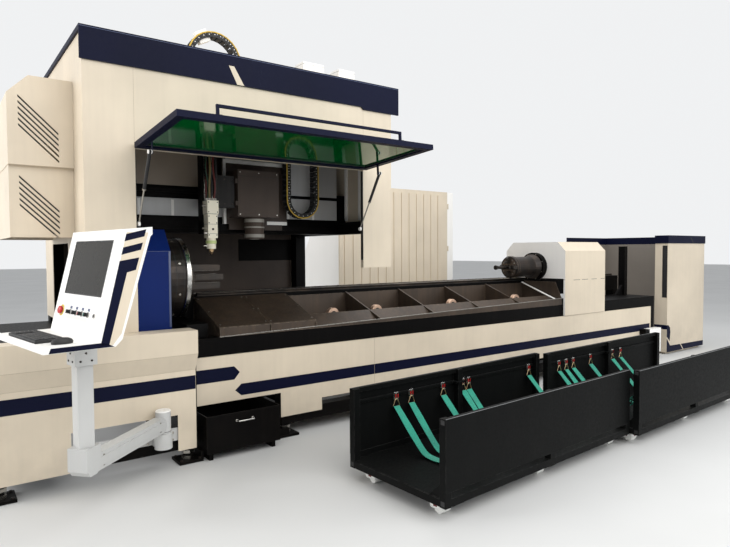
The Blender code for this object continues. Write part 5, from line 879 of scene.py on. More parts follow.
def screw_form(name: str, radius: float, height: float) -> Shape:
    """A socket-head screw: a cap with a hexagonal recess, its top along +Z.

    Args:
        name: the form's name.
        radius: cap radius.
        height: cap height.

    Returns:
        The form.
    """
    shape = Shape(name)
    steps = 12
    levels = ((radius, 0.0), (radius, height * 0.85), (radius * 0.88, height), (radius * 0.52, height),
              (radius * 0.48, height * 0.45))
    rings = [[shape.bm.verts.new((r * math.cos(2 * math.pi * k / steps), r * math.sin(2 * math.pi * k / steps), z))
              for k in range(steps)] for r, z in levels]
    for first, second in zip(rings, rings[1:]):
        for k in range(steps):
            shape.bm.faces.new((first[k], first[(k + 1) % steps], second[(k + 1) % steps], second[k]))
    shape.bm.faces.new(list(reversed(rings[0])))
    shape.bm.faces.new(rings[-1])
    return shape


def screws(name: str, size: Pair, places: Iterable[Spot], finish: Finish, body: str = "machine") -> None:
    """Set one screw at each place, its size given as cap radius and cap height."""
    Repeat.make(name, screw_form(f"{name}_form", *size), places, finish, body)


def row(start: Vector, end: Vector, count: int, facing: Triple, along: Triple = (1, 0, 0)) -> list[Spot]:
    """Evenly spaced places for a repeat, from one point to another."""
    gaps = max(count - 1, 1)
    return [(start.lerp(end, k / gaps), Vector(facing), Vector(along)) for k in range(count)]


@dataclass
class NodeDress:
    """Puts finishes on the solids that keep their own shape."""

    table: tuple[tuple[Finish, str], ...] = (
        (Shop.black, "base_frame portal_frame gantry_beam lift_slide scrap_drawer"),
        (Shop.cream, "skirt_left skirt_right portal_housing louvre_box end_guard rear_cabinet_door"),
        # tail_carriage is white as a painted highlight for its brightly lit left end; its paint is the cream of its
        # front sheet.
        (Shop.white, "rear_cabinet console_case tail_carriage"),
        (Shop.navy, "portal_fascia end_fascia window_frame"),
        (Shop.arm_grey, "console_column console_bracket console_arm"),
        (Shop.tray, "bed_tray"),
        (Shop.blackened, "main_chuck_rotor tail_rotor"),
        (Shop.chuck_blue, "main_chuck_housing"),
        (Shop.green, "window_glass"),
        (Shop.head_cream, "cutting_head"),
        (Shop.copper, "nozzle"),
        (Shop.charcoal, "bin_left bin_right sling_set_left sling_set_right"),
        (Shop.interior, "head_carriage"),
        (Shop.slide_dark, "cross_slide"),
        (Shop.display, "screen"),
        (Shop.stop_red, "stop_button"),
        (Shop.silver, "switch_strip"),
        (Shop.rubber, "keyboard strut_tube_left strut_tube_right hose_bundle head_chain roof_chain"),
        (Shop.bright, "strut_rod_left strut_rod_right"),
    )

    def dress(self, nodes: dict[str, bpy.types.Object]) -> None:
        """Give every solid its finish.

        Args:
            nodes: the machine's solids by name.
        """
        chosen = {name: finish for finish, names in self.table for name in names.split()}
        for number in range(1, 5):
            chosen[f"roller_{number}"] = Shop.bronze
            chosen[f"roller_lift_{number}"] = Shop.blackened
            chosen[f"main_jaw_{number}"] = Shop.jaw_steel
            chosen[f"tail_jaw_{number}"] = Shop.jaw_steel
        for name, node in nodes.items():
            finish = chosen[name]
            node.data.materials.clear()
            node.data.materials.append(Shop.of(finish))


@dataclass
class Bed:
    """Rails, rack, levelling nuts, skirt stripes and the tray's edges."""

    leg_places: tuple[float, ...] = (2.175, 4.147, 6.118, 8.09)
    leg_rows: tuple[float, ...] = (0.08, 0.64, 1.14)
    plinth_places: tuple[float, ...] = (0.10, 1.298)
    plinth_rows: tuple[float, ...] = (-0.03, 0.64, 1.634)
    rail_span: Pair = (1.64, 8.09)

    def build(self) -> None:
        """Make every fitting of the bed."""
        self.rails()
        self.feet()
        self.apron()
        self.stripes()
        self.tray()

    def rails(self) -> None:
        """Ground rails with their bolts, and the rack between them."""
        low, high = self.rail_span
        shape = Shape("ground_rails")
        for y in (0.64, 0.84):
            shape.plate([(y - 0.0008, 1.1655), (y + 0.0348, 1.1655), (y + 0.0348, 1.176), (y + 0.0305, 1.180),
                         (y + 0.0348, 1.184), (y + 0.0348, 1.1892), (y + 0.032, 1.192), (y + 0.002, 1.192),
                         (y - 0.0008, 1.1892), (y - 0.0008, 1.184), (y + 0.0035, 1.180), (y - 0.0008, 1.176)],
                        Along.X, low, high)
        shape.done(Shop.rail_worn)
        places = []
        for y in (0.657, 0.857):
            places += row(at(low + 0.06, y, 1.1919), at(high - 0.06, y, 1.1919), 46, (0, 0, 1))
        screws("rail_bolts", (0.0075, 0.0022), places, Shop.blackened)
        base = Shape("feed_rack").box(at(low, 0.735, 1.1652), at(high, 0.775, 1.183), 0.001)
        base.done(Shop.blackened)
        tooth = Shape("rack_tooth")
        tooth.offset = Vector((0, 0, 0))
        tooth.plate([(-0.0052, 0), (0.0052, 0), (0.0022, 0.007), (-0.0022, 0.007)], Along.Y, -0.019, 0.019)
        Repeat.make("rack_teeth", tooth, row(at(low + 0.008, 0.755, 1.1829), at(high - 0.008, 0.755, 1.1829),
                                             500, (0, 0, 1)), Shop.bright, smooth=0)

    def feet(self) -> None:
        """Locknuts on the stems and anchor bolts on the floor plates."""
        spots = [(x, y) for x in self.leg_places for y in self.leg_rows]
        spots += [(x, y) for x in self.plinth_places for y in self.plinth_rows]
        nut = Shape("level_nut").rod((0, 0, 0), (0, 0, 0.022), 0.046, steps=6)
        places = [(at(x, y, z), UP, EAST) for x, y in spots for z in (0.0195, 0.062)]
        Repeat.make("levelling_nuts", nut, places, Shop.bright, smooth=20)
        corners = [(at(x + a, y + b, 0.0198), UP, EAST)
                   for x, y in spots for a in (-0.068, 0.068) for b in (-0.068, 0.068)]
        screws("anchor_bolts", (0.011, 0.009), corners, Shop.blackened)

    def apron(self) -> None:
        """The dark box that closes the bed under the main chuck."""
        case = Shape("chuck_apron").box(at(1.363, 0.129, 0.764), at(1.531, 1.195, 0.989), 0.004)
        case.done(Shop.black)

    def stripes(self) -> None:
        """Navy bands on the skirts and the sheets' joint lines."""
        shape = Shape("skirt_bands")
        shape.plate([(0.002, 0.548), (1.333, 0.548), (1.333, 0.648), (0.002, 0.648)], Along.Y, -0.1208, -0.1199)
        shape.plate([(1.361, 0.546), (1.69, 0.546), (1.737, 0.60), (1.69, 0.651), (1.361, 0.651)], Along.Y,
                    -LIFT, 0.0001)
        for start, end in ((1.748, 3.0745), (3.0775, 8.0)):
            tip = [(1.696, 0.459)] if start < 2 else []
            shape.plate([(start, 0.413), (end, 0.413), (end, 0.505), (start, 0.505)] + tip, Along.Y, -LIFT, 0.0001)
        shape.done(Shop.navy)
        seam = Shape("skirt_joints")
        seam.plate([(3.0748, 0.281), (3.0772, 0.281), (3.0772, 0.744), (3.0748, 0.744)], Along.Y, -0.0004, 0.0001)
        for z in (0.6895, 0.8145):
            y = -0.1203 if z < 0.7 else -0.1803
            seam.plate([(0.001, z - 0.0008), (1.334, z - 0.0008), (1.334, z + 0.0008), (0.001, z + 0.0008)],
                       Along.Y, y, y + 0.0006)
        seam.done(Shop.shade_cream)

    def tray(self) -> None:
        """Worn lip, loose plates with their screws, roller bearings and fork bolts."""
        lip = Shape("tray_lip_edge")
        lip.plate([(1.585, 0.8845), (5.951, 0.9605), (5.951, 0.9672), (1.585, 0.8912)], Along.Y, 0.0192, 0.0326)
        lip.done(Shop.bright, bevel=0.001)
        plates = Shape("tray_plates")
        for start, end in ((1.588, 2.0262), (2.0288, 2.4665)):
            plates.plate([(0.034, 0.9574), (0.577, 1.1553), (0.5755, 1.1597), (0.0325, 0.9618)], Along.X, start, end)
            plates.plate([(0.0325, 0.890), (0.0375, 0.890), (0.0375, 0.9587), (0.0325, 0.9567)], Along.X, start, end)
        plates.done(Shop.tray, bevel=0.0012)
        edge = Shape("cheek_edge")
        edge.plate([(0.055, 0.9425), (0.575, 1.1375), (0.575, 1.1472), (0.055, 0.9522)], Along.X, 5.8868, 5.9172)
        edge.done(Shop.white, bevel=0.001)
        slope = Vector((0, -0.3426, 0.9395))
        heads = []
        for x in (1.61, 2.005, 2.05, 2.445):
            for share in (0.07, 0.5, 0.93):
                spot = at(x, 0.033 + 0.543 * share, 0.9617 + 0.1979 * share)
                heads.append((spot, slope, EAST))
        screws("tray_screws", (0.008, 0.003), heads, Shop.bright)
        for number, x in enumerate((2.78, 3.29, 4.32, 5.37), start=1):
            race = Shape(f"roller_bearing_{number}")
            for y in (0.2288, 0.2768):
                race.ring(at(x, y, 0.967), Vector((0, 1, 0)), ((0.0125, 0), (0.031, 0), (0.031, 0.0044),
                                                             (0.0125, 0.0044)), 32)
            race.done(Shop.rubber, f"roller_{number}", bevel=0.0006)
            ends = Shape(f"fork_bolts_{number}")
            for y, step in ((0.2155, -0.008), (0.2945, 0.008)):
                ends.rod(at(x, y, 0.967), at(x, y + step, 0.967), 0.013, steps=6)
            ends.done(Shop.bright, f"roller_lift_{number}", smooth=20)


@dataclass
class Portal:
    """The portal's lining, shade, seals, ribs, fascia slit, gantry trims and louvre lips."""

    seal_places: Pair = (0.9669, 2.9495)
    seam_places: Pair = (0.9665, 2.9585)
    rib_places: tuple[float, ...] = (0.26, 0.46, 0.70, 0.92, 1.14, 1.36)
    cover_start: float = 0.7616
    cover_step: float = 0.28
    louvre_count: int = 6
    louvre_step: float = 0.0385

    def build(self) -> None:
        """Make every fitting of the portal."""
        lining = Shape("portal_lining").boxes((((0.764, 1.689, 1.0), (3.150, 1.6955, 3.02)),
                                               ((0.764, 0.13, 3.015), (3.150, 1.57, 3.0255))))
        lining.done(Shop.interior)
        shade = Shape("rear_shade")
        shade.plate([(2.50, 1.45), (3.15, 1.45), (3.15, 1.685), (2.50, 1.685)], Along.Y, 1.6855, 1.6893)
        shade.done(Shop.black)
        seals = Shape("opening_seals")
        for x in self.seal_places:
            seals.box(at(x, 0.002, 1.47), at(x + 0.0086, 0.032, 2.27), 0.002)
        seals.done(Shop.rubber)
        ribs = Shape("wall_ribs")
        for y in self.rib_places:
            ribs.box(at(3.256, y, 1.86), at(3.2755, y + 0.04, 2.88), 0.003)
        ribs.done(Shop.white)
        self.gantry()
        self.louvres()
        seams = Shape("portal_seams")
        for x in self.seam_places:
            seams.plate([(x - 0.0008, 2.285), (x + 0.0008, 2.285), (x + 0.0008, 2.838), (x - 0.0008, 2.838)],
                        Along.Y, -0.0005, 0.0002)
        seams.done(Shop.shade_cream)
        # Painted highlight: a thin lighter line where the fascia's lower edge folds over and catches the light.
        edge = Shape("fascia_fold")
        edge.box(at(0.62, -0.0166, 3.052), at(3.36, -0.0148, 3.0552), 0.0004)
        edge.done(Shop.slate)
        filler = Shape("fascia_filler")
        filler.plate([(1.9452, 2.8622), (1.9948, 2.8622), (1.9198, 3.0428), (1.8702, 3.0428)],
                     Along.Y, -0.01498, -0.0077)
        filler.done(Shop.navy)
        slit = Shape("fascia_slit")
        slit.plate([(1.740, 2.8415), (1.799, 2.8415), (1.717, 2.977), (1.6735, 2.977)], Along.Y, -0.0156, -0.0150)
        slit.done(Shop.cream)

    def gantry(self) -> None:
        """Black beam face, pale cover sheets and their white frames."""
        face = Shape("gantry_face").boxes((((0.77, 0.7482, 2.0105), (1.948, 0.7505, 2.1150)),
                                           ((0.77, 0.7225, 1.7235), (3.15, 0.7285, 1.8580)),
                                           ((0.77, 0.7372, 1.724), (3.15, 0.754, 1.748))), 0.0006)
        face.done(Shop.black)
        frames = Shape("cover_frames")
        for index in range(9):
            x = self.cover_start + self.cover_step * (index + 0.5)
            top = 2.388 if x > 1.95 else 1.998
            if x < 3.13:
                frames.box(at(x - 0.006, 0.7224, 1.862), at(x + 0.018, 0.7242, top), 0.0006)
        frames.box(at(0.77, 0.7345, 1.998), at(1.945, 0.7385, 2.0095), 0.001)
        frames.done(Shop.white)
        sheets = Shape("cover_sheets")
        for left, right, top in ((self.cover_start, 1.9475, 2.0092), (1.9505, 3.148, 2.3985)):
            sheets.box(at(left, 0.7238, 1.8622), at(right, 0.7290, top), 0.0008)
        sheets.done(Shop.cover_pale)

    def louvres(self) -> None:
        """Dark mesh behind the slots, their pressed lips, and painted shade along the louvre box's lower edges."""
        mesh = Shape("louvre_mesh").boxes((((0.262, 0.3262, 2.30), (0.60, 0.3285, 2.66)),
                                           ((0.262, 0.3562, 1.68), (0.60, 0.3585, 2.13))))
        mesh.done(Shop.rubber)
        lip = Shape("louvre_lip")
        lip.offset = Vector((0, 0, 0))
        lip.plate([(0.0, 0.0), (0.3395, 0.0), (0.3395, 0.0016), (0.0, 0.0016)], Along.Y, 0.0, 0.0026)
        run = Vector((0.245, 0, -0.235)).normalized()
        places = []
        for top, face, drop in ((2.76, 0.32, 0.14), (2.15, 0.35, 0.07)):
            for number in range(self.louvre_count):
                spot = at(0.295, face - 0.0012, top - drop - self.louvre_step * number)
                places.append((spot, run.cross(SOUTH) * -1, run))
        Repeat.make("louvre_lips", lip, places, Shop.shade_cream, smooth=0)
        # Painted shade: thin darker strips along the lower edges of the louvre box, where its overhanging underside
        # is in shadow.
        ledge = Shape("louvre_seams").boxes((((0.232, 0.3193, 2.146), (0.634, 0.3203, 2.1495)),
                                             ((0.2345, 0.3493, 1.655), (0.634, 0.3503, 1.6575))))
        ledge.done(Shop.shade_cream)


@dataclass
class Link:
    """Sizes of one energy chain link."""

    pitch: float
    thick: float
    width: float

    def form(self, name: str) -> Shape:
        """Two side plates with a rivet each, and two bars across.

        Args:
            name: the form's name.

        Returns:
            The form, travel along +X and outward along +Z.
        """
        shape = Shape(name)
        half, wide = self.pitch * 0.53, self.width / 2
        for side in (-1, 1):
            y0, y1 = sorted((side * wide, side * (wide - 0.008)))
            shape.box((-half, y0, -self.thick / 2), (half * 0.8, y1, self.thick / 2), 0.004)
            shape.rod((-half * 0.5, side * (wide - 0.001), 0), (-half * 0.5, side * (wide + 0.0015), 0),
                      self.thick * 0.13, steps=10)
        for z in (-1, 1):
            middle = z * (self.thick / 2 - 0.004)
            shape.box((-half * 0.5, -wide + 0.004, middle - 0.003),
                      (half * 0.5, wide - 0.004, middle + 0.003), 0.001)
        return shape


@dataclass
class EnergyChain:
    """A U-shaped energy chain in the plane of X and Z."""

    name: str
    node: str
    body: str
    centre: Pair
    radius: float
    thick: float
    legs: Pair
    span: Pair
    opens_up: bool
    clamp_on: tuple[int, ...] = (0,)
    grip: float = 0.03

    def route(self) -> list[Spot]:
        """Places along the chain's middle line.

        Returns:
            (place, outward, travel) for each link.
        """
        near, bend = self.legs[0], math.pi * self.radius
        total = near + bend + self.legs[1]
        count = round(total / 0.05)
        sign = -1 if self.opens_up else 1
        middle = sum(self.span) / 2
        places = []
        for index in range(count):
            s = total * (index + 0.5) / count
            if s < near:
                a, b, out, run = -self.radius, -(near - s), (-1, 0), (0, 1)
            elif s < near + bend:
                angle = math.pi - (s - near) / self.radius
                out = (math.cos(angle), math.sin(angle))
                a, b = out[0] * self.radius, out[1] * self.radius
                run = (out[1], -out[0])
            else:
                a, b, out, run = self.radius, -(s - near - bend), (1, 0), (0, -1)
            spot = at(self.centre[0] + a, middle, self.centre[1] + sign * b)
            places.append((spot, Vector((out[0], 0, sign * out[1])), Vector((run[0], 0, sign * run[1]))))
        return places

    def build(self) -> None:
        """Make the links, the yellow outer strip and the end clamps."""
        width = self.span[1] - self.span[0]
        places = self.route()
        link = Link(0.05, self.thick, width)
        Repeat.make(self.name, link.form(self.name + "_link"), places, Shop.rubber, self.body, hide=(self.node,))
        line = [spot - Vector((0, width / 2 - 0.001, 0)) + out * (self.thick / 2 - 0.002)
                for spot, out, _ in places]
        Shape(self.name + "_strip").pipe(line, 0.006, 8).done(Shop.chain_line, self.body)
        dot = Shape(self.name + "_rivet").rod((0, 0, -0.001), (0, 0, 0.0015), self.thick * 0.085, steps=12)
        dots = [(spot - Vector((0, width / 2 + 0.001, 0)), SOUTH, run) for spot, _, run in places]
        Repeat.make(self.name + "_rivets", dot, dots, Shop.white, self.body)
        for number in self.clamp_on:
            spot, _, run = places[number]
            grip = Shape(f"{self.name}_clamp_{abs(number)}")
            turn = Matrix.Translation(spot) @ run.to_track_quat("Z", "Y").to_matrix().to_4x4()
            half = self.thick / 2 + 0.006
            grip.box((-half, -width / 2 - 0.006, -self.grip), (half, width / 2 + 0.002, self.grip), 0.004,
                     turn)
            grip.done(Shop.white, self.body)


@dataclass
class CuttingHead:
    """The head's hoses, seams, plugs, capacitor ring and cover screws."""

    x: float = 1.685
    body: str = "lift_slide"

    def build(self) -> None:
        """Make every fitting of the head."""
        self.hoses()
        seams = Shape("head_seams")
        seams.box(at(self.x - 0.0488, 0.3693, 1.8625), at(self.x + 0.0488, 0.4695, 1.8655), 0.0005)
        seams.box(at(self.x - 0.042, 0.3763, 1.6995), at(self.x + 0.042, 0.4695, 1.7015), 0.0005)
        seams.box(at(self.x - 0.042, 0.3763, 1.7785), at(self.x + 0.042, 0.4695, 1.7805), 0.0005)
        seams.done(Shop.rubber, self.body)
        window = Shape("head_window").rod(at(self.x, 0.3775, 1.738), at(self.x, 0.3735, 1.738), 0.009, steps=20)
        window.done(Shop.display, self.body)
        collar = Shape("sensor_ring")
        collar.ring(at(self.x, 0.42, 1.618), UP, ((0.030, 0), (0.0415, 0), (0.044, 0.004),
                                                                (0.044, 0.026), (0.030, 0.026)), 40)
        collar.done(Shop.sensor_green, self.body, bevel=0.0008)
        foot = Shape("head_foot")
        foot.rod(at(self.x, 0.42, 1.5758), at(self.x, 0.42, 1.592), 0.026, 0.036, 28)
        foot.done(Shop.head_cream, self.body)
        plugs = Shape("head_plugs")
        for x, y, z, way, size in ((self.x - 0.041, 0.40, 1.705, -1, 0.013), (self.x - 0.041, 0.44, 1.745, -1, 0.011),
                                   (self.x - 0.048, 0.41, 1.93, -1, 0.012), (self.x - 0.038, 0.42, 1.60, -1, 0.008)):
            plugs.rod(at(x + 0.002, y, z), at(x + way * 0.012, y, z), size, steps=6)
            plugs.rod(at(x + way * 0.011, y, z), at(x + way * 0.028, y, z), size * 0.72, steps=16)
        plugs.done(Shop.bright, self.body, smooth=20)
        front, side = (0, -1, 0), (1, 0, 0)
        places = []
        for z in (1.88, 1.96):
            places += row(at(self.x - 0.038, 0.3702, z), at(self.x + 0.038, 0.3702, z), 2, front, side)
        for z in (1.69, 1.79, 1.845):
            places += row(at(self.x - 0.033, 0.3774, z), at(self.x + 0.033, 0.3774, z), 2, front, side)
        screws("head_screws", (0.0045, 0.003), places, Shop.blackened, self.body)
        Shape("nozzle_nut").rod(at(self.x, 0.42, 1.5585), at(self.x, 0.42, 1.5705), 0.0215, steps=6).done(
            Shop.copper, self.body, smooth=20, bevel=0.0008)

    def hoses(self) -> None:
        """Coloured hoses from the head up to the clamp on the slide."""
        table = ((-0.036, 0.405, 0.0065, Shop.hose_green, 0.020), (-0.018, 0.395, 0.009, Shop.hose_yellow, -0.008),
                 (0.0, 0.412, 0.0095, Shop.rubber, 0.010), (0.018, 0.398, 0.007, Shop.hose_red, 0.016),
                 (0.034, 0.404, 0.009, Shop.rubber, -0.006), (0.006, 0.440, 0.012, Shop.rubber, 0.004),
                 (-0.028, 0.440, 0.008, Shop.hose_red, -0.006))
        for number, (shift, y, radius, finish, bow) in enumerate(table, start=1):
            points = []
            for step in range(41):
                t = step / 40
                swell = math.sin(math.pi * t)
                points.append(at(self.x + shift * (1 + 0.10 * swell) + bow * math.sin(2 * math.pi * t) * 0.5,
                                 y - 0.012 * swell, 1.979 + 0.374 * t))
            hose = Shape(f"head_hose_{number}").pipe(points, radius, 12)
            hose.done(finish, self.body, hide=("hose_bundle",) if number == 1 else ())
        ends = Shape("hose_fittings")
        for shift, y, radius, _, _ in table:
            ends.rod(at(self.x + shift, y, 1.9745), at(self.x + shift, y, 1.995), radius * 1.45, steps=6)
        ends.box(at(self.x - 0.05, 0.388, 2.346), at(self.x + 0.05, 0.4695, 2.360), 0.002)
        ends.done(Shop.bright, self.body, smooth=20)


@dataclass
class Carriage:
    """Screws, panel seams and the motor's fins on the head carriage and its slides."""

    def build(self) -> None:
        """Make every fitting of the carriage."""
        front, side = (0, -1, 0), (1, 0, 0)
        places = []
        for z in (1.875, 2.24):
            places += row(at(1.96, 0.4401, z), at(2.315, 0.4401, z), 3, front, side)
        screws("drive_box_screws", (0.006, 0.003), places, Shop.bright,
                    "head_carriage")
        seam = Shape("drive_box_seam")
        seam.box(at(1.9392, 0.4392, 2.205), at(2.3358, 0.69, 2.2075), 0.0004)
        seam.done(Shop.rubber, "head_carriage")
        frame = Shape("carriage_frame")
        for low, high in ((at(1.912, 0.6878, 1.80), at(1.938, 0.7215, 2.381)),
                          (at(1.938, 0.6878, 2.345), at(2.551, 0.7215, 2.381)),
                          (at(2.34, 0.6878, 1.80), at(2.552, 0.7215, 1.832))):
            frame.box(low, high, 0.002)
        frame.done(Shop.white, "head_carriage")
        motor = Shape("drive_motor_rings")
        for level, tall in ((1.676, 0.03), (1.762, 0.012), (1.812, 0.03)):
            motor.ring(at(2.15, 0.565, level), UP, ((0.082, 0), (0.0885, 0), (0.0885, tall),
                                                                  (0.082, tall)), 36)
        motor.rod(at(2.15, 0.565, 1.668), at(2.15, 0.565, 1.6605), 0.05, 0.04, 28)
        motor.done(Shop.motor_grey, "head_carriage", bevel=0.0008)
        rail = Shape("lift_rails")
        for x in (1.6475, 1.7095):
            rail.box(at(x, 0.4655, 1.76), at(x + 0.013, 0.4725, 2.36), 0.0008)
        rail.done(Shop.bright, "lift_slide")
        places = []
        for x in (1.654, 1.716):
            places += row(at(x, 0.4656, 1.78), at(x, 0.4656, 2.34), 12, front, side)
        screws("lift_rail_bolts", (0.0035, 0.0016), places, Shop.blackened,
                    "lift_slide")
        ends = Shape("lift_slide_caps")
        ends.box(at(1.629, 0.4695, 2.405), at(1.741, 0.5605, 2.4245), 0.003)
        ends.rod(at(1.685, 0.515, 2.42), at(1.685, 0.515, 2.47), 0.032, steps=28)
        ends.done(Shop.casting, "lift_slide")
        places = row(at(1.76, 0.4701, 1.96), at(1.9, 0.4701, 1.96), 3, front, side)
        places += row(at(1.76, 0.4701, 2.17), at(1.9, 0.4701, 2.17), 3, front, side)
        screws("cross_slide_bolts", (0.007, 0.005), places, Shop.blackened,
                    "cross_slide")


@dataclass
class Local:
    """A frame of its own in which pieces are made before they are set in place."""

    frame: Matrix
    body: str = "machine"

    def shape(self, name: str) -> Shape:
        """An empty shape in this frame."""
        return Shape(name, offset=Vector((0, 0, 0)))

    def done(self, shape: Shape, finish: Finish, smooth: float = 40.0, bevel: float = 0.0,
             hide: Sequence[str] = ()) -> bpy.types.Object:
        """Set the shape in place and make its piece."""
        shape.bm.transform(self.frame)
        return shape.done(finish, self.body, smooth, bevel, hide)

    def places(self, spots: Iterable[tuple[Triple, Triple, Triple]]) -> list[Spot]:
        """Places for a repeat, brought from this frame to the row's."""
        turn = self.frame.to_3x3()
        return [(self.frame @ Vector(a), turn @ Vector(b), turn @ Vector(c)) for a, b, c in spots]


@dataclass
class Window:
    """The flip-up window's gasket, screws, knuckles and handle caps, and the gas struts' ends."""

    angle: float = -93.9
    hinge: Triple = (0.0, -0.022, 2.295)
    lean: float = 31.6665
    reach: float = 0.5526

    def build(self) -> None:
        """Make the window's fittings in its closed place, then turn them up."""
        pin = Vector(self.hinge)
        opened = Matrix.Translation(pin + OFFSET) @ Matrix.Rotation(math.radians(self.angle), 4, "X")
        sash = Local(opened @ Matrix.Translation(-pin), "window")
        left, right, low, high = 1.0128, 2.9122, 1.4602, 2.2315
        gasket = sash.shape("window_gasket")
        for x in (left, right - 0.009):
            gasket.box((x, -0.031, low), (x + 0.009, -0.013, high), 0.002)
        for z in (low, high - 0.009):
            gasket.box((left, -0.0308, z), (right, -0.0132, z + 0.009), 0.002)
        sash.done(gasket, Shop.rubber)
        spots = []
        for z in (1.4325, 2.259):
            spots += [((0.99 + 0.2156 * k, y, z), (0, face, 0), (1, 0, 0)) for k in range(10)
                      for y, face in ((-0.0021, 1), (-0.0419, -1)) if z > 2 or k not in (1, 8)]
        spots += [((x, y, z), (0, face, 0), (1, 0, 0)) for x in (0.985, 2.94) for z in (1.63, 1.85, 2.16)
                  for y, face in ((-0.0021, 1), (-0.0419, -1))]
        screws("window_screws", (0.0055, 0.0022), sash.places(spots), Shop.blackened,
                    "window")
        joints = sash.shape("window_mitres")
        for x in (0.9575, 2.9121):
            for z in (1.4597, 2.2312):
                joints.box((x, -0.0423, z), (x + 0.0554, -0.0017, z + 0.0008))
        sash.done(joints, Shop.rubber)
        caps = sash.shape("window_handle_feet")
        for x in (1.219, 2.656):
            caps.box((x - 0.022, -0.047, 1.4125), (x + 0.022, -0.0415, 1.4525), 0.0015)
        sash.done(caps, Shop.black)
        knuckles = sash.shape("window_knuckles")
        for k in range(6):
            x = 1.06 + 0.345 * k
            knuckles.rod((x, -0.022, 2.295), (x + 0.075, -0.022, 2.295), 0.0105)
        sash.done(knuckles, Shop.black)
        for side, x in (("left", 0.992), ("right", 2.933)):
            self.strut(side, x)

    def strut(self, side: str, x: float) -> None:
        """White ball sockets and the gland of one gas strut.

        Args:
            side: left or right.
            x: its place along the window.
        """
        frame = Matrix.Translation(at(x, 0.02, 1.75)) @ Matrix.Rotation(math.radians(self.lean), 4, "X")
        rod, tube = Local(frame, f"strut_rod_{side}"), Local(frame, f"strut_tube_{side}")
        foot = rod.shape(f"strut_foot_{side}")
        foot.rod((-0.0085, 0, 0), (0.0085, 0, 0), 0.0152)
        foot.rod((0, 0, 0.010), (0, 0, 0.0205), 0.0085, 0.0076)
        rod.done(foot, Shop.white, bevel=0.001)
        gland = tube.shape(f"strut_gland_{side}")
        gland.ring(Vector((0, 0, self.reach - 0.2855)), UP,
                   ((0.0068, 0), (0.0128, 0), (0.0128, 0.011), (0.0068, 0.011)), 24)
        tube.done(gland, Shop.bright)
        head = tube.shape(f"strut_head_{side}")
        for near, far in ((-0.0138, -0.0076), (0.0076, 0.0138)):
            head.rod((near, 0, self.reach), (far, 0, self.reach), 0.0146)
        tube.done(head, Shop.white, bevel=0.001)


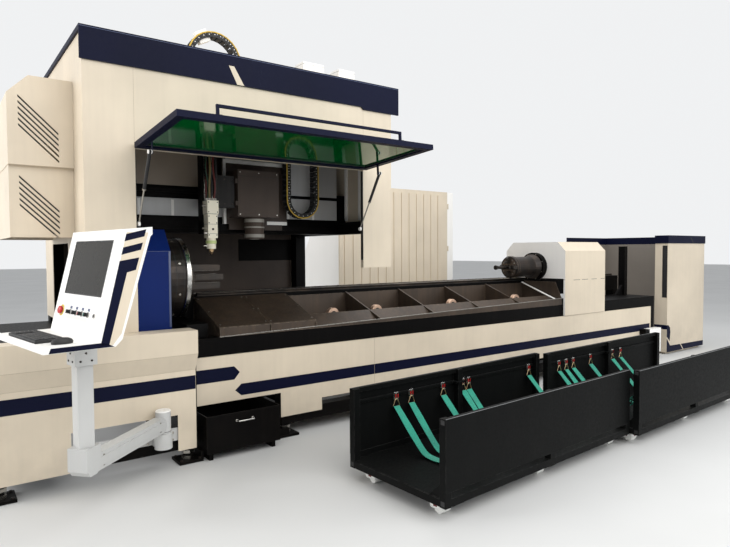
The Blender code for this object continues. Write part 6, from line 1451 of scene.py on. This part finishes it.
@dataclass
class Chucks:
    """Polished rim, bolts, jaw guides and jaw teeth of the main and tail chucks."""

    hub_x: float = 1.227
    flange_x: float = 5.90
    tail_face_x: float = 5.465
    face_bolts: int = 12
    drum_bolts: int = 8
    jaws: int = 4
    teeth: int = 22

    def build(self) -> None:
        """Make every fitting of both chucks."""
        hub, along = at(self.hub_x, AXIS_Y, AXIS_Z), EAST
        rim = Shape("chuck_rim")
        rim.ring(hub, along, ((0.296, 0.1801), (0.3121, 0.1802), (0.3206, 0.1722), (0.3206, 0.1438),
                              (0.3163, 0.1394), (0.296, 0.1394)), 96)
        rim.done(Shop.chrome, "main_rotor")
        groove = Shape("chuck_groove")
        groove.ring(hub, along, ((0.30, 0.060), (0.3107, 0.060), (0.3107, 0.064), (0.30, 0.064)), 96)
        groove.ring(hub, along, ((0.30, 0.118), (0.3107, 0.118), (0.3107, 0.121), (0.30, 0.121)), 96)
        groove.done(Shop.rubber, "main_rotor")
        face = [(self.spoke(hub, 0.1801, 0.283, 15 + 30 * k), along, UP)
                for k in range(self.face_bolts)]
        screws("chuck_face_bolts", (0.011, 0.006), face, Shop.bright, "main_rotor")
        round_drum = [(self.spoke(hub, 0.09, 0.3098, 22.5 + 45 * k), self.out(22.5 + 45 * k), along)
                      for k in range(self.drum_bolts)]
        screws("drum_bolts", (0.010, 0.004), round_drum, Shop.bright, "main_rotor")
        guides = Shape("jaw_guides")
        for number in range(self.jaws):
            turn = self.about(number * 90)
            for low, high in ((-0.066, -0.052), (0.052, 0.066)):
                guides.box(at(1.407, AXIS_Y + low, AXIS_Z + 0.14),
                           at(1.4215, AXIS_Y + high, AXIS_Z + 0.272), 0.001, turn)
        guides.done(Shop.blackened, "main_rotor")
        for number in range(self.jaws):
            turn = self.about(number * 90)
            body = f"main_jaw_{number + 1}"
            bite = [(turn @ at(1.48 + 0.012 * k, AXIS_Y, AXIS_Z + 0.05), turn.to_3x3() @ Vector((0, 0, -1)), along)
                    for k in range(self.teeth)]
            tooth = Shape("jaw_tooth", offset=Vector((0, 0, 0)))
            tooth.plate([(-0.004, -0.001), (0.004, -0.001), (0.0015, 0.0016), (-0.0015, 0.0016)], Along.Y,
                        -0.0215, 0.0215)
            Repeat.make(f"jaw_teeth_{number + 1}", tooth, bite, Shop.bright, body, smooth=0)
            heads = [(turn @ at(1.4438, AXIS_Y + y, AXIS_Z + r), along, Vector((0, 1, 0)))
                     for y, r in ((-0.033, 0.135), (0.033, 0.135), (-0.033, 0.215), (0.033, 0.215))]
            screws(f"jaw_screws_{number + 1}", (0.0085, 0.005), heads, Shop.bright, body)
        panel = [(at(x, 0.065, z), SOUTH, along) for x in (0.84, 1.19) for z in (1.03, 1.27, 1.51)]
        screws("chuck_cover_screws", (0.006, 0.0025), panel, Shop.chuck_blue)
        # Painted highlight: lighter strips along the blue cover's front and upper fold edges, where they catch the
        # light.
        seam = Shape("chuck_cover_fold").boxes((((1.2125, 0.0643, 0.992), (1.2277, 0.0657, 1.556)),
                                                ((0.80, 0.0644, 1.5545), (1.2277, 0.0662, 1.5572))), 0.0005)
        seam.done(Shop.slate)
        self.tail()

    def tail(self) -> None:
        """Flange bolts, the chuck's plate and bolts, and the probe's collars."""
        nose, back = at(self.flange_x, AXIS_Y, AXIS_Z), Vector((-1, 0, 0))
        flange = Shape("tail_flange")
        flange.ring(nose, back, ((0.141, -0.0804), (0.1727, -0.0804), (0.1727, -0.001), (0.1717, 0.0008),
                                 (0.141, 0.0008)), 72)
        flange.done(Shop.black, "tail_carriage")
        spots = [(self.spoke(nose, 0.0005, 0.1637, 22.5 + 45 * k), back, UP) for k in range(8)]
        screws("flange_bolts", (0.006, 0.004), spots, Shop.bright, "tail_carriage")
        face = at(self.tail_face_x, AXIS_Y, AXIS_Z)
        plate = Shape("tail_chuck_plate")
        plate.ring(face, back,
                   ((0.022, -0.001), (0.112, -0.001), (0.112, 0.0010), (0.108, 0.0016), (0.022, 0.0016)), 64)
        plate.ring(face, back, ((0.120, -0.052), (0.1336, -0.052), (0.1336, -0.046), (0.120, -0.046)), 64)
        plate.ring(face, back, ((0.120, -0.014), (0.1336, -0.014), (0.1336, -0.010), (0.120, -0.010)), 64)
        plate.done(Shop.worn_brown, "tail_rotor")
        spots = [(self.spoke(face, -0.0014, 0.092, 45 + 90 * k + a), back, UP)
                 for k in range(4) for a in (-14, 14)]
        screws("tail_chuck_bolts", (0.0075, 0.005), spots, Shop.bright, "tail_rotor")
        probe = Shape("probe_collars")
        for start, radius, length in ((0.236, 0.027, 0.014), (0.214, 0.0225, 0.010), (0.075, 0.0245, 0.026),
                                      (0.0, 0.028, 0.016)):
            probe.ring(face, back,
                       ((0.010, start), (radius, start), (radius, start + length), (0.010, start + length)), 32)
        probe.done(Shop.blackened, "tail_rotor", bevel=0.001)
        for number in range(self.jaws):
            turn = self.about(number * 90)
            heads = [(turn @ at(5.4275, AXIS_Y + y, AXIS_Z + 0.098), back, Vector((0, 1, 0)))
                     for y in (-0.015, 0.015)]
            screws(f"tail_jaw_screws_{number + 1}", (0.005, 0.003), heads, Shop.bright,
                        f"tail_jaw_{number + 1}")

    def about(self, degrees: float) -> Matrix:
        """A turn about the chuck axis."""
        hub = at(0, AXIS_Y, AXIS_Z)
        return Matrix.Translation(hub) @ Matrix.Rotation(math.radians(degrees), 4, "X") @ Matrix.Translation(-hub)

    def out(self, degrees: float) -> Vector:
        """The way out from the chuck axis at an angle."""
        angle = math.radians(degrees)
        return Vector((0, math.cos(angle), math.sin(angle)))

    def spoke(self, centre: Vector, forward: float, radius: float, degrees: float) -> Vector:
        """A place on a circle about the chuck axis, forward of the centre towards the jaws."""
        ahead = 1 if centre.x < 0 else -1
        return centre + Vector((ahead * forward, 0, 0)) + self.out(degrees) * radius


@dataclass
class Ends:
    """The tail carriage's sheets, the end guard's trims and painted shade, the hinges, the drawer's pull and the
    roof's cases.
    """

    def build(self) -> None:
        """Make every fitting."""
        # The carriage's own cream on its front face. The white on its other faces is a painted highlight.
        front = Shape("tail_front_sheet")
        front.plate([(-0.0128, 0.7502), (-0.0116, 0.7502), (-0.0116, 1.5397), (0.0984, 1.6497), (0.0979, 1.6508),
                     (-0.0128, 1.5403)], Along.X, 5.9812, 6.8388)
        front.done(Shop.cream, "tail_carriage")
        gaps = Shape("tail_sheet_gaps")
        for low, high in ((6.151, 6.287), (6.33, 6.459), (6.533, 6.654), (6.74, 6.834)):
            gaps.box(at(low, -0.0133, 1.1795), at(high, -0.0125, 1.1842))
        for low, high in ((0.069, 0.118), (-0.011, 0.018)):
            gaps.box(at(5.9793, low, 1.187), at(5.9803, high, 1.191))
        gaps.done(Shop.rubber, "tail_carriage")
        trims = Shape("guard_trims")
        trims.box(at(8.4993, 0.0, 0.372), at(8.5003, 0.19, 0.434))
        for outline in ([(8.4993, 0.434), (8.54, 0.434), (8.59, 0.395), (8.605, 0.32),
                         (8.584, 0.19), (8.4993, 0.262)],
                        [(8.4993, 0.243), (8.598, 0.125), (8.903, 0.119), (8.988, 0.032), (8.4993, 0.032)],
                        [(8.928, 0.1185), (9.6506, 0.108), (9.6506, 0.032), (9.013, 0.032)]):
            trims.plate(outline, Along.Y, -0.0007, 0.0002)
        trims.done(Shop.navy)
        # Painted shade on the inner faces of the end guard's rear and right walls, under their real navy top bands.
        for name, finish, low, high in (("guard_inner_sheets", Shop.guard_shade, 0.05, 1.6425),
                                        ("guard_inner_bands", Shop.navy, 1.6435, 1.7595)):
            inner = Shape(name).boxes((((8.5015, 1.6938, low), (9.6435, 1.6955, high)),
                                       ((9.6438, 0.1915, low), (9.6455, 1.6935, high))))
            inner.done(finish)
        # Painted shade: dark filling in the guard's side slot and in its fascia slit, where the openings are in
        # shadow.
        dark = Shape("guard_slot_lining")
        dark.box(at(8.512, 0.0085, 0.8405), at(8.5595, 0.0825, 1.6095))
        dark.plate([(9.160, 1.735), (9.182, 1.735), (9.272, 1.650), (9.250, 1.650)], Along.Y, -0.0107, -0.0098)
        dark.done(Shop.rubber)
        case = Shape("junction_case")
        case.box(at(7.838, -0.0907, 0.0992), at(8.1507, 0.01, 0.4408), 0.003)
        case.done(Shop.white)
        hinge = Shape("cabinet_hinges")
        for z in (1.542, 2.15):
            hinge.box(at(5.8405, 1.8665, z), at(5.863, 1.9005, z + 0.077), 0.003)
        hinge.done(Shop.cream)
        pull = Shape("drawer_pull")
        bar = ((1.6275, -0.179), (1.6275, -0.209), (1.6285, -0.2135), (1.633, -0.215),
               (1.752, -0.215), (1.7565, -0.2135), (1.7575, -0.209), (1.7575, -0.179))
        pull.pipe([at(x, y, 0.275) for x, y in bar], 0.0057, 12)
        for x in (1.6275, 1.7575):
            pull.rod(at(x, -0.1795, 0.275), at(x, -0.1835, 0.275), 0.011)
        pull.done(Shop.chrome, "scrap_drawer")
        fold = Shape("drawer_fold")
        fold.box(at(1.3895, -0.1806, 0.326), at(1.9955, -0.1785, 0.3358), 0.0006)
        fold.done(Shop.black, "scrap_drawer")
        self.roof()

    def roof(self) -> None:
        """White cases on the roof with lid seams, and the panel behind the head."""
        cases = Shape("roof_cases")
        seams = Shape("roof_case_seams")
        for left, right in ((2.5193, 2.7407), (2.8993, 3.0807)):
            cases.box(at(left, 0.2993, 3.058), at(right, 0.4507, 3.2507), 0.006)
            seams.box(at(left - 0.0004, 0.2989, 3.228), at(right + 0.0004, 0.4511, 3.2295))
        cases.done(Shop.white)
        seams.done(Shop.rubber)
        panel = Shape("gantry_panel")
        panel.plate([(0.7606, 2.1168), (1.759, 2.1168), (1.8004, 2.1575), (1.8004, 2.5995), (0.7606, 2.5995)],
                    Along.Y, 0.7531, 0.7542)
        panel.done(Shop.panel_brown)


@dataclass
class Console:
    """The operator console's decals, display frame with painted recess shade, switches, keys, mouse and bolts."""

    turn: float = 9.3
    half: float = 0.37

    def build(self) -> None:
        """Make every fitting of the console."""
        base = Matrix.Translation(at(0.457, -0.76, 0)) @ Matrix.Rotation(math.radians(self.turn), 4, "Z")
        case = Local(base, "console_head")
        self.sides(case)
        self.desk(case)
        lean = math.atan2(0.14, 0.57)
        self.front(Local(base @ Matrix.Translation((-0.04, 0, 1.10)) @ Matrix.Rotation(lean, 4, "Y"), "console_head"))
        bolts = [((-0.0603, y, z), (-1, 0, 0), (0, 1, 0)) for y, z in ((-0.03, 0.955), (0.03, 0.955), (0.0, 0.998))]
        bolts += [((y, -0.0603, z), (0, -1, 0), (1, 0, 0)) for y, z in ((-0.03, 0.955), (0.03, 0.955), (0.0, 0.998))]
        screws("collar_bolts", (0.006, 0.003), case.places(bolts), Shop.blackened,
                    "console_head")
        self.arm()

    def edge(self, height: float, share: float) -> Pair:
        """The (x, z) of a point on the console's side, its share 0 at the face and 1 at the back."""
        face, back = -0.04 + 0.2456 * (height - 1.10), 0.07 + 0.3015 * (height - 1.10)
        return face + (back - face) * share, height

    def sides(self, case: Local) -> None:
        """Cream side sheets and the navy pattern on the operator's right.

        Args:
            case: the case's frame.
        """
        for name, y in (("right", -self.half), ("left", self.half)):
            sheet = case.shape(f"console_side_{name}")
            outline = [self.edge(1.075, 0.05), self.edge(1.075, 0.62), self.edge(1.13, 0.88), self.edge(1.655, 0.88),
                       self.edge(1.655, 0.05)]
            sheet.plate(outline, Along.Y, y - 0.0005, y + 0.0005)
            case.done(sheet, Shop.cream)
        trim = case.shape("console_side_trim")
        rise = 0.25
        bars = [[self.edge(1.075, 0.03), self.edge(1.075, 0.43), self.edge(1.445, 0.43),
                 (self.edge(1.445, 0.80)[0], 1.445 + rise * 0.05), (self.edge(1.51, 0.80)[0], 1.51 + rise * 0.05),
                 self.edge(1.505, 0.03)]]
        for low, high in ((1.545, 1.585), (1.615, 1.655)):
            a, b = self.edge(low, 0.03)[0], self.edge(low, 0.80)[0]
            c, d = self.edge(high, 0.80)[0], self.edge(high, 0.03)[0]
            bars.append([(a, low - 0.008), (b, low + rise * (b - a) - 0.008), (c, high + rise * (c - d) - 0.01),
                         (d, high - 0.01)])
        bars.append([(-0.285, 1.0665), (0.028, 1.0665), (-0.022, 1.0915), (-0.275, 1.0915)])
        for outline in bars:
            trim.plate(outline, Along.Y, -self.half - 0.0010, -self.half + 0.0002)
        case.done(trim, Shop.navy)

    def front(self, face: Local) -> None:
        """Display frame with painted recess shade, switch plate, bezels, knobs, lock and stop collar.

        Args:
            face: the frame of the leaning face.
        """
        # A dark bezel round the display. It also stands for the shadow in the display's recess, so it is partly
        # painted shade.
        frame = face.shape("display_frame")
        left, right, low, high = -0.2505, 0.2805, 0.2195, 0.5305
        for y0, y1, z0, z1 in ((left, left + 0.008, low, high), (right - 0.008, right, low, high),
                               (left, right, low, low + 0.007), (left, right, high - 0.007, high)):
            frame.box((-0.0012, y0, z0), (0.006, y1, z1), 0.0008)
        face.done(frame, Shop.rubber)
        strip = face.shape("switch_plate")
        strip.box((-0.0022, -0.262, 0.082), (0.0005, 0.172, 0.158), 0.0008)
        face.done(strip, Shop.white, hide=("switch_strip",))
        places = (-0.2215, -0.1365, -0.0515, 0.0335, 0.1185)
        labels, bezels, knobs = (face.shape(n) for n in ("switch_labels", "switch_bezels", "switch_knobs"))
        for number, y in enumerate(places):
            centre = Vector((-0.002, y, 0.118))
            back = Vector((-1, 0, 0))
            size = 0.0155 if number else 0.0125
            bezels.ring(centre, back, ((size - 0.0045, 0), (size, 0), (size, 0.004), (size - 0.0015, 0.0055),
                                       (size - 0.0045, 0.0055)), 32)
            if number:
                labels.box(centre + Vector((-0.0006, -0.0145, 0.0185)),
                           centre + Vector((0.0006, 0.0145, 0.034)), 0.0004)
                knobs.rod(centre, centre + back * 0.014, 0.011, 0.0102, 24)
                knobs.box(centre + Vector((-0.026, -0.0038, -0.011)),
                          centre + Vector((-0.012, 0.0038, 0.011)), 0.0016)
            else:
                knobs.rod(centre, centre + back * 0.0065, 0.0078, steps=24)
        face.done(labels, Shop.slate)
        face.done(bezels, Shop.chrome)
        face.done(knobs, Shop.rubber)
        for name, y, finish in (("red", -0.0515, Shop.stop_red), ("teal", -0.1365, Shop.key_teal),
                                ("green", 0.1185, Shop.hose_green)):
            cap = face.shape(f"switch_cap_{name}")
            cap.box((-0.0286, y - 0.0024, 0.109), (-0.0262, y + 0.0024, 0.127), 0.0006)
            face.done(cap, finish)
        collar = face.shape("stop_collar")
        collar.ring(Vector((0.0, 0.26, 0.12)), Vector((-1, 0, 0)), ((0.0232, 0.0), (0.032, 0.0), (0.032, 0.0022),
                                                                  (0.0305, 0.003), (0.0232, 0.003)), 40)
        face.done(collar, Shop.key_yellow)

    def desk(self, case: Local) -> None:
        """Keyboard keys, mouse and the shelf's fold.

        Args:
            case: the case's frame.
        """
        key = Shape("console_key")
        key.box((-0.0088, -0.0088, 0), (0.0088, 0.0088, 0.0052), 0.0018)
        board = case.shape("keyboard_body")
        board.box((-0.3005, -0.2205, 1.1002), (-0.1595, 0.2205, 1.1172), 0.004)
        case.done(board, Shop.rubber, hide=("keyboard",))
        spots = []
        for line in range(6):
            for column in range(20):
                y = -0.205 + 0.0205 * column + (0.004 if line % 2 else 0.0)
                if not 14 <= column < 16 or line > 3:
                    spots.append(((-0.285 + 0.0214 * line, y, 1.1170), (0, 0, 1), (1, 0, 0)))
        Repeat.make("keyboard_keys", key, case.places(spots), Shop.keycap, "console_head")
        mouse = case.shape("console_mouse")
        rings = []
        for level, grow in ((0.0, 0.96), (0.012, 1.0), (0.022, 0.86), (0.029, 0.55), (0.031, 0.2)):
            rings.append([mouse.bm.verts.new((-0.20 + 0.052 * grow * math.cos(a), -0.30 + 0.031 * grow * math.sin(a),
                                              1.1002 + level)) for a in (2 * math.pi * k / 24 for k in range(24))])
        for first, second in zip(rings, rings[1:]):
            for k in range(24):
                mouse.bm.faces.new((first[k], first[(k + 1) % 24], second[(k + 1) % 24], second[k]))
        mouse.bm.faces.new(list(reversed(rings[0])))
        mouse.bm.faces.new(rings[-1])
        case.done(mouse, Shop.rubber, smooth=70)
        lip = case.shape("console_shelf_lip")
        lip.box((-0.3108, -0.3702, 1.0955), (-0.3035, 0.3702, 1.1035), 0.001)
        case.done(lip, Shop.white)

    def arm(self) -> None:
        """Cap, seams and bolts of the swing arm and its bracket."""
        cap = Shape("arm_cap")
        cap.ring(at(1.072, -0.19, 0.44), UP, ((0.010, -0.001), (0.0523, -0.001), (0.0523, 0.003),
                                                            (0.047, 0.008), (0.010, 0.008)), 48)
        cap.done(Shop.white, "console_arm")
        line = Shape("arm_joint")
        line.ring(at(1.072, -0.19, 0.30), UP,
                  ((0.030, 0), (0.0527, 0), (0.0527, 0.003), (0.030, 0.003)), 48)
        line.done(Shop.rubber, "console_arm")
        run = Vector((0.457 - 1.072, -0.76 + 0.19, 0)).normalized()
        side = Vector((run.y, -run.x, 0))
        middle = at(1.072, -0.19, 0.355)
        spots = [(middle + run * d + side * s * 0.0377 + Vector((0, 0, z)), side * s, run)
                 for d in (0.10, 0.72) for z in (-0.028, 0.028) for s in (-1, 1)]
        screws("arm_bolts", (0.007, 0.004), spots, Shop.bright, "console_arm")
        plate = [(at(x, -0.1212, z), SOUTH, EAST)
                 for x in (0.985, 1.159) for z in (0.205, 0.255)]
        screws("bracket_bolts", (0.009, 0.005), plate, Shop.bright)


@dataclass
class Bins:
    """Castors, sling rails, hooks, rings and webbing of the two unloading bins."""

    corners: tuple[Pair, ...] = ((2.10, -1.94), (4.24, -1.90))
    turns: Pair = (3.0, 2.2)
    shares: tuple[tuple[float, ...], ...] = ((0.19, 0.26, 0.42, 0.528, 0.56, 0.94),
                                            (0.10, 0.155, 0.21, 0.35, 0.545, 0.62))
    length: float = 2.13
    depth: float = 0.88
    hooked: list[Spot] = field(default_factory=list)
    ringed: list[Spot] = field(default_factory=list)

    def build(self) -> None:
        """Make every fitting of the bins."""
        bins = [Local(Matrix.Translation(at(*corner, 0)) @ Matrix.Rotation(math.radians(turn), 4, "Z"))
                for corner, turn in zip(self.corners, self.turns)]
        self.castors(bins)
        for name, part, shares in zip(("left", "right"), bins, self.shares):
            self.rail(name, part)
            self.rims(name, part)
            for number, share in enumerate(shares, start=1):
                x = self.length * share
                self.strap(f"sling_{name}_{number}", part, x, number)
                for y, z, lean in ((0.853, 0.452, 0.004), (0.052, 0.455, -0.004)):
                    self.ringed += part.places([((x, y, z), (0, 0, 1), (1, 0, 0))])
                    self.hooked += part.places([((x + shift, y + lean, z + 0.030), (0, 0, 1), (1, 0, 0))
                                                for shift in (-0.011, 0.011)])
        self.fasteners()

    def fasteners(self) -> None:
        """Snap hooks with red latches, and the triangular rings that hold the webbing."""
        hook = Shape("snap_hook")
        loop = [Vector((0.0075 * math.cos(a), 0, 0.026 + math.copysign(0.020, math.sin(a)) + 0.0075 * math.sin(a)))
                for a in (2 * math.pi * (k + 0.5) / 20 for k in range(20))]
        hook.pipe(loop, 0.0026, 8, closed=True)
        Repeat.make("snap_hooks", hook, self.hooked, Shop.chrome)
        latch = Shape("hook_latch")
        latch.rod((0.0075, 0, 0.014), (0.0075, 0, 0.040), 0.0033, steps=12)
        Repeat.make("hook_latches", latch, self.hooked, Shop.stop_red)
        ring = Shape("sling_ring")
        corners = (Vector((-0.034, 0, -0.016)), Vector((0.034, 0, -0.016)), Vector((0.009, 0, 0.036)),
                   Vector((-0.009, 0, 0.036)))
        points = [a.lerp(b, t) for a, b in zip(corners, corners[1:] + corners[:1]) for t in (0.12, 0.5, 0.88)]
        ring.pipe(points, 0.0028, 8, closed=True)
        Repeat.make("sling_rings", ring, self.ringed, Shop.ring_brass)

    def castors(self, bins: Sequence[Local]) -> None:
        """White levelling castors with dark red dials.

        Args:
            bins: the frame of each bin.
        """
        spots = []
        for part in bins:
            for k in range(3):
                x = 0.11 + (self.length - 0.22) * k / 2
                spots += part.places(((x, y, 0), (0, 0, 1), (1, 0, 0)) for y in (0.14, self.depth - 0.14))
        body = Shape("castor_body")
        body.box((-0.052, -0.052, 0.022), (0.052, 0.052, 0.0748), 0.016)
        body.rod((-0.0385, -0.018, 0.026), (0.0385, -0.018, 0.026), 0.0255, steps=28)
        body.rod((0, 0.020, 0.0002), (0, 0.020, 0.016), 0.0235, steps=24)
        body.rod((0, 0.020, 0.015), (0, 0.020, 0.034), 0.0125, steps=16)
        body.rod((0, 0, 0.074), (0, 0, 0.0845), 0.030, steps=24)
        Repeat.make("castor_bodies", body, spots, Shop.castor_white)
        dial = Shape("castor_dial")
        dial.box((-0.0529, -0.016, 0.042), (0.0529, 0.016, 0.060), 0.003)
        dial.box((-0.016, -0.0529, 0.042), (0.016, 0.0529, 0.060), 0.003)
        Repeat.make("castor_dials", dial, spots, Shop.castor_red)

    def rail(self, name: str, part: Local) -> None:
        """The rail that carries the rear hooks, led round the middle post.

        Args:
            name: left or right.
            part: the bin's frame.
        """
        shape = part.shape(f"sling_rail_{name}")
        middle, back = self.length / 2, self.depth - 0.0043
        for low, high in ((0.052, middle - 0.027), (middle + 0.027, self.length - 0.052)):
            shape.box((low, back - 0.0125, 0.5075), (high, back, 0.5325), 0.002)
        for low, high in ((middle - 0.05, middle - 0.027), (middle + 0.027, middle + 0.05)):
            shape.box((low, back - 0.058, 0.5117), (high, back - 0.004, 0.5283), 0.001)
        shape.box((middle - 0.05, back - 0.058, 0.5117), (middle + 0.05, back - 0.0522, 0.5283), 0.001)
        part.done(shape, Shop.charcoal, hide=(f"sling_set_{name}",))

    def rims(self, name: str, part: Local) -> None:
        """Rear strip of painted shade across the back gap, worn top edges, and painted shade in the open tube mouths
        at the corner posts.

        Args:
            name: left or right.
            part: the bin's frame.
        """
        # Painted shade: a charcoal strip across part of the open gap at the back, darkening it as the shade behind it
        # does.
        gap_shade = part.shape(f"bin_kick_{name}")
        gap_shade.box((0.05, 0.8690, 0.1352), (self.length - 0.05, 0.8745, 0.1765))
        part.done(gap_shade, Shop.charcoal)
        edge = part.shape(f"bin_edges_{name}")
        for y, z in ((-0.0006, 0.5985), (0.8746, 0.6205)):
            edge.box((0.0, y, z), (self.length, y + 0.006, z + 0.0022), 0.0008)
        part.done(edge, Shop.bare_grey)
        # Painted shade: dark squares for the shadow inside the open ends of the corner tubes.
        mouth = part.shape(f"bin_tube_ends_{name}")
        for x in (-0.0006, self.length - 0.0004):
            mouth.box((x, 0.010, 0.564), (x + 0.001, 0.040, 0.592))
            mouth.box((x, 0.840, 0.096), (x + 0.001, 0.868, 0.124))
            mouth.box((x, 0.010, 0.096), (x + 0.001, 0.040, 0.124))
        part.done(mouth, Shop.rubber)

    def strap(self, name: str, part: Local, x: float, number: int) -> None:
        """One webbing sling from its rear ring down into the bin and up to the front.

        Args:
            name: the piece's name.
            part: the bin's frame.
            x: its place along the bin.
            number: which sling, for its own slight drift and twist.
        """
        steps, width, thick = 44, 0.058, 0.0032
        drift = 0.010 * math.sin(number * 2.4)
        low, flat, bend = 0.148, 0.1165, 0.0012
        rear, front = Vector((x, 0.851, 0.437)), Vector((x, 0.0555, 0.441))
        line = []
        for index in range(steps + 1):
            t = index / steps
            spot = rear.lerp(front, t)
            past = abs(spot.y - (rear.y + front.y) / 2) - flat
            rise = (past + math.sqrt(past * past + bend)) / 2
            line.append(Vector((spot.x + drift * (1 - rise / 0.283), spot.y, low + 1.025 * rise)))
        mesh = bmesh.new()
        layer = mesh.loops.layers.uv.new("strap")
        run, rows = 0.0, []
        for index, point in enumerate(line):
            ahead, behind = line[min(index + 1, steps)], line[max(index - 1, 0)]
            way = (ahead - behind).normalized()
            side = EAST
            up = side.cross(way).normalized()
            run += (point - line[max(index - 1, 0)]).length
            twist = 0.0018 * math.sin(index * 0.5 + number)
            rows.append([(mesh.verts.new(point + side * a * width / 2 + up * (b * thick / 2 + a * twist)),
                          (a * 0.5 + 0.5, run))
                         for a, b in ((-1, -1), (0, -1.15), (1, -1), (1, 1), (0, 0.85), (-1, 1))])
        for first, second in zip(rows, rows[1:]):
            for k in range(6):
                corners = (first[k], first[(k + 1) % 6], second[(k + 1) % 6], second[k])
                made = mesh.faces.new([c[0] for c in corners])
                for loop, corner in zip(made.loops, corners):
                    loop[layer].uv = corner[1]
        mesh.faces.new([c[0] for c in reversed(rows[0])])
        mesh.faces.new([c[0] for c in rows[-1]])
        piece = part.done(Shape(name, mesh, Vector((0, 0, 0))), Shop.teal, smooth=50)


@dataclass
class Studio:
    """Pale floor, soft light and the camera at the photograph's place."""

    focal_pixels: float = 587.32
    width_pixels: float = 730.0
    pitch: float = 2.1867
    roll: float = 0.283
    heading: float = 53.59
    eye: Triple = (-0.20, -4.30, 1.55)
    lamps: tuple[tuple[str, Triple, Triple, float, float, Triple], ...] = (
        ("key", (-3.0, -7.0, 6.5), (0.2, 0.6, 0.6), 9.0, 455.0, (1.0, 0.98, 0.95)),
        ("fill", (2.5, -7.5, 4.5), (0.5, 0.0, 0.8), 7.0, 250.0, (0.95, 0.98, 1.0)),
        ("side", (-9.5, 1.0, 3.0), (0.0, 0.4, 1.3), 3.2, 270.0, (1.0, 1.0, 1.0)),
        ("top", (0.0, 0.5, 8.0), (0.0, 0.0, 0.0), 10.0, 330.0, (1.0, 1.0, 1.0)),
    )

    def build(self) -> None:
        """Make the floor, lights, world and camera."""
        scene = bpy.context.scene
        scene.view_settings.view_transform = "Standard"
        mesh = bpy.data.meshes.new("studio_floor")
        side = 60.0
        mesh.from_pydata([(-side, -side, -0.0005), (side, -side, -0.0005), (side, side, -0.0005),
                          (-side, side, -0.0005)], [], [(0, 1, 2, 3)])
        floor = bpy.data.objects.new("studio_floor", mesh)
        scene.collection.objects.link(floor)
        graph = Graph("studio_floor")
        shade = graph.blend(graph.noise(graph.place(), 0.6, 3.0), (0.66, 0.66, 0.65), (0.62, 0.62, 0.61))
        graph.put("Base Color", shade)
        graph.put("Roughness", 0.6)
        mesh.materials.append(graph.material)
        self.world()
        for lamp in self.lamps:
            self.lamp(*lamp)
        self.camera()

    def lamp(self, name: str, place: Triple, target: Triple, size: float, power: float, colour: Triple) -> None:
        """A large soft lamp aimed at a point.

        Args:
            name: the lamp's name.
            place: where it hangs.
            target: the point it is aimed at.
            size: its disk's diameter.
            power: watts.
            colour: linear light colour.
        """
        light = bpy.data.lights.new(name, "AREA")
        light.shape = "DISK"
        light.size = size
        light.energy = power
        light.color = colour
        lamp = bpy.data.objects.new(name, light)
        lamp.location = place
        lamp.rotation_euler = (Vector(target) - Vector(place)).to_track_quat("-Z", "Y").to_euler()
        bpy.context.scene.collection.objects.link(lamp)

    def world(self) -> None:
        """Even light from all round, and a pale backdrop for the camera, metal and glass."""
        world = bpy.data.worlds.new("studio_world")
        bpy.context.scene.world = world
        world.use_nodes = True
        tree = world.node_tree
        lit = tree.nodes["Background"]
        lit.inputs["Color"].default_value = (0.93, 0.96, 1.0, 1.0)
        lit.inputs["Strength"].default_value = 0.50
        seen = tree.nodes.new("ShaderNodeBackground")
        seen.inputs["Color"].default_value = (0.90, 0.91, 0.92, 1.0)
        seen.inputs["Strength"].default_value = 0.97
        path = tree.nodes.new("ShaderNodeLightPath")
        either, any_of = (tree.nodes.new("ShaderNodeMath") for _ in range(2))
        either.operation = any_of.operation = "MAXIMUM"
        mix = tree.nodes.new("ShaderNodeMixShader")
        link = tree.links.new
        link(path.outputs["Is Camera Ray"], either.inputs[0])
        link(path.outputs["Is Glossy Ray"], either.inputs[1])
        link(either.outputs[0], any_of.inputs[0])
        link(path.outputs["Is Transmission Ray"], any_of.inputs[1])
        link(any_of.outputs[0], mix.inputs[0])
        link(lit.outputs[0], mix.inputs[1])
        link(seen.outputs[0], mix.inputs[2])
        link(mix.outputs[0], tree.nodes["World Output"].inputs["Surface"])

    def camera(self) -> None:
        """The camera, turned by the heading, pitch and roll that were solved from the photograph."""
        heading, pitch, roll = (math.radians(a) for a in (self.heading, self.pitch, self.roll))
        ahead = Vector((math.cos(heading), math.sin(heading), 0))
        right = Vector((math.sin(heading), -math.cos(heading), 0))
        down = Vector((0, 0, -1))
        front = ahead * math.cos(pitch) + down * math.sin(pitch)
        low = down * math.cos(pitch) - ahead * math.sin(pitch)
        side = right * math.cos(roll) + low * math.sin(roll)
        below = low * math.cos(roll) - right * math.sin(roll)
        lens = bpy.data.cameras.new("photo_camera")
        lens.sensor_width = 36.0
        lens.sensor_fit = "HORIZONTAL"
        lens.lens = self.focal_pixels / self.width_pixels * lens.sensor_width
        camera = bpy.data.objects.new("photo_camera", lens)
        turn = Matrix((side, -below, -front)).transposed().to_4x4()
        camera.matrix_world = Matrix.Translation(at(*self.eye)) @ turn
        bpy.context.scene.collection.objects.link(camera)
        bpy.context.scene.camera = camera


def main() -> None:
    """Load the solids, dress them and add every fitting."""
    logging.basicConfig(level=logging.INFO)
    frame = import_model()
    Studio().build()
    NodeDress().dress(frame["nodes"])
    for part in (Bed(), Portal(), CuttingHead(), Carriage(), Window(), Chucks(), Ends(), Console(), Bins()):
        part.build()
    EnergyChain("head_chain_links", "head_chain", "head_carriage", centre=(2.655, 2.035), radius=0.15, thick=0.045,
                legs=(0.385, 0.385), span=(0.555, 0.645), opens_up=True, clamp_on=()).build()
    EnergyChain("roof_chain_links", "roof_chain", "machine", centre=(1.725, 3.13), radius=0.205, thick=0.045,
                legs=(0.0997, 0.0997), span=(0.375, 0.465), opens_up=False, clamp_on=(6,), grip=0.05).build()


if __name__ == "__main__":
    main()
